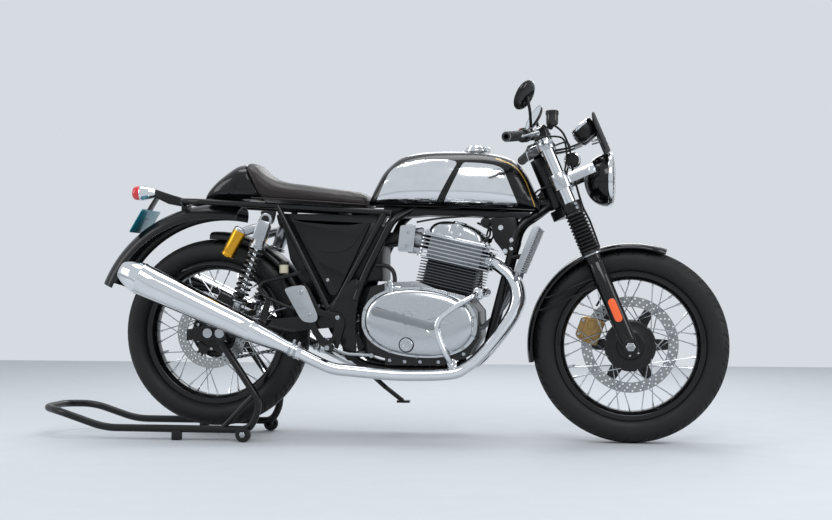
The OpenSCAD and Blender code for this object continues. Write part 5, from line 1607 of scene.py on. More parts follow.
        ticks.grow("dial_ticks", "steering", Repeated.SPOKE, DIAL_BLACK, {"Radius": 1.0})
        plate = Shape(self.place)
        outline = [(-2, 681.7), (-2, 689.7), (12, 689.7), (60, 678), (100, 676), (100, 671), (60, 672),
                   (14, 681.7)]
        for side in (-1, 1):
            plate.plate(outline, side * 44 - 11, side * 44 + 11, POWDER_BLACK, edge=1.0)
        plate.plate([(84, 671), (84, 676), (112, 676), (112, 671)], -56, 56, POWDER_BLACK, edge=1.0)
        plate.piece("instrument_bracket", "steering", slot="instrument_pods")
        horn = Shape(self.place)
        horn.lathe([(0, -12), (20, -12), (26, -8), (28, 0), (28, 5), (24, 9), (12, 11), (0, 12)],
                   SATIN_PLASTIC, shift(62, 0, 636) @ AXLE, 48)
        horn.lathe([(22, -14), (26, -13), (27, -10), (22, -10)], CHROME, shift(62, 0, 636) @ AXLE, 48,
                   closed=True)
        horn.piece("horn", "steering", slot="instrument_pods")

    def build_screen(self) -> None:
        """Builds the bent screen with its rolled edge, bolts and struts."""
        r, w, h, foot = self.screen_curve, self.screen_half_w, self.screen_h, self.screen_foot
        rows, cols = 36, 40
        verts: list[Point] = []
        for side in (0, 1):
            for i in range(rows + 1):
                v = i / rows
                z = foot + v * h
                s = max(0.0, (z - foot - 60) / (h - 60))
                half = w * power(max(0.0, 1 - power(s, 2 / 0.6)), 0.3) if s > 0 else w
                half = max(half, 2.0)
                for k in range(cols + 1):
                    yy = half * (2 * k / cols - 1)
                    x = self.screen_x - r + math.sqrt((r - 3 * side) ** 2 - yy * yy)
                    verts.append((x, yy, z))
        n = cols + 1
        top = (rows + 1) * n
        faces = [(a, a + 1, a + n + 1, a + n) for i in range(rows) for a in range(i * n, i * n + cols)]
        faces += [tuple(top + v for v in reversed(f)) for f in faces]
        edge = [i * n for i in range(rows + 1)] + [rows * n + k for k in range(1, cols + 1)] + \
            [i * n + cols for i in range(rows - 1, -1, -1)] + [k for k in range(cols - 1, 0, -1)]
        faces += [(a, b, b + top, a + top) for a, b in zip(edge, edge[1:] + edge[:1])]
        mesh = bmesh.new()
        vs = [mesh.verts.new(v) for v in verts]
        for f in faces:
            mesh.faces.new([vs[i] for i in f])
        Shape(self.place).add_mesh(mesh, SMOKED_ACRYLIC).piece("screen_blade", "steering", ["fly_screen"],
                sharp=50)
        struts = Shape(self.place)
        x, y, _ = self.pod
        struts.tube(rounded([(x + 14, y, 664.5), (x + 34, y - 2, 662), (self.screen_x - 5.6, y - 6, 660)],
                            10), 3, BRIGHT_STEEL, 12)
        struts.mirrored().piece("screen_struts", "steering", slot="fly_screen")
        bolts = Row(self.place)
        bolts.at((self.screen_x - 2.6, y - 6, 660), (1, 0.15, 0), stretch=(0.9, 0.9, 0.5))
        bolts.at((self.screen_x - 2.6, y - 6, 640), (1, 0.15, 0), stretch=(0.9, 0.9, 0.5))
        bolts.mirrored().grow("screen_bolts", "steering", Repeated.SOCKET_HEAD, CHROME,
                              {"Radius": 5, "Height": 4})

    def bar(self, side: int) -> Matrix:
        """Gives one bar's own frame, with local Y outward along it.

        Args:
            side: 1 for the left bar and -1 for the right one.

        Returns:
            The frame within the fork's.
        """
        return Matrix.Diagonal((1, side, 1, 1)) @ shift(0, self.fork_y, self.bar_z) @ turn(self.sweep, "Z")

    def build_bars(self) -> None:
        """Builds clamps, bars, grips, switches and levers."""
        end, grip = self.bar_len, self.bar_len - self.grip_len
        bars, rubber, housings, levers, ends = (Shape(self.place) for _ in range(5))
        clamp_bolts = Row(self.place)
        frame_ = self.bar(1)
        bars.lathe([(20.7, -17), (26.5, -17), (28.5, -15), (28.5, 15), (26.5, 17), (20.7, 17)],
                   POWDER_BLACK, shift(0, self.fork_y, self.bar_z), 48, closed=True)
        bars.lathe([(0, 22.5), (self.bar_r + 4, 22.5), (self.bar_r + 4, 44), (self.bar_r, 47),
                    (self.bar_r, grip - 1), (0, grip - 1)], POWDER_BLACK, frame_ @ AXLE, 32)
        bars.lathe([(self.bar_end_r, end), (self.bar_r, end), (self.bar_r, grip - 4),
                    (self.bar_end_r, grip - 4)], POWDER_BLACK, frame_ @ AXLE, 32, closed=True)
        bars.mirrored().piece("clip_on_bars", "steering", ["handlebars"])
        rings: list[Flat] = [(self.bar_r + 0.3, grip), (self.grip_r + 1.8, grip),
                             (self.grip_r + 1.8, grip + 5)]
        z = grip + 6
        while z < end - 14:
            rings += [(self.grip_r - 0.9, z), (self.grip_r - 0.2, z + 0.6), (self.grip_r - 0.2, z + 3.2),
                      (self.grip_r - 0.9, z + 3.8)]
            z += 4.2
        rings += [(self.grip_r - 0.6, end - 12), (self.grip_r, end - 10), (self.grip_r, end - 2),
                  (self.grip_r - 2, end), (self.bar_r + 0.3, end)]
        rings = [(min(r, self.grip_r), z) for r, z in rings]
        rubber.lathe(rings, SOFT_RUBBER, frame_ @ AXLE, 36, closed=True)
        rubber.mirrored().piece("ribbed_grips", "steering", ["grips"], sharp=45)
        ends.lathe([(7.2, end - 6), (7.2, end - 0.2), (15.6, end - 0.2), (15.6, end - 3), (16.4, end - 3),
                    (16.4, end - 6)], CHROME, frame_ @ AXLE, 40, closed=True)
        ends.mirrored().piece("bar_end_rings", "steering", slot="grips")
        housings.lathe([(11.4, grip - 37), (19, grip - 37), (21, grip - 35), (22, grip - 32),
                        (22, grip - 5), (21, grip - 2.6), (11.4, grip - 2)], SATIN_PLASTIC, frame_ @ AXLE,
                        36, closed=True)
        housings.block((-12, grip - 34, 16), (12, grip - 8, 23), SATIN_PLASTIC, 3, frame_)
        housings.mirrored().piece("switch_housings", "steering", slot="handlebars")
        buttons = Shape(self.place)
        right = self.bar(-1)
        buttons.block((-7, grip - 26, 22), (3, grip - 14, 26), RED_PLASTIC, 1.4, right)
        buttons.block((-24, grip - 24, -4), (-19, grip - 12, 6), RED_PLASTIC, 1.2, right)
        buttons.block((-24, grip - 26, -5), (-19, grip - 16, 5), SATIN_ALLOY, 1.2, frame_)
        buttons.piece("switch_buttons", "steering", slot="handlebars")
        levers.tube(rounded([(8, grip - 22, -6), (30, grip - 18, -10), (50, grip - 8, -14)], 10), 8,
                    SATIN_ALLOY, 16)
        blade = smooth([(49, grip - 8, -14), (55, grip + 24, -16), (53, grip + 62, -18),
                        (49, grip + 96, -19), (45, end - 22, -19)], 28)
        widths = [7.0 - 2.2 * k / 28 for k in range(29)]
        levers.tube(blade, widths, SATIN_ALLOY, 16, flat=0.55)
        levers.lathe([(0, -4.6), (4.6, -3), (6, 0), (4.6, 3), (0, 4.6)], SATIN_ALLOY,
                     shift(44, end - 20, -19), 20)
        moved = Shape(self.place)
        moved.add(levers.verts, levers.faces, SATIN_ALLOY, frame_)
        moved.mirrored().piece("brake_and_clutch_levers", "steering", slot="handlebars")
        self.build_reservoir()
        clamp_bolts.at((24, self.fork_y - 10, self.bar_z - 8),
                       (1, -0.2, 0)).at((24, self.fork_y - 10, self.bar_z + 8), (1, -0.2, 0))
        clamp_bolts.mirrored().grow("bar_clamp_bolts", "steering", Repeated.SOCKET_HEAD, BRIGHT_STEEL,
                                    {"Radius": 4.6, "Height": 5})

    def build_reservoir(self) -> None:
        """Builds the brake fluid reservoir on the right bar."""
        pot = Shape(self.place)
        at = shift(44, -(self.fork_y + 52), self.bar_z + 6) @ turn(PLACES.head_angle, "Y")
        pot.lathe([(0, 0), (15, 0), (18, 2), (19.5, 6), (19.5, 34), (0, 34)], DARK_RESERVOIR, at, 40)
        pot.lathe([(0, 33), (21, 33), (21, 45), (19, 47.6), (15, 48), (0, 48)], SATIN_PLASTIC, at, 40)
        pot.piece("brake_reservoir", "steering", slot="handlebars")
        mount = Shape(self.place)
        mount.tube([(34, -(self.fork_y + 44), self.bar_z + 4), (50, -(self.fork_y + 58), self.bar_z + 14)],
                   11, SATIN_PLASTIC, 20)
        bar = self.bar(-1)
        mount.tube([bar @ Vector((6, 40, 0)), bar @ Vector((24, 46, 6)), bar @ Vector((40, 52, 10))], 8.4,
                   SATIN_PLASTIC, 20)
        mount.piece("master_cylinder", "steering", slot="handlebars")

    def build_mirrors(self) -> None:
        """Builds both mirrors on their stems."""
        foot, knee, head = ((-20, self.fork_y + 78, self.bar_z + 24),
                            (-2, self.fork_y + 165, self.bar_z + 64),
                            (6, self.fork_y + 178, self.bar_z + 104))
        stems, heads, glass = (Shape(self.place) for _ in range(3))
        stems.tube(rounded([(-26, self.fork_y + 77, self.bar_z + 6), foot, knee, head], 26, 8), 5,
                   GLOSS_BLACK, 16)
        stems.lathe([(11.3, 72), (16.6, 72), (18, 73.4), (18, 90.6), (16.6, 92), (11.3, 92)], POWDER_BLACK,
                    self.bar(1) @ AXLE, 40, closed=True)
        stems.lathe([(0, -6), (7, -5), (7.5, 0), (7, 5), (0, 6)], BRIGHT_STEEL, shift(*foot), 6)
        face = shift(*head) @ turn(33, "Z") @ turn(PLACES.head_angle - 65, "Y")
        r = self.mirror_r
        heads.lathe([(0, 0), (r - 16, 0), (r - 10, 1), (r - 4, 4.5), (r - 0.6, 9), (r, 12), (r - 0.4, 13.8),
                     (r - 2.4, 14), (r - 2.8, 12.8), (0, 12.8)], GLOSS_BLACK, face, 72)
        glass.lathe([(0, 13.4), (r - 3, 13.4), (r - 3, 12.4), (0, 12.4)], MIRROR_GLASS, face, 64)
        stems.mirrored().piece("mirror_stems", "steering", ["mirrors"])
        heads.mirrored().piece("mirror_heads", "steering", ["mirrors"])
        glass.mirrored().piece("mirror_glass", "steering", ["mirrors"])

    def build(self) -> None:
        """Builds the whole cockpit."""
        self.build_lamp()
        self.build_pods()
        self.build_screen()
        self.build_bars()
        self.build_mirrors()


# ---------------------------------------------------------------- engine and exhaust
def on_cylinders(x: float, y: float, z: float) -> Vector:
    """Turns a point of the cylinders' own frame into the pivot frame."""
    return shift(328, 0, 85) @ turn(13, "Y") @ Vector((x, y, z))


@dataclass
class Engine:
    """The parallel twin: cases, covers, finned cylinders and head, oil cooler."""

    place: Matrix = PLACES.pivot
    half_w: float = 148.0
    cover: Flat = (248.0, -10.0)
    cover_a: float = 190.0
    cover_b: float = 114.0
    cover_turn: float = 4.0
    lean: float = 13.0
    barrel_fins: int = 9
    head_fins: int = 7
    barrel_top: float = 98.0
    head_top: float = 176.0
    cooler: Flat = (551.0, 162.0)
    cooler_turn: float = 23.0

    @property
    def cylinders(self) -> Matrix:
        """The cylinders' own frame within the pivot frame."""
        return shift(328, 0, 85) @ turn(self.lean, "Y")

    def build_cases(self) -> None:
        """Finishes the crankcase and adds its bolts, joint faces and sump ribs."""
        refine("crankcase", ENGINE_BLACK, 3.0, 24)
        bolts = Row(self.place)
        for x, z in ((150, -134), (200, -138), (250, -138), (310, -138), (392, -112), (424, -60), (424, 14),
                     (386, 66), (296, 90), (228, 112), (150, 110)):
            bolts.at((x, -self.half_w, z), (0, -1, 0))
        bolts.mirrored().grow("case_bolts", "chassis", Repeated.SOCKET_HEAD, BRIGHT_STEEL,
                              {"Radius": 5.6, "Height": 5})
        face = Shape(self.place)
        face.plate([(132.8, 30), (132.8, 119.4), (236.4, 123.6), (301, 99.6), (397.2, 75.4), (437.6, 24.8),
                    (439.4, -20), (400, -20), (248, 60)],
                   141, 148.2, CAST_ALLOY, edge=0.6)
        face.mirrored().piece("case_joint_faces", "chassis", slot="engine_covers")
        ribs = Row(self.place)
        for k in range(7):
            ribs.at((200 + 24 * k, 0, -153), (1, 0, 0), (0, 1, 0))
        ribs.grow("sump_ribs", "chassis", Repeated.FIN, ENGINE_BLACK,
                  {"Length": 200, "Width": 7, "Thickness": 4, "Corner": 3})

    def oval(self, scale: float, count: int = 144) -> list[Flat]:
        """Gives the cover's outline at a scale."""
        return [(self.cover_a * scale * power(math.cos(t), 2 / 2.3),
                 self.cover_b * scale * power(math.sin(t), 2 / 2.3))
                for t in (2 * math.pi * k / count for k in range(count))]

    def build_covers(self) -> None:
        """Builds both domed side covers, each with a flat flange, a bare recessed band and screws."""
        frame_ = shift(self.cover[0], -self.half_w - 0.3, self.cover[1]) @ turn(self.cover_turn, "Y")
        rows = [(0.0, 1.0), (10.0, 1.0), (12.5, 0.994), (13.2, 0.975), (13.2, 0.95), (14.0, 0.94),
                (20.0, 0.935), (27.0, 0.92), (32.5, 0.89),
                (36.5, 0.85), (39.5, 0.79), (41.6, 0.7), (42.8, 0.6), (43.6, 0.48), (44.2, 0.34),
                (44.5, 0.18), (44.6, 0.05)]
        count = 144
        verts: list[Point] = []
        for depth, scale in rows:
            for x, z in self.oval(scale, count):
                sink = 0.0
                if depth > 38 and scale > 0.05:
                    level = (z + 4) * math.cos(0.17) - x * math.sin(-0.17)
                    along_band = x
                    if abs(level) < 20 and -165 < along_band < 70:
                        sink = 2.2
                verts.append((x, -(depth - sink), z))
        cover = Shape(self.place)
        cover.add(verts, rings_faces(len(rows), count), POLISHED_ALLOY, frame_)
        cover.lathe([(0, 0), (20, 0), (21, 1), (21, 6), (19, 7.6), (10, 8), (9, 7), (0, 7)], POLISHED_ALLOY,
                    frame_ @ shift(-32, -39.5, -74) @ turn(90, "X"), 48)
        cover.mirrored().piece("polished_side_covers", "chassis", ["engine_covers"], sharp=28)
        plug = Shape(self.place)
        seat = frame_ @ shift(-32, -39.5, -74) @ turn(90, "X")
        plug.lathe([(20.4, -5), (25, -5), (25, 3.6), (24, 4.8), (21.6, 4.8), (20.4, 3.6)], ENGINE_BLACK,
                   seat, 56, closed=True)
        plug.mirrored().piece("cover_plug_seals", "chassis", slot="engine_covers")
        band = Shape(self.place)
        line = rounded([(-150, 0, -14), (52, 0, -14), (60, 0, 0), (52, 0, 14), (-150, 0, 14), (-158, 0, 0)],
                       8, 4, True)
        band.plate([(p.x, p.z) for p in line], -44.9, -43.2, CAST_ALLOY, edge=0.6,
                   move=frame_ @ turn(10, "Y"))
        band.mirrored().piece("cover_bands", "chassis", slot="engine_covers")
        screws = Row(self.place)
        for k in range(14):
            t = 2 * math.pi * (k + 0.5) / 14
            x, z = self.cover_a * 0.965 * power(math.cos(t),
                                                2 / 2.3), self.cover_b * 0.965 * power(math.sin(t), 2 / 2.3)
            screws.at(frame_ @ Vector((x, -12.4, z)), (0, -1, 0))
        screws.mirrored().grow("cover_screws", "chassis", Repeated.SOCKET_HEAD, BRIGHT_STEEL,
                               {"Radius": 5.4, "Height": 4.6})

    def build_barrels(self) -> None:
        """Builds the cylinder block and head with rounded fins, the rocker cover and the plugs."""
        core = Shape(self.place)
        core.block((-84, -110, -6), (84, 110, self.barrel_top - 0.3), ENGINE_BLACK, 10, self.cylinders)
        core.piece("cylinder_core", "chassis", ["cylinders"])
        way = self.cylinders.to_3x3()
        fins, edges = Row(self.place), Row(self.place)
        first, thick = 18.0, 3.4
        for k in range(self.barrel_fins):
            z = first + k * (self.barrel_top - 0.3 - first - thick) / (self.barrel_fins - 1)
            fins.at(self.cylinders @ Vector((0, 0, z)), way @ Vector((0, 0, 1)), way @ Vector((1, 0, 0)))
            edges.at(self.cylinders @ Vector((0, 0, z + 0.5)), way @ Vector((0, 0, 1)),
                     way @ Vector((1, 0, 0)))
        fins.grow("barrel_fins", "chassis", Repeated.FIN, ENGINE_BLACK,
                  {"Length": 207, "Width": 255, "Thickness": thick, "Corner": 20}, replaces=["cylinders"])
        edges.grow("barrel_fin_edges", "chassis", Repeated.FIN, FIN_EDGE,
                   {"Length": 208, "Width": 256, "Thickness": thick - 1.0, "Corner": 20},
                   replaces=["cylinders"])
        head = Shape(self.place)
        head.block((-90, -114, self.barrel_top), (90, 114, self.head_top), CAST_ALLOY, 8, self.cylinders)
        for side in (-1, 1):
            port = self.cylinders @ shift(84, side * 76, 131) @ turn(90, "Y")
            head.lathe([(21, 0), (32, 0), (32, 16), (30, 18), (21, 18)], CAST_ALLOY, port, 40, closed=True)
        head.piece("head_core", "chassis", ["cylinder_head"])
        cool = Row(self.place)
        for k in range(self.head_fins):
            z = self.barrel_top + 2 + k * (self.head_top - self.barrel_top - 2 - 3.6) / (self.head_fins - 1)
            cool.at(self.cylinders @ Vector((0, 0, z)), way @ Vector((0, 0, 1)), way @ Vector((1, 0, 0)))
        cool.grow("head_fins", "chassis", Repeated.FIN, POLISHED_ALLOY,
                  {"Length": 240, "Width": 268, "Thickness": 3.6, "Corner": 22}, replaces=["cylinder_head"])
        rocker = Shape(self.place)
        top = self.head_top
        rocker.block((-112, -112, top - 1), (94, 112, top + 8), POLISHED_ALLOY, 3, self.cylinders)
        rings, count = 28, 56
        dome: list[Point] = []
        for k in range(rings + 1):
            t = math.radians(-86 + 172 * k / rings)
            scale = power(math.cos(t), 0.28)
            for i in range(count):
                a = 2 * math.pi * i / count
                dome.append((-10 + 98 * scale * power(math.cos(a), 0.82), 111 * power(math.sin(t), 0.5),
                             top + 6 + (54 if math.sin(a) > 0 else 4) * scale * power(math.sin(a), 0.86)))
        rocker.add(dome, rings_faces(rings + 1, count), POLISHED_ALLOY, self.cylinders)
        for y in (-58, 58):
            rocker.lathe([(0, 0), (24, 0), (24, 4), (22, 6.4), (9, 7), (8, 6), (0, 6)], POLISHED_ALLOY,
                         self.cylinders @ shift(-10, y, top + 55.4), 48)
        for side in (-1, 1):
            rocker.lathe([(0, 0), (24, 0), (25.6, 1.4), (25.6, 3), (23, 4.6), (0, 5)], POLISHED_ALLOY,
                         self.cylinders @ shift(-10, side * 107.6, top + 29) @ (AXLE if side > 0
                                 else turn(90, "X")), 56)
        rocker.piece("rocker_cover", "chassis", ["cylinder_head"], sharp=26)
        bolts = Row(self.place)
        up = way @ Vector((0, 0, 1))
        for x in (-102, -60, 40, 84):
            bolts.at(self.cylinders @ Vector((x, -104, top + 8)), up)
        for a in ring_of(3, 17, 90):
            bolts.at(self.cylinders @ Vector((-10 + a[0], -112.0, top + 29 + a[1])), (0, -1, 0),
                     stretch=(0.6, 0.6, 0.4))
        bolts.mirrored().grow("rocker_bolts", "chassis", Repeated.HEX_HEAD, CHROME,
                              {"Radius": 6.2, "Height": 5})
        plugs = Shape(self.place)
        for y in (-64, 64):
            boot = self.cylinders @ shift(70, y, top + 4) @ turn(38, "Y")
            plugs.lathe([(0, -6), (9, -6), (10, 4), (8, 10), (8, 30), (6, 34), (0, 34)], SOFT_RUBBER, boot,
                        28)
            start = boot @ Vector((0, 0, 33))
            plugs.tube(smooth([start, start + Vector((8, 0, 12)), start + Vector((2, -y * 0.2, 34)),
                               start + Vector((-36, -y * 0.45, 52))], 18), 3.6, SOFT_RUBBER, 12)
        plugs.piece("plug_caps_and_leads", "chassis", slot="air_intake")

    def build_cooler(self) -> None:
        """Builds the oil cooler with slats, tanks and hoses."""
        frame_ = shift(self.cooler[0], 0, self.cooler[1]) @ turn(self.cooler_turn, "Y")
        core = Shape(self.place)
        core.block((7, -110, 2), (29, 110, 156), ENGINE_BLACK, 2, frame_)
        teeth = 20
        line = [(4.0, -2.0), (4.0, 160.0), (25.0, 160.0)]
        for k in range(teeth):
            z = 160 - 162 * (k + 0.5) / teeth
            line += [(25.0, z + 2.4), (31.0, z + 1.4), (31.0, z - 1.4), (25.0, z - 2.4)]
        line.append((25.0, -2.0))
        core.plate(line, 108, 121, SATIN_ALLOY, edge=0.6, move=frame_)
        core.mirrored()
        core.piece("cooler_body", "chassis", ["oil_cooler"])
        slats = Row(self.place)
        way = frame_.to_3x3()
        for k in range(26):
            slats.at(frame_ @ Vector((18.5, 0, 5 + k * 5.9)), way @ Vector((0, 0, 1)),
                     way @ Vector((1, 0, 0)))
        slats.grow("cooler_slats", "chassis", Repeated.FIN, SATIN_ALLOY,
                   {"Length": 25, "Width": 215, "Thickness": 1.8, "Corner": 1}, replaces=["oil_cooler"])
        stays = Shape(self.place)
        stays.rod((540, 72, 203), (580, 72, 208), 6, POWDER_BLACK)
        stays.mirrored().piece("cooler_stays", "chassis", slot="oil_cooler")
        hoses = Shape(self.place)
        for side in (-1, 1):
            foot = frame_ @ Vector((16, side * 115, -3))
            hoses.tube(smooth([foot, foot + Vector((-8, 0, -26)), (538, side * 84, 92),
                               (498, side * 46, 24), (452, side * 36, -20), (436, side * 36, -34)], 30), 7,
                               BRAID, 16)
        hoses.piece("cooler_hoses", "chassis", slot="oil_cooler")

    def build_fittings(self) -> None:
        """Builds the chrome hoops before the covers, the filler post, the breather and the head steady."""
        hoops, pipes, steady = Shape(self.place), Shape(self.place), Shape(self.place)
        hoops.tube(smooth([(437, -150, 85), (432, -172, 80), (414, -194, 68), (370, -203, 42),
                           (328, -206, 10), (313, -207, -14), (312, -207, -36),
                           (322, -204, -72), (340, -194, -112), (352, -174, -136), (354, -152, -142)], 60),
                           8.5, CHROME, 28)
        for x, z in ((438, 86), (354, -143)):
            hoops.lathe([(0, 0), (15, 0), (16, 1), (16, 5), (14, 7), (0, 7)], CHROME,
                        shift(x, -self.half_w - 1, z) @ turn(90, "X"), 32)
        hoops.mirrored().piece("chrome_case_hoops", "chassis", slot="exhaust_headers")
        post = shift(166, -160, 68) @ along((-16, 6, 58), (0, -1, 0))
        pipes.lathe([(0, 0), (12, 0), (13, 2), (13, 12), (9, 16), (9, 40), (12.6, 42), (12.6, 50), (8, 53),
                     (8, 60), (0, 60)], POLISHED_ALLOY, post, 40)
        pipes.block((140, -158, 84), (188, -144, 108), POLISHED_ALLOY, 4)
        pipes.piece("oil_filler_post", "chassis", slot="engine_covers")
        steady.tube(smooth([(96, -104, 176), (112, -104, 177), (136, -105, 172), (153, -107, 158),
                            (160, -110, 136), (161, -116, 104)], 30), 7, SOFT_RUBBER, 20)
        steady.lathe([(7, 0), (8.6, 0.6), (8.6, 6), (7, 6.6)], BRIGHT_STEEL, shift(161, -116, 106), 24,
                     closed=True)
        steady.piece("breather_hose", "chassis", slot="air_intake")
        plate = Shape(self.place)
        plate.plate(rounded([(470, 330), (556, 334), (566, 250), (552, 214), (520, 206), (506, 232),
                             (484, 258)], 10, 4, True), 64, 70, POWDER_BLACK, edge=1.6)
        plate.mirrored()
        plate.lathe([(0, -34), (25, -34), (27, -30), (27, 30), (25, 34), (0, 34)], SATIN_PLASTIC,
                    shift(500, 0, 292) @ AXLE, 40)
        plate.lathe([(0, -56), (15, -54), (17, -46), (17, 46), (15, 54), (0, 56)], SATIN_PLASTIC,
                    shift(454, 0, 318) @ AXLE, 40)
        plate.piece("head_steady", "chassis", slot="main_frame")
        bolts = Row(self.place)
        for x, z in ((543, 258), (542, 230), (506, 300), (520, 222)):
            bolts.at((x, 70, z), (0, 1, 0))
        bolts.mirrored().grow("head_steady_bolts", "chassis", Repeated.HEX_HEAD, CHROME,
                              {"Radius": 6.4, "Height": 5})

    def build(self) -> None:
        """Builds the whole engine."""
        self.build_fittings()
        self.build_cases()
        self.build_covers()
        self.build_barrels()
        self.build_cooler()


@dataclass
class Exhaust:
    """Both header pipes and silencers."""

    place: Matrix = PLACES.pivot
    pipe_r: float = 19.5
    silencer_r: float = 52.0
    front: Point = (-134.0, 192.0, -114.0)
    axis: Point = (-605.0, 28.2609, 277.0)

    def build(self) -> None:
        """Builds headers, port collars, silencers and clamps."""
        start = Vector(self.front)
        way = Vector(self.axis)
        long = way.length
        route = [on_cylinders(76, 76, 131), on_cylinders(97, 76, 131), (478, 82, 186), (510, 92, 166),
                 (536, 98, 142), (557, 104, 98),
                 (556, 108, 47), (524, 114, -17), (447, 130, -114), (398, 142, -155), (345, 152, -176),
                 (190, 165, -180), (27, 178, -167),
                 start - 100 * way.normalized(), start + 8 * way.normalized()]
        pipes = Shape(self.place)
        pipes.tube(smooth(route, 110), self.pipe_r, CHROME, 36)
        pipes.mirrored().piece("header_pipes", "chassis", ["exhaust_headers"])
        collars = Shape(self.place)
        port = Matrix.Translation(on_cylinders(103, 76, 131)) @ turn(13, "Y") @ turn(90, "Y")
        outline: list[Flat] = [(20, -6), (27, -6)]
        for k in range(4):
            z = -5 + k * 5.6
            outline += [(27, z), (31.5, z + 0.4), (31.5, z + 2.6), (27, z + 3)]
        outline += [(24, 17), (20, 17)]
        collars.lathe(outline, POLISHED_ALLOY, port, 56, closed=True)
        collars.mirrored().piece("port_collars", "chassis", slot="exhaust_headers")
        body = Matrix.Translation(start) @ along(way, (0, 0, 1))
        cans = Shape(self.place)
        r, s = self.pipe_r, self.silencer_r
        outline = [(r + 0.4, 0.6), (r + 1.8, 0.6), (r + 2.5, 1.6), (r + 2.5, 58), (r + 3.4, 72), (29, 108),
                   (34, 146), (37.4, 178), (39.6, 183), (40, 186), (39.6, 189), (38.2, 193),
                   (40.4, 230), (43.2, 300), (46.4, 380), (49, 460), (51.2, 540), (s, long - 80),
                   (s + 1.4, long - 77), (s + 2, long - 74), (s + 1.4, long - 71),
                   (s, long - 68), (s - 0.6, long - 60), (46, long - 40), (36, long - 16), (29, long - 4),
                   (26, long - 0.6), (24.6, long), (22.6, long), (22, long - 1), (22, long - 60),
                   (0, long - 60)]
        cans.lathe(outline, CHROME, body, 96)
        cans.mirrored().piece("reverse_cone_silencers", "chassis", ["silencers"], sharp=36)
        bands = Shape(self.place)
        for z in (16, 34):
            bands.lathe([(r + 2.6, z), (r + 4.6, z), (r + 5, z + 1), (r + 5, z + 9), (r + 4.6, z + 10),
                         (r + 2.6, z + 10)], BRIGHT_STEEL, body, 48, closed=True)
            bands.block((r + 3, -5, z + 1), (r + 15, 5, z + 9), BRIGHT_STEEL, 1.5, body)
        bands.mirrored().piece("silencer_clamps", "chassis", slot="silencers")
        # A thin black disc closes each outlet's bore about 59 mm in, in front of the chrome end cap
        dark = Shape(self.place)
        dark.lathe([(0, long - 59.4), (21.6, long - 59.4), (21.6, long - 58.6), (0, long - 58.6)],
                   ENGINE_BLACK, body, 40)
        dark.mirrored().piece("silencer_outlet_black_disc", "chassis", slot="silencers")
        hanger = Shape(self.place)
        hanger.tube(rounded([(-150, 133, 152), (-280, 136, 122), (-292, 136, 104), (-281, 136, 78),
                             (-201, 135, 42), (-140, 133, 22)], 16, 6), 6.5, POWDER_BLACK, 20)
        hanger.plate(rounded([(-266, 76), (-250, 70), (-268, -22), (-290, -30), (-296, -14)], 6,
                             closed=True), 133, 138, POWDER_BLACK, edge=1)
        hanger.block((-292, 136, -36), (-270, 152, -18), POWDER_BLACK, 3)
        hanger.mirrored().piece("silencer_hangers", "chassis", slot="footrest_plates")


@dataclass
class Intake:
    """Throttle bodies, rubber boots and the air box behind them."""

    place: Matrix = PLACES.pivot
    throttle_r: float = 24.0

    def build(self) -> None:
        """Builds both throttle bodies, the boots and the air box."""
        bodies, rubber, box = Shape(self.place), Shape(self.place), Shape(self.place)
        for side in (-1, 1):
            bore = shift(328, side * 76, 85) @ turn(13, "Y") @ shift(-84.3, 0, 150) @ turn(-90, "Y")
            t = self.throttle_r
            rubber.lathe([(0, 0), (t, 0), (t + 1, 2), (t + 1, 14), (t - 2, 17), (t - 2, 22), (0, 22)],
                         SOFT_RUBBER, bore, 40)
            bodies.lathe([(0, 18), (t, 18), (t + 3, 20), (t + 3, 66), (t + 1, 70), (t, 76), (0, 76)],
                         CAST_ALLOY, bore, 48)
            end = on_cylinders(-184, side * 76, 150)
            rubber.tube(smooth([end + Vector((26, 0, 6)), end, Vector((122, side * 60, 262)),
                                Vector((98, side * 46, 262))], 20),
                                [22, 22.5] + [22.5 - 0.1 * k for k in range(19)], SOFT_RUBBER, 32)
        bodies.piece("throttle_bodies", "chassis", ["air_intake"])
        box.plate([(-80, 124), (114, 124), (114, 296), (96, 318), (-6, 318), (-118, 250), (-118, 190)],
                  -86.5, 86.5, SATIN_PLASTIC, edge=7)
        box.piece("air_box", "chassis", ["air_intake"])
        rubber.piece("intake_rubbers", "chassis", slot="air_intake")
        covers = Shape(self.place)
        line = rounded([(178, 0, 308), (225, 0, 312), (229, 0, 304), (221, 0, 219), (172, 0, 222),
                        (169, 0, 230)], 7, 4, True)
        covers.plate([(p.x, p.z) for p in line], 101, 108, POLISHED_ALLOY, edge=1.6)
        covers.mirrored().piece("throttle_covers", "chassis", slot="air_intake")
        bolts = Row(self.place)
        bolts.at((204, -108, 284), (0, -1, 0)).at((198, -108, 240), (0, -1, 0))
        bolts.mirrored().grow("throttle_cover_bolts", "chassis", Repeated.SOCKET_HEAD, BRIGHT_STEEL,
                              {"Radius": 6, "Height": 5})


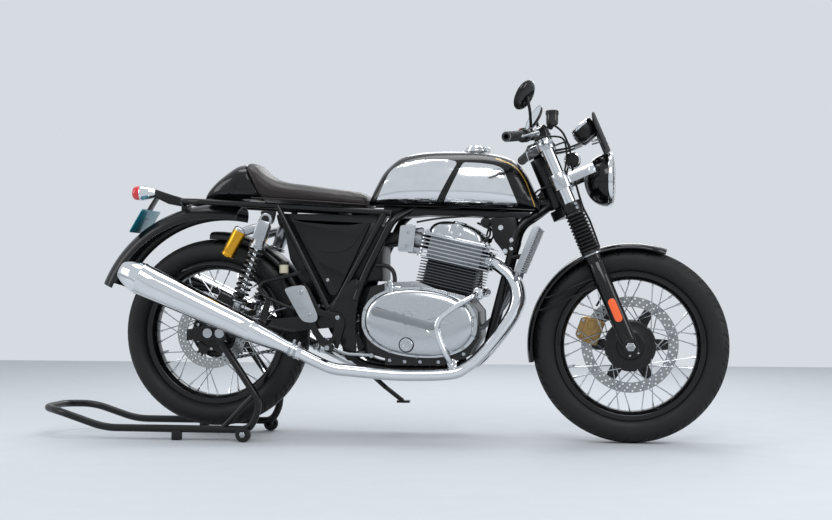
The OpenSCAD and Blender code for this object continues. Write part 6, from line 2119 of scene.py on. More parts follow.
# ---------------------------------------------------------------- frame
@dataclass
class Chassis:
    """Frame tubes, swingarm, shocks, footrests and rear brake."""

    place: Matrix = PLACES.pivot
    frame_r: float = 14.0
    rail_r: float = 10.0
    rail_y: float = 100.0
    plate_y: float = 117.3
    plate_t: float = 12.0
    shock_y: float = 134.0
    shock_top: Flat = (-268.786, 329.0)
    shock_foot: Flat = (-378.786, 12.269)
    foot_y: float = 129.6
    peg: Flat = (-45.0, -92.0)
    rear_axle: Flat = (-472.786, -49.731)

    def rail(self, x: float) -> float:
        """Gives the height of the seat rails at an x."""
        return 350 + (398.769 - 350) * (x - 150) / (-589.786 - 150)

    def on_head(self, s: float) -> Vector:
        """Gives a point on the steering axis at a distance above its foot."""
        a = math.radians(PLACES.head_angle)
        return Vector((694.5 - s * math.sin(a), 0, 367 + s * math.cos(a)))

    def build_tubes(self) -> None:
        """Builds the welded tube frame."""
        tubes = Shape(self.place)
        r, cradle = self.frame_r, -164.3
        tubes.tube(rounded([self.on_head(19) + Vector((-20, 8, 0)), (590, 27, 384), (230, 27, 384),
                            (185, 62, 352), (150, 98, 328), (60, 106, 150),
                            (32, self.plate_y + 6, 60)], 40, 8), r, POWDER_BLACK, 28)
        tubes.tube(rounded([self.on_head(12) + Vector((-20, 6, 0)), (618, 28, 340), (580, 50, 318),
                            (560, 60, 290), (458, 62, -100), (430, 66, -140), (395, 76, cradle),
                            (110, 84, cradle), (50, 96, -152), (14, self.plate_y + 6, -120)], 40, 8), r,
                            POWDER_BLACK, 28)
        bend = 150 + (-589.786 - 150) * 0.9
        tubes.tube(rounded([(150, self.rail_y, 350), (bend, self.rail_y, self.rail(bend)),
                            (-589.786, self.rail_y - 40, 398.769), (-589.786, 0, 398.769)], 60, 10),
                   self.rail_r, POWDER_BLACK, 24)
        tubes.tube([(-238, self.rail_y + 4, self.rail(-238)), (-60, self.plate_y + 6, 34)], self.rail_r,
                   POWDER_BLACK, 24)
        tubes.tube([(124, self.rail_y + 4, self.rail(124) - 6), (-44, self.plate_y + 6, 34)], self.rail_r,
                   POWDER_BLACK, 24)
        low, high = self.plate_y, self.plate_y + self.plate_t
        line = rounded([(-32, -8), (-24, 24), (-46, 20), (-66, 34), (-58, 44), (20, 130), (40, 130),
                        (52, 112), (32, 4), (34, -118), (22, -138), (4, -138), (-6, -122)], 10, 4, True)
        tubes.plate([(p.x, p.y) for p in line], low, high, POWDER_BLACK, edge=2)
        ear = rounded([(-295, 359), (-243, 359), (-252, 322), (-262, 313), (-276, 313), (-286, 322)], 8, 4,
                      True)
        tubes.plate([(p.x, p.y) for p in ear], self.rail_y - 6, self.shock_y - 17, POWDER_BLACK, edge=1.6)
        tubes.rod((self.shock_top[0], self.rail_y - 6, self.shock_top[1]),
                  (self.shock_top[0], self.shock_y + 16, self.shock_top[1]), 6, BRIGHT_STEEL)
        tubes.mirrored()
        tubes.tube([(-30, -self.rail_y, self.rail(-30)), (-30, self.rail_y, self.rail(-30))], self.rail_r,
                   POWDER_BLACK, 24)
        tubes.tube([(12, -self.plate_y, -124), (12, self.plate_y, -124)], 12, POWDER_BLACK, 24)
        gusset = [self.on_head(124), self.on_head(14), Vector((622, 0, 372)), Vector((626, 0, 396))]
        tubes.plate([(p.x, p.z) for p in gusset], -4, 4, POWDER_BLACK, edge=1)
        tubes.piece("tube_frame", "chassis", ["main_frame"], sharp=40)
        welds = Shape(self.place)
        for point, radius, way in ((self.on_head(19) + Vector((-24, 8, -2)), r + 1.2, (1, 0, 0.1)),
                                   (Vector((146, 101, 344)), self.rail_r + 2, (1, 0, 0)),
                                   (Vector((-58, self.plate_y + 5, 38)), self.rail_r + 2.2, (-0.5, 0, 0.9)),
                                   (Vector((-42, self.plate_y + 5, 38)), self.rail_r + 2.2, (0.5, 0, 0.9))):
            welds.lathe([(radius - 3, -2.6), (radius - 0.6, -2), (radius, 0), (radius - 0.6, 2),
                         (radius - 3, 2.6)], POWDER_BLACK, Matrix.Translation(point) @ along(way), 28,
                         closed=True)
        welds.mirrored().piece("weld_beads", "chassis", slot="main_frame")
        refine("headstock", POWDER_BLACK, 1.6)
        refine("side_stand_bracket", POWDER_BLACK, 1.0)
        refine("rear_axle", BRIGHT_STEEL, 1.0)
        bolts = Row(self.place)
        for x, z, size in ((0, 0, 2.0), (14, -120, 1.3), (34, 112, 1.3)):
            bolts.at((x, self.plate_y + self.plate_t, z), (0, 1, 0),
                     stretch=(size, size, 0.9 if size < 2 else 0.05))
        bolts.at((self.shock_top[0], self.shock_y + 14.4, self.shock_top[1]), (0, 1, 0),
                 stretch=(1.5, 1.5, 0.8))
        bolts.mirrored().grow("frame_bolts", "chassis", Repeated.HEX_HEAD, POWDER_BLACK,
                              {"Radius": 6.6, "Height": 5})
        feet = Row(self.place)
        feet.at((self.shock_foot[0], self.shock_y + 14.4, self.shock_foot[1]), (0, 1, 0),
                stretch=(1.5, 1.5, 0.8))
        feet.mirrored().grow("shock_foot_bolts", "chassis", Repeated.HEX_HEAD, CHROME,
                             {"Radius": 6.6, "Height": 5})

    def build_trays(self) -> None:
        """Builds the battery box under the seat, the tray under the tank and the inner mudguard."""
        seat, tank, guard = Shape(self.place), Shape(self.place), Shape(PLACES.rear)
        seat.plate([(-232, 352), (104, 344), (66, 240), (-22, 56), (-80, 56), (-144, 106), (-200, 196)],
                   -84, 84, SATIN_PLASTIC, edge=2)
        seat.piece("battery_box", "chassis", slot="main_frame")
        tank.plate([(96, 346), (120, 374), (340, 362), (600, 350), (606, 340), (560, 330), (400, 340),
                    (250, 344), (170, 338)], -58, 58, SATIN_PLASTIC, edge=2)
        tank.piece("under_tank_tray", "chassis", slot="main_frame")
        rings, inner, outer, half = 34, 343.0, 346.0, 68.0
        section = [(inner - 26 + 26 * power(math.sin(math.radians(a)), 0.7),
                    half * math.cos(math.radians(a))) for a in range(0, 181, 12)]
        loop = section + [(r + outer - inner, y * 1.03) for r, y in reversed(section)]
        verts = [(r * math.cos(a), y, r * math.sin(a)) for a in (math.radians(26 + 66 * k / rings)
                for k in range(rings + 1)) for r, y in loop]
        guard.add(verts, rings_faces(rings + 1, len(loop)), SATIN_PLASTIC)
        guard.piece("inner_mudguard", "chassis", slot="rear_fender", sharp=50)

    def build_swingarm(self) -> None:
        """Finishes the swingarm and adds the chain adjusters."""
        refine("swingarm", POWDER_BLACK, 3.0)
        trim = Shape(self.place)
        axle = Vector((self.rear_axle[0], 0, self.rear_axle[1]))
        at = axle + axle.normalized() * 40
        hole = [(axle.x + x, axle.z + z) for x, z in ring_of(24, 13)]
        trim.plate([(at.x - 34, at.z + 17), (at.x + 66, at.z + 27), (at.x + 62, at.z - 12),
                    (at.x - 36, at.z - 21)],
                   117.2, 119.2, POWDER_BLACK, [hole], 0.6)
        trim.mirrored().piece("axle_plates", "chassis", slot="swingarm")
        spools = Shape(self.place)
        spools.lathe([(0, 117), (17, 117), (17, 121), (10.1, 123), (10.1, 141), (15.2, 141.2), (15.8, 142),
                      (15.8, 144.6), (14, 145.8), (0, 145.8)],
                     SATIN_ALLOY, shift(axle.x + 47, 0, axle.z) @ AXLE, 40)
        spools.mirrored().piece("stand_spools", "chassis", slot="swingarm")

    def build_shocks(self) -> None:
        """Builds both shock absorbers with their reservoirs and springs."""
        top, foot = Vector((self.shock_top[0], self.shock_y,
                            self.shock_top[1])), Vector((self.shock_foot[0], self.shock_y,
                                    self.shock_foot[1]))
        long = (foot - top).length
        axis = Matrix.Translation(top) @ along(foot - top, (0, 1, 0))
        silver, gold, black = Shape(self.place), Shape(self.place), Shape(self.place)
        silver.lathe([(0, 10), (17, 12), (22, 16), (24, 22), (24, 60), (22, 64), (22, 88), (20, 90),
                      (0, 90)], SATIN_ALLOY, axis, 48)
        silver.lathe([(7, -13.6), (18, -13.6), (20.5, -11.6), (20.5, 11.6), (18, 13.6), (7, 13.6)],
                     SATIN_ALLOY, Matrix.Translation(top) @ AXLE, 48, closed=True)
        silver.lathe([(7.6, -13.6), (13, -13.6), (15, -12), (15, 12), (13, 13.6), (7.6, 13.6)], SATIN_ALLOY,
                     Matrix.Translation(foot) @ AXLE, 40, closed=True)
        silver.lathe([(0, long - 54), (21, long - 54), (22, long - 52), (22, long - 46), (15, long - 42),
                      (13, long - 26), (11, long - 14), (0, long - 12)], SATIN_ALLOY, axis, 40)
        silver.lathe([(0, 86), (8, 86), (8, long - 50), (0, long - 50)], CHROME, axis, 32)
        silver.block((-22, -24, 4), (22, -8, 74), SATIN_ALLOY, 6,
                     Matrix.Translation(top) @ along(foot - top, (1, 0, 0)))
        silver.tube(smooth([top + Vector((-10, 0, -26)), top + Vector((-40, 3, -30)),
                            top + Vector((-72, 6, -40))], 10), 15, SATIN_ALLOY, 24)
        gold_from = Vector((top.x - 82, self.shock_y + 10, top.z - 30))
        gold_to = Vector((top.x - 132, self.shock_y + 10, top.z - 122))
        span = (gold_to - gold_from).length
        pot = Matrix.Translation(gold_from) @ along(gold_to - gold_from, (0, 1, 0))
        gold.lathe([(0, 10), (22.4, 10), (22.6, 11), (22.6, span - 14), (22, span - 13), (22, span - 11),
                    (22.6, span - 10), (22.6, span - 4), (20.6, span - 1), (17, span), (0, span)],
                    GOLD_ANODISED, pot, 56)
        silver.lathe([(0, 88), (26, 88), (27.6, 89.4), (27.6, 93), (25, 94), (25, 96), (27.6, 97),
                      (27.6, 100.6), (26, 102), (0, 102)], SATIN_ALLOY, axis, 48)
        black.lathe([(0, long - 60), (27.4, long - 60), (27.6, long - 54), (22, long - 50), (0, long - 50)],
                    POWDER_BLACK, axis, 48)
        silver.lathe([(0, -1), (18, -1), (22, 2), (22, 11), (0, 11)], SATIN_ALLOY, pot, 48)
        black.lathe([(8.2, long - 76), (14, long - 76), (15, long - 70), (13, long - 62), (8.2, long - 60)],
                    SOFT_RUBBER, axis, 32, closed=True)
        silver.mirrored().piece("shock_bodies", "chassis", ["rear_shocks"])
        gold.mirrored().piece("shock_reservoirs", "chassis", ["rear_shocks"])
        black.mirrored().piece("shock_bump_rubbers", "chassis", slot="rear_shocks")
        for side, name in ((1, "left"), (-1, "right")):
            spring_axis = Matrix.Translation(Vector((top.x, side * top.y, top.z))) @ along(foot - top,
                    (0, 1, 0)) @ shift(0, 0, 104)
            Row(Matrix.Identity(4)).grow(f"shock_spring_{name}", "chassis", Repeated.SPRING, SPRING_BLACK,
                                         {"Radius": 22.6, "Wire": 4.6, "Turns": 9.5,
                                          "Height": long - 60 - 108}, after=self.place @ spring_axis,
                                         sharp=60, replaces=["rear_shocks"])

    def build_rests(self) -> None:
        """Builds the footrest plates, pegs, pedals and their bolts."""
        plates, rubber, steel = Shape(self.place), Shape(self.place), Shape(self.place)
        line = rounded([(-205, 92), (-148, 115), (-124, 106), (-86, 30), (-20, 20), (0, -10), (-20, -84),
                        (-30, -108), (-60, -110), (-105, -60), (-131, -7)], 12, 4, True)
        hole = rounded([(-112, 46), (-96, 12), (-44, 2), (-34, -20), (-48, -66), (-64, -74), (-88, -44),
                        (-108, -2), (-150, 66)], 10, 4, True)
        plates.plate([(p.x, p.y) for p in line], self.foot_y, self.foot_y + 6, POWDER_BLACK,
                     [[(p.x, p.y) for p in hole]], edge=1.2)
        heel = rounded([(-207, 98), (-178, 108), (-142, 111), (-130, 98), (-92, 10), (-95, -8), (-118, -14),
                        (-144, -8), (-156, 8)], 10, 4, True)
        plates.plate([(p.x, p.y) for p in heel], self.foot_y + 7, self.foot_y + 11, SATIN_ALLOY, edge=1.4)
        plates.plate([((p.x + 146) * 0.8 - 146, (p.y - 50) * 0.84 + 50) for p in heel], self.foot_y + 10.6,
                     self.foot_y + 12, SATIN_ALLOY, edge=0.8)
        x, z = self.peg
        rings: list[Flat] = [(0, 20), (9, 20)]
        y = 22.0
        while y < 80:
            rings += [(9.4, y), (11, y + 1), (11, y + 3.6), (9.4, y + 4.6)]
            y += 6.2
        rubber.lathe(rings + [(9, 83), (0, 84)], SOFT_RUBBER, shift(x, self.foot_y, z) @ AXLE, 32)
        steel.lathe([(0, 0), (11, 0), (11, 12), (8, 14), (8, 84), (0, 84)], BRIGHT_STEEL,
                    shift(x, self.foot_y + 2, z) @ AXLE, 28)
        pedal = [(x + 6, self.foot_y + 16, z - 4), (x + 50, self.foot_y + 22, z - 22),
                 (94, self.foot_y + 26, -118)]
        steel.tube(rounded(pedal, 20), 5, SATIN_ALLOY, 16)
        steel.lathe([(0, 0), (6, 0), (7, 1), (7, 25), (6, 26), (0, 26)], SATIN_ALLOY,
                    shift(94, self.foot_y + 22, -118) @ AXLE, 24)
        plates.mirrored().piece("footrest_hangers", "chassis", ["footrest_plates"])
        rubber.mirrored().piece("footrest_rubbers", "chassis", slot="grips")
        steel.mirrored().piece("footrest_pegs", "chassis", slot="footrest_plates")
        bolts = Row(self.place)
        for bx, bz in ((-149, 88), (-120, 12), (-26, 4), (-44, -96)):
            bolts.at((bx, self.foot_y + (12 if bx < -100 else 6), bz), (0, 1, 0))
        bolts.mirrored().grow("footrest_bolts", "chassis", Repeated.SOCKET_HEAD, BRIGHT_STEEL,
                              {"Radius": 7, "Height": 5})

    def build_caliper(self) -> None:
        """Builds the rear caliper and its fluid reservoir."""
        refine("rear_caliper", SATIN_PLASTIC, 3.0)
        pot = Shape(self.place)
        at = shift(-214, -112, 150)
        pot.lathe([(0, 0), (13, 0), (15, 2), (15, 30), (0, 30)], FLUID_PLASTIC, at, 32)
        pot.lathe([(0, 29), (16.4, 29), (16.4, 38), (15, 39.6), (0, 40)], SATIN_PLASTIC, at, 32)
        pot.tube(smooth([(-214, -112, 152), (-214, -114, 120), (-190, -116, 84), (-160, -118, 60)], 16), 4,
                 SOFT_RUBBER, 12)
        pot.tube(smooth([(-156, -112, 50), (-230, -108, 30), (-340, -104, 4), (-430, -96, 30),
                         (-424, -86, 56)], 30), 3.4, BRAID, 12)
        pot.piece("rear_brake_reservoir", "chassis", slot="rear_caliper")

    def build(self) -> None:
        """Builds the whole chassis."""
        self.build_tubes()
        self.build_trays()
        self.build_swingarm()
        self.build_shocks()
        self.build_rests()
        self.build_caliper()


# ---------------------------------------------------------------- bodywork
@dataclass(eq=False)
class Tank:
    """The fuel tank with its chrome flanks, gold line and filler."""

    place: Matrix = PLACES.pivot
    half_w: float = 129.0
    shape: float = 2.6
    belt: float = 0.34
    base_rear: float = 374.0
    base_front: float = 352.0
    filler_x: float = 418.0
    flange_r: float = 41.0
    top: float = 555.0
    rows: tuple[tuple[float, float, float], ...] = (
        (67, 398, 0.5), (78, 424, 0.62), (92, 452, 0.7), (112, 488, 0.77), (136, 514, 0.82),
        (168, 537, 0.87),
        (210, 550, 0.92), (270, 557, 0.97), (350, 557.5, 1), (425, 555, 0.99), (480, 547, 0.94),
        (530, 533, 0.84),
        (562, 512, 0.74), (588, 480, 0.62), (608, 440, 0.52), (625, 398, 0.45), (635, 362, 0.41))

    def base(self, x: float) -> float:
        """Gives the height of the tank's lower edge at an x."""
        return self.base_rear + (self.base_front - self.base_rear) * (x - 67) / 568

    def ring(self, u: float, count: int) -> list[Point]:
        """Gives one ring of the tank's skin.

        Args:
            u: How far along the rows.
            count: Points in the ring.

        Returns:
            The points.
        """
        x, top, share = curve_at(self.rows, u)
        base = self.base(x)
        middle = base + (top - base) * self.belt
        out = []
        for k in range(count):
            a = 2 * math.pi * k / count
            s = power(math.sin(a), 2 / self.shape)
            out.append((x, self.half_w * share * power(math.cos(a), 2 / self.shape),
                        middle + s * ((top - middle) if s > 0 else (middle - base))))
        return out

    @lru_cache(maxsize=None)
    def row_at(self, x: float) -> tuple[float, float]:
        """Finds the top and half width at an x, by halving.

        Args:
            x: The place along the tank.

        Returns:
            The top and the half width.
        """
        low, high = 0.0, float(len(self.rows) - 1)
        for _ in range(30):
            middle = (low + high) / 2
            low, high = (middle, high) if curve_at(self.rows, middle)[0] < x else (low, middle)
        row = curve_at(self.rows, low)
        return row[1], row[2] * self.half_w

    def side(self, x: float, z: float) -> float:
        """Gives the tank's half width at a point of its side view."""
        top, half = self.row_at(round(x, 2))
        base = self.base(x)
        middle = base + (top - base) * self.belt
        s = (z - middle) / (top - middle if z > middle else middle - base)
        s = min(0.999, abs(s)) ** (self.shape / 2)
        return half * power(math.sqrt(1 - s * s), 2 / self.shape)

    def cover(self, outline: Sequence[Flat], rise: float, finish: Finish, shape: Shape,
              grid: float = 7.0) -> None:
        """Adds a thin panel that follows the tank's flank, seen from the side in an outline.

        Args:
            outline: The outline in X and Z.
            rise: How far it stands proud.
            finish: Its finish.
            shape: The piece that it is added to.
            grid: Spacing of its points.
        """
        loop = [Vector(p) for p in outline]
        edge: list[Vector] = []
        for a, b in zip(loop, loop[1:] + loop[:1]):
            steps = max(1, round((b - a).length / grid))
            edge += [a + (b - a) * k / steps for k in range(steps)]
        n = len(edge)
        inner = []
        xs, zs = [p.x for p in edge], [p.y for p in edge]
        x = min(xs) + grid / 2
        while x < max(xs):
            z = min(zs) + grid / 2
            while z < max(zs):
                crossings = sum(1 for a, b in zip(edge, edge[1:] + edge[:1])
                                if (a.y > z) != (b.y > z) and x < (b.x - a.x) * (z - a.y) / (b.y - a.y)
                                + a.x)
                if crossings % 2 and min((Vector((x, z)) - p).length for p in edge) > grid * 0.45:
                    inner.append(Vector((x, z)))
                z += grid
            x += grid
        points, _, faces, *_rest = delaunay_2d_cdt(edge + inner, [], [list(range(n))], 1, 1e-4)
        top = [(p.x, self.side(p.x, p.y) + rise, p.y) for p in points]
        verts = top + [(p.x, self.side(p.x, p.y) - 1.5, p.y) for p in points]
        m = len(points)
        count: dict[tuple[int, int], int] = {}
        for f in faces:
            for a, b in zip(f, list(f[1:]) + [f[0]]):
                count[(a, b)] = count.get((a, b), 0) + 1
        rims = [(a, b) for (a, b) in count if (b, a) not in count]
        mesh = bmesh.new()
        vs = [mesh.verts.new(v) for v in verts]
        for f in faces:
            mesh.faces.new([vs[i] for i in f])
            mesh.faces.new([vs[i + m] for i in reversed(f)])
        for a, b in rims:
            mesh.faces.new((vs[b], vs[a], vs[a + m], vs[b + m]))
        shape.add_mesh(mesh, finish)

    def build_shell(self) -> None:
        """Builds the enamelled shell, hollow over the frame's spine, with its seam."""
        count, steps = 96, 130
        last = len(self.rows) - 1
        verts: list[Point] = []
        for k in range(steps + 1):
            for p in self.ring(k * last / steps, count):
                verts.append(p)
        for i, (x, y, z) in enumerate(verts):
            base = self.base(x)
            if abs(y) < 50 and z < base + 20:
                verts[i] = (x, y, max(z, 398.0 if abs(y) < 46 else z))
        Shape(self.place).add(verts, rings_faces(steps + 1, count), GLOSS_BLACK).piece("tank_shell",
                "chassis", ["fuel_tank"], sharp=50)
        seam = Shape(self.place)
        line = []
        for k in range(2, 60):
            x = 80 + (626 - 80) * k / 60
            line.append((x, self.side(x, self.base(x) + 9) + 0.2, self.base(x) + 5))
        seam.tube(line, 2.0, GLOSS_BLACK, 10)
        seam.mirrored().piece("tank_seam", "chassis", slot="fuel_tank")

    def build_panels(self) -> None:
        """Builds the chrome flanks, the black band between them and the gold line."""
        chrome, stripe = Shape(self.place), Shape(self.place)
        rear = [(92, 384), (98, 396), (114, 430), (138, 484), (154, 500), (180, 513), (223, 522),
                (290, 526), (341, 522), (362, 517), (366, 508), (300, 388), (292, 378)]
        front = [(388, 513), (440, 510), (484, 504), (506, 497), (518, 488), (560, 384), (564, 370),
                 (552, 364), (332, 374), (322, 380)]
        for outline in (rear, front):
            line = rounded([(x, 0, z) for x, z in outline], 9, 4, True)
            self.cover([(p.x, p.z) for p in line], 0.9, SHEET_CHROME, chrome)
        chrome.mirrored().piece("chrome_flanks", "chassis", slot="fuel_tank", sharp=50)
        gold = smooth([(492, 530), (504, 525), (528, 516), (547, 506), (564, 492), (577, 474), (588, 455),
                       (596, 436), (606, 408), (613, 388), (619, 370)], 60)
        low = [(p[0] - 2.0, p[1] - 4.4) for p in gold]
        self.cover([tuple(p) for p in gold] + list(reversed(low)), 0.35, GOLD_PAINT, stripe, 9)
        stripe.mirrored().piece("gold_line", "chassis", slot="fuel_tank", sharp=50)

    def build_filler(self) -> None:
        """Finishes the neck and builds the hinged cap."""
        refine("filler_neck", CHROME, 0.8)
        refine("filler_cap", CHROME, 1.2)
        trim = Shape(self.place)
        trim.lathe([(0, 20.2), (18, 20.2), (19, 20.8), (19, 21.6), (17.6, 22), (0, 22.2)], SATIN_ALLOY,
                   shift(self.filler_x, 0, self.top), 48)
        trim.block((-7, -1.6, 22), (7, 1.6, 23.2), DIAL_BLACK, 0.4, shift(self.filler_x, 0, self.top))
        trim.piece("cap_lock", "filler_lid", slot="filler_cap")
        screws = Row(self.place)
        for x, y in ring_of(6, 36.5, 30):
            if x < 24:
                screws.at((self.filler_x + x, y, self.top + 7))
        screws.grow("filler_screws", "chassis", Repeated.SOCKET_HEAD, BRIGHT_STEEL,
                    {"Radius": 2.6, "Height": 1.2})

    def build(self) -> None:
        """Builds the whole tank."""
        self.build_shell()
        self.build_panels()
        self.build_filler()


@dataclass
class Seat:
    """The padded seat, its piping and stitches, and the tail cowl behind it."""

    place: Matrix = PLACES.pivot
    half_w: float = 122.0
    pad_rows: tuple[tuple[float, float, float, float], ...] = (
        (-291, 523, 0.95, -0.52), (-285, 530, 0.97, -0.42), (-279, 521, 0.99, -0.33), (-270, 492, 1, -0.24),
        (-250, 469, 1, -0.1), (-214, 456, 1, 0), (-150, 447, 1, 0), (-82, 437, 0.97, 0), (-16, 428, 0.9, 0),
        (34, 421, 0.8, 0),
        (54, 413, 0.72, 0), (60, 400, 0.62, 0))
    cowl_rows: tuple[tuple[float, float, float, float], ...] = (
        (-505, 410, 0.4, 0), (-497, 424, 0.52, 0), (-482, 443, 0.66, 0), (-450, 473, 0.8, -0.03),
        (-400, 503, 0.9, -0.12),
        (-350, 518, 0.94, -0.3), (-291.6, 523, 0.95, -0.52))

    def base(self, x: float) -> float:
        """Gives the height of the underside at an x."""
        return 350 + (398.769 - 350) * (x - 150) / (-589.786 - 150) + 10.3

    def ring(self, rows: Sequence[Sequence[float]], u: float, count: int,
             shrink: float = 1.0) -> list[Vector]:
        """Gives one ring of the pad or the cowl.

        Args:
            rows: The rows that the ring lies between.
            u: How far along them.
            count: Points in the ring.
            shrink: Share of its full size.

        Returns:
            The points.
        """
        x, top, share, lean = curve_at(rows, u)
        base = self.base(x)
        middle = base + (top - base) * 0.4
        out = []
        for k in range(count):
            a = 2 * math.pi * k / count
            s = power(math.sin(a), 2 / 2.8)
            z = middle + s * ((top - middle) if s > 0 else (middle - base)) * shrink
            out.append(Vector((x + lean * (z - base), self.half_w * share * shrink * power(math.cos(a),
                    2 / 2.8), z)))
        return out

    def build_cowl(self) -> None:
        """Builds the glossy cowl with its recessed side and edge bead."""
        count, steps = 96, 70
        last = len(self.cowl_rows) - 1
        verts = [p for k in range(steps + 1) for p in self.ring(self.cowl_rows, k * last / steps, count)]
        for v in verts:
            if v.x < -293 and abs(v.y) > 60 and 402 < v.z < 490:
                left, right, low, high = -429 + (v.z - 399) * 0.35, -292 - (v.z
                        - 399) * 0.62, 399, 399 + (v.x + 429) * 1.15
                depth = min((v.x - left) / 8, (right - v.x) / 8, (v.z - low) / 8, (high - v.z) / 8, 1.0)
                if depth > 0:
                    v.y -= math.copysign(3.2 * depth, v.y)
        Shape(self.place).add(verts, rings_faces(steps + 1, count), GLOSS_BLACK).piece("tail_cowl",
                "chassis", ["seat_cowl"], sharp=50)

    def build_pad(self) -> None:
        """Builds the pad: a loft that swells like foam under a stretched hide."""
        count, steps = 72, 90
        last = len(self.pad_rows) - 1
        verts = [p for k in range(steps + 1) for p in self.ring(self.pad_rows, k * last / steps, count,
                0.988)]
        mesh = bpy.data.meshes.new("seat_pad")
        mesh.from_pydata([self.place @ v for v in verts], [], rings_faces(steps + 1, count))
        obj = bpy.data.objects.new("seat_pad", mesh)
        bpy.context.scene.collection.objects.link(obj)
        self.swell(obj)
        obj.data.materials.clear()
        obj.data.materials.append(SEAT_LEATHER.material())
        obj.data.shade_smooth()
        hand_over(obj, "chassis", ["seat"])

    def swell(self, obj: bpy.types.Object) -> None:
        """Swells the pad with a short cloth simulation and keeps each point near its place.

        Args:
            obj: The pad, whose mesh is replaced.
        """
        remesh = obj.modifiers.new("voxels", "REMESH")
        remesh.mode, remesh.voxel_size, remesh.use_smooth_shade = "VOXEL", 0.006, True
        bake(obj)
        rest = [v.co.copy() for v in obj.data.vertices]
        floor = obj.vertex_groups.new(name="held")
        low = [v.index for v in obj.data.vertices
               if (PLACES.pivot.inverted() @ v.co).z < self.base((PLACES.pivot.inverted() @ v.co).x) + 8]
        floor.add(low, 1.0, "REPLACE")
        cloth = obj.modifiers.new("hide", "CLOTH")
        settings = cloth.settings
        settings.use_pressure, settings.uniform_pressure_force = True, 3.0
        settings.effector_weights.gravity = 0.0
        settings.vertex_group_mass = "held"
        settings.quality = 4
        scene = bpy.context.scene
        cloth.point_cache.frame_start, cloth.point_cache.frame_end = 1, 14
        for step in range(1, 15):
            scene.frame_set(step)
        bake(obj)
        cap = 0.0035
        for vertex, was in zip(obj.data.vertices, rest):
            move = vertex.co - was
            if move.length > cap:
                vertex.co = was + move.normalized() * cap
        scene.frame_set(1)
        fine = obj.modifiers.new("fine", "SUBSURF")
        fine.levels = fine.render_levels = 1
        bake(obj)

    def build_seams(self) -> None:
        """Adds the piping round the pad's foot and the double row of stitches."""
        piping = Shape(self.place)
        last = len(self.pad_rows) - 1
        stitches = Row(self.place)
        edge = [self.ring(self.pad_rows, k * last / 90, 72, 1.0)[1] for k in range(91)]
        piping.tube([(p.x, (p.y - 0.6) * 0.985, self.base(p.x) + 12) for p in edge], 2.6, SEAT_LEATHER, 10)
        piping.mirrored().piece("seat_piping", "chassis", slot="seat")
        for index in (9, 10):
            prev: Optional[Vector] = None
            walked = 0.0
            for k in range(150, 960):
                u = k * last / 1000
                p = self.ring(self.pad_rows, u, 72, 1.0)[index]
                if prev is not None:
                    walked += (p - prev).length
                    if walked > 6.4:
                        stitches.at(p, (0, 0.5, 0.86), p - prev)
                        walked = 0.0
                prev = p
        stitches.mirrored().grow("seat_stitches", "chassis", Repeated.STITCH, THREAD,
                                 {"Radius": 0.9, "Length": 4.4}, sharp=80)

    def build(self) -> None:
        """Builds seat and cowl."""
        self.build_cowl()
        self.build_pad()
        self.build_seams()


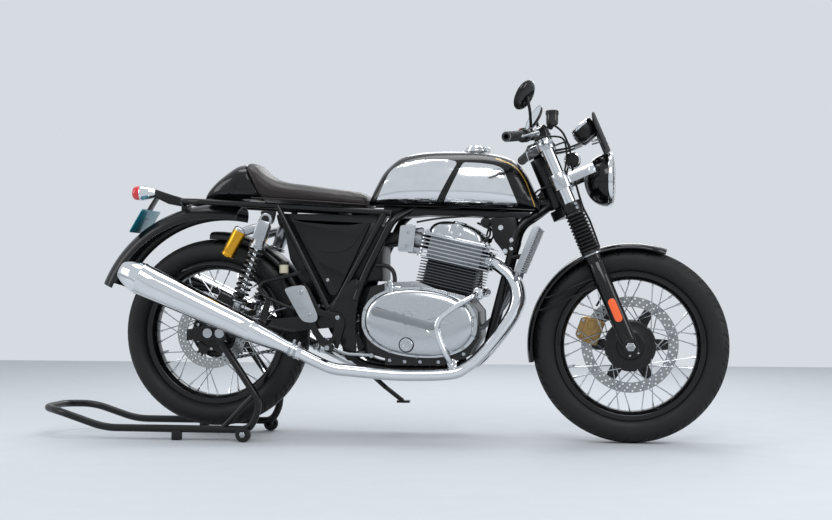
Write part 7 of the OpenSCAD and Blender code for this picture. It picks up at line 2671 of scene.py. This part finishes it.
@dataclass
class TailEnd:
    """Side panels, rear fender, tail lamp and number plate."""

    place: Matrix = PLACES.pivot
    panel_y: float = 87.3
    panel_t: float = 14.0
    lamp: Flat = (-783.786, 431.769)
    plate_w: float = 180.0
    plate_h: float = 92.0
    tilt: float = 31.0
    fender_r: float = 439.5

    def build_panels(self) -> None:
        """Builds both side panels with a raised lower lip and fasteners."""
        panels = Shape(self.place)
        line = rounded([(-196, 336), (-156, 324), (-55, 313), (20, 312), (80, 322), (-34, 76), (-66, 76)],
                       12, 5, True)
        panels.plate([(p.x, p.y) for p in line], self.panel_y, self.panel_y + self.panel_t, GLOSS_BLACK,
                     edge=4.5)
        cover = rounded([(-194, 333), (-156, 322), (-55, 312), (16, 311), (74, 321), (50, 282), (16, 238),
                         (-14, 222), (-72, 218), (-112, 232), (-152, 268)], 14, 5, True)
        panels.plate([(p.x, p.y) for p in cover], self.panel_y + self.panel_t - 1,
                     self.panel_y + self.panel_t + 4.5, GLOSS_BLACK, edge=2.6)
        panels.mirrored().piece("side_cover_panels", "chassis", ["side_panels"])
        bolts = Row(self.place)
        bolts.at((-67, self.panel_y + self.panel_t, 128), (0, 1, 0))
        bolts.mirrored().grow("side_panel_bolts", "chassis", Repeated.SOCKET_HEAD, BRIGHT_STEEL,
                              {"Radius": 5.6, "Height": 3})

    def build_fender(self) -> None:
        """Builds the short fender under the cowl and its stay."""
        section: list[Flat] = []
        w, t, drop = 76.0, 2.4, 52.0
        for a in range(0, 181, 6):
            s, c = math.sin(math.radians(a)), math.cos(math.radians(a))
            section.append((self.fender_r - drop + drop * power(s, 0.8), w * c))
        loop = section + [(r - t if abs(y) < w - 8 else r, y * (1 - t / w)) for r, y in reversed(section)]
        rings = 60
        verts = []
        for k in range(rings + 1):
            a = math.radians(78 + (157 - 78) * k / rings)
            verts += [(r * math.cos(a), y, r * math.sin(a)) for r, y in loop]
        Shape(PLACES.rear).add(verts, rings_faces(rings + 1, len(loop)),
                               POWDER_BLACK).piece("rear_mudguard", "chassis", ["rear_fender"], sharp=50)
        stay = Shape(PLACES.rear)
        stay.block((-127, -28, 418), (-107, 28, 438.4), POWDER_BLACK, 3)
        stay.piece("rear_fender_stay", "chassis", slot="rear_fender")

    def build_lamp(self) -> None:
        """Builds the bullet tail lamp and its bracket."""
        at = shift(self.lamp[0], 0, self.lamp[1]) @ turn(90, "Y")
        lens, shell, arm = Shape(self.place), Shape(self.place), Shape(self.place)
        lens.lathe([(0, 0), (8, 0.3), (14, 1.2), (19, 3.6), (22.5, 7.4), (24.4, 13), (24.8, 20), (24.8, 33),
                    (0, 33)], RED_ACRYLIC, at, 64)
        shell.lathe([(24, 29), (26.4, 29.4), (27, 31), (27, 36), (26.4, 38), (24.6, 46), (22, 60), (18, 74),
                     (13, 84), (0, 84.3)], CHROME, at, 64)
        arm.plate([(-699.6, 444), (-699.6, 416), (-650, 392), (-608, 384), (-598, 388), (-598, 412),
                   (-640, 424)], -15, 15, POWDER_BLACK, edge=3)
        lens.piece("tail_lens", "chassis", ["tail_lamp"])
        shell.piece("tail_shell", "chassis", ["tail_lamp"])
        arm.piece("tail_bracket", "chassis", slot="tail_lamp")

    def build_plate(self) -> None:
        """Builds the blank number plate with its embossed rim and bracket."""
        at = shift(self.lamp[0] + 44, 0, self.lamp[1] - 104) @ turn(self.tilt, "Y")
        plate = Shape(self.place)
        w, h = self.plate_w / 2, self.plate_h
        outline = rounded([(-w, 50 - h, 0), (w, 50 - h, 0), (w, 50, 0), (-w, 50, 0)], 10, 5, True)
        inner = [((p.x) * 0.965, (p.y - 50 + h / 2) * 0.93 + 50 - h / 2) for p in outline]
        swap = at @ turn(90, "Z")
        plate.plate([(p.x, p.y) for p in outline], 0.2, 2.2, TEAL_PAINT, edge=0.5, move=swap)
        plate.plate([(p.x, p.y) for p in outline], 2.0, 3.0, TEAL_PAINT, [inner], 0.3, swap)
        plate.piece("blank_number_plate", "chassis", ["number_plate"])
        hold = Shape(self.place)
        x, z = self.lamp[0], self.lamp[1]
        hold.plate([(x + 46, z - 84), (x + 52, z - 66), (x + 86, z - 14), (x + 92, z - 17),
                    (x + 58, z - 72), (x + 52, z - 92)], -18, 18, POWDER_BLACK, edge=1.4)
        hold.piece("number_plate_bracket", "chassis", slot="number_plate")
        screws = Row(self.place)
        way = at.to_3x3()
        for y in (-34, 34):
            screws.at(at @ Vector((-3, y, 12)), way @ Vector((-1, 0, 0)))
        screws.grow("number_plate_screws", "chassis", Repeated.SOCKET_HEAD, CHROME,
                    {"Radius": 4.4, "Height": 2})

    def build(self) -> None:
        """Builds the whole tail end."""
        self.build_panels()
        self.build_fender()
        self.build_lamp()
        self.build_plate()


# ---------------------------------------------------------------- stands and cables
@dataclass
class Stands:
    """The rear paddock stand, its wheels and the bike's own side stand."""

    place: Matrix = PLACES.floor
    spool_x: float = 47.0
    arm_y: float = 132.0
    base_y: float = 150.0
    wheel: Point = (139.0, 177.0, 25.0)
    axle_z: float = 355.5
    reach: float = 602.0
    tube_r: float = 12.5

    def build(self) -> None:
        """Builds the stands."""
        r, b = self.tube_r, self.base_y
        hook = (self.spool_x + 6, self.arm_y, self.axle_z - 34)
        tubes = Shape(self.place)
        end = -self.reach + r
        tubes.tube(rounded([hook, (182, 145.5, 137), (176, b, 84), (150, b, 38), (-350, b, 38),
                            (end + 80, b, 90), (end, b - 70, 96), (end, 0, 96)], 46, 10), r, POWDER_BLACK,
                            32)
        elbow = Vector((182, 145.5, 137))
        tubes.tube([Vector(hook) + (elbow - Vector(hook)) * 0.9, (56, b, 38)], r - 3, POWDER_BLACK, 24)
        fork = rounded([(self.spool_x - 21, 0, self.axle_z + 6), (self.spool_x - 20, 0, self.axle_z - 14),
                        (self.spool_x - 9, 0, self.axle_z - 36), (self.spool_x + 9, 0, self.axle_z - 36),
                        (self.spool_x + 20, 0, self.axle_z - 14), (self.spool_x + 21, 0, self.axle_z + 6),
                        (self.spool_x + 14, 0, self.axle_z + 15),
                        (self.spool_x + 10.3, 0, self.axle_z + 15),
                        (self.spool_x + 10.3, 0, self.axle_z - 4), (self.spool_x + 4, 0, self.axle_z - 10),
                        (self.spool_x - 4, 0, self.axle_z - 10), (self.spool_x - 10.3, 0, self.axle_z - 4),
                        (self.spool_x - 10.3, 0, self.axle_z + 15),
                        (self.spool_x - 14, 0, self.axle_z + 15)], 3, 3, True)
        tubes.plate([(p.x, p.z) for p in fork], self.arm_y - 5, self.arm_y + 5, POWDER_BLACK, edge=1.2)
        x, y, z = self.wheel
        tubes.rod((x, b - 6, z), (x, y + 13, z), 6, BRIGHT_STEEL)
        tubes.plate([(p.x, p.y) for p in rounded([(x - 13, z - 11), (x + 13, z - 11), (x + 16, 40),
                                                  (x - 16, 40)], 8, 4, True)],
                    b - 6, b + 4, POWDER_BLACK, edge=1.4)
        tubes.lathe([(0, 0), (9, 0), (10, 1), (10, 3), (9, 3.6), (0, 3.6)], BRIGHT_STEEL,
                    shift(x, y + 10.6, z) @ AXLE, 6)
        tubes.block((-113, b - 11, 0), (-81, b + 11, 36), SOFT_RUBBER, 3)
        tubes.mirrored().piece("paddock_stand_tubes", "chassis", ["paddock_stand"], sharp=40)
        for side, name in ((1, "left"), (-1, "right")):
            wheel = Shape(self.place)
            wheel.lathe([(12, -8.6), (20, -9), (23.6, -8.4), (25, -6.6), (25, 6.6), (23.6, 8.4), (20, 9),
                         (12, 8.6)], SOFT_RUBBER, shift(x, side * y, z) @ AXLE, 56, closed=True)
            wheel.lathe([(6.1, -8.4), (12.2, -8.4), (12.2, 8.4), (6.1, 8.4)], SATIN_PLASTIC,
                        shift(x, side * y, z) @ AXLE, 40, closed=True)
            wheel.piece(f"{name}_caster", f"{name}_stand_wheel", [f"stand_wheel_{name}"])
        refine("side_stand", POWDER_BLACK, 1.2)
        spring = Row(Matrix.Identity(4))
        start, stop = Vector((34, 84, -168)), Vector((96, 92, -176))
        spring.grow("side_stand_spring", "chassis", Repeated.SPRING, BRIGHT_STEEL,
                    {"Radius": 4.6, "Wire": 1.3, "Turns": 16, "Height": (stop - start).length},
                    after=PLACES.pivot @ Matrix.Translation(start) @ along(stop - start), sharp=60)


@dataclass
class Cables:
    """Control cables and hoses that run from the bars to the chassis."""

    fork: Matrix = PLACES.fork
    pivot: Matrix = PLACES.pivot

    def route(self, start: Sequence[Sequence[float]], end: Sequence[Sequence[float]]) -> list[Vector]:
        """Joins points of the fork frame to points of the pivot frame.

        Args:
            start: Points in the fork frame.
            end: Points in the pivot frame.

        Returns:
            A smooth line in the pivot frame.
        """
        move = self.pivot.inverted() @ self.fork
        points = [move @ Vector(p) for p in start] + [Vector(p) for p in end]
        return [Vector(p) for p in smooth(points, 60)]

    def lay(self, name: str, line: Sequence[Vector], radius: float, finish: Finish,
            bend: Optional[tuple[Point, Point]] = None, body: str = "steering") -> None:
        """Lays one cable.

        Args:
            name: The piece's name.
            line: Its route in the pivot frame.
            radius: Its radius.
            finish: Its finish.
            bend: Two points that are not read; a cable given them crosses the joint and is left in place on no
                body.
            body: The body that it rides on otherwise.
        """
        cable = Shape(self.pivot)
        cable.tube(line, radius, finish, 12)
        mesh = bpy.data.meshes.new(name)
        mesh.from_pydata([self.pivot @ v for v in cable.verts], [], cable.faces)
        mesh.materials.append(finish.material())
        obj = bpy.data.objects.new(name, mesh)
        bpy.context.scene.collection.objects.link(obj)
        obj.data.shade_smooth()
        if bend:
            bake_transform(obj)
            LOG.info("%s bends from chassis to steering", name)
        else:
            hand_over(obj, body)

    def build(self) -> None:
        """Lays clutch, throttle and brake lines."""
        low = tuple(self.pivot @ Vector((640, 0, 470)))
        high = tuple(self.pivot @ Vector((680, 0, 610)))
        bar_r = Matrix.Diagonal((1, -1, 1, 1)) @ shift(0, 97, 745) @ turn(20, "Z")
        bar_l = shift(0, 97, 745) @ turn(20, "Z")
        clutch = [bar_l @ Vector((24, 136, -8)), bar_l @ Vector((40, 100, -16)), (70, 110, 712),
                  (64, 60, 664), (34, 44, 616), (8, 40, 584)]
        self.lay("clutch_cable", self.route(clutch, [(632, 36, 420), (600, 44, 372), (540, 52, 356),
                                                     (470, 66, 330), (440, 92, 260), (430, 100, 180),
                                                     (424, 110, 96)]), 3.2, SOFT_RUBBER, (low, high))
        throttle = [bar_r @ Vector((14, 128, -14)), bar_r @ Vector((34, 100, -22)), (58, -104, 706),
                    (52, -52, 656), (26, -42, 612), (4, -40, 580)]
        self.lay("throttle_cable", self.route(throttle, [(628, -34, 424), (590, -42, 378), (500, -50, 356),
                (400, -60, 340), (300, -92, 330), (232, -104, 318)]), 3.2, SOFT_RUBBER, (low, high))
        hose = [(50, -152, 748), (66, -140, 716), (66, -110, 664), (50, -70, 600), (40, -58, 540),
                (34, -40, 480), (36, 0, 452), (38, 56, 430), (36, 66, 380), (33, 67, 330), (30, 66, 270),
                (-20, 64, 190), (-52, 63, 160)]
        line = self.route(hose, [])
        self.lay("front_brake_hose", line, 3.6, SOFT_RUBBER)


# ---------------------------------------------------------------- studio
@dataclass
class Studio:
    """Floor, backdrop, lamps and camera."""

    tint: Finish = Finish("pale_studio_paper", "#c3c8ce", "#bfc4ca", 0.7, spread=0.3)

    def build(self) -> None:
        """Builds the studio."""
        scene = bpy.context.scene
        scene.view_settings.view_transform = "Standard"
        mesh = bpy.data.meshes.new("studio_floor")
        mesh.from_pydata([(-14, -6, 0), (14, -6, 0), (14, 4.2, 0), (-14, 4.2, 0)], [], [(0, 1, 2, 3)])
        floor = bpy.data.objects.new("studio_floor", mesh)
        scene.collection.objects.link(floor)
        floor.data.materials.append(self.tint.material())
        world = bpy.data.worlds.new("studio_air")
        scene.world = world
        world.use_nodes = True
        tree = world.node_tree
        tree.nodes.clear()
        path = add_node(tree, "ShaderNodeLightPath")
        shiny = add_node(tree, "ShaderNodeMath", {"operation": "MAXIMUM"},
                         {0: path.outputs["Is Glossy Ray"], 1: path.outputs["Is Transmission Ray"]})
        seen = add_node(tree, "ShaderNodeMath", {"operation": "MAXIMUM"},
                        {0: path.outputs["Is Camera Ray"], 1: shiny.outputs[0]})
        air = add_node(tree, "ShaderNodeBackground", inputs={"Color": linear("#eef1f4"), "Strength": 0.7})
        backdrop = add_node(tree, "ShaderNodeBackground", inputs={"Color": linear("#d6dbe1"),
                "Strength": 1.0})
        mixed = add_node(tree, "ShaderNodeMixShader", inputs={0: seen.outputs[0], 1: air.outputs[0],
                2: backdrop.outputs[0]})
        add_node(tree, "ShaderNodeOutputWorld", inputs={0: mixed.outputs[0]})
        for name, where, aim, size, power_w in (
                ("key_softbox", (1.2, -3.4, 3.4), (0.2, 0, 0.5), (2.6, 1.6), 70),
                ("top_softbox", (-0.2, 0.4, 3.6), (0, 0, 0.4), (3.2, 1.4), 55),
                ("rear_softbox", (-3.2, -1.6, 1.8), (-0.4, 0, 0.5), (1.2, 2.0), 24),
                ("front_softbox", (3.4, -1.0, 1.7), (0.6, 0, 0.5), (1.0, 2.0), 24),
                ("far_softbox", (0.4, 3.4, 2.6), (0, 0, 0.5), (2.4, 1.4), 34)):
            light = bpy.data.lights.new(name, "AREA")
            light.shape, light.size, light.size_y, light.energy = "RECTANGLE", size[0], size[1], power_w
            lamp = bpy.data.objects.new(name, light)
            lamp.location = where
            lamp.rotation_euler = (Vector(aim) - Vector(where)).to_track_quat("-Z", "Y").to_euler()
            scene.collection.objects.link(lamp)
        self.aim_camera()

    def aim_camera(self) -> None:
        """Places the camera at the right side, a little above the axles."""
        camera = bpy.data.cameras.new("camera")
        camera.lens, camera.sensor_width = 55.27, 36
        obj = bpy.data.objects.new("camera", camera)
        yaw, pitch = 0.1469, 0.0218
        ahead = Vector((-math.sin(yaw) * math.cos(pitch), math.cos(yaw) * math.cos(pitch), math.sin(pitch)))
        obj.location = (0.76013, -4.25887, 0.50723)
        obj.rotation_euler = ahead.to_track_quat("-Z", "Y").to_euler()
        bpy.context.scene.collection.objects.link(obj)
        bpy.context.scene.camera = obj


def main() -> None:
    """Builds the motorcycle, its stand and the studio, in order."""
    front = Wheel("front", PLACES.front, 318.5, 100.0, 58.0, 160.0, 62.0, 46.0, 52.0)
    rear = Wheel("rear", PLACES.rear, 319.5, 130.0, -76.0, 120.0, 62.0, 62.0, 73.2)
    for piece in (Studio(), front, rear, Sprocket(), Fork(), Cockpit(), Engine(), Exhaust(), Intake(),
                  Chassis(), Tank(), Seat(), TailEnd(),
                  Stands(), Cables()):
        LOG.info("building %s", type(piece).__name__)
        piece.build()
    left = [name for name, obj in frame["nodes"].items() if not obj.hide_render]
    LOG.info("CAD nodes still shown: %s", left)


if __name__ == "__main__":
    main()
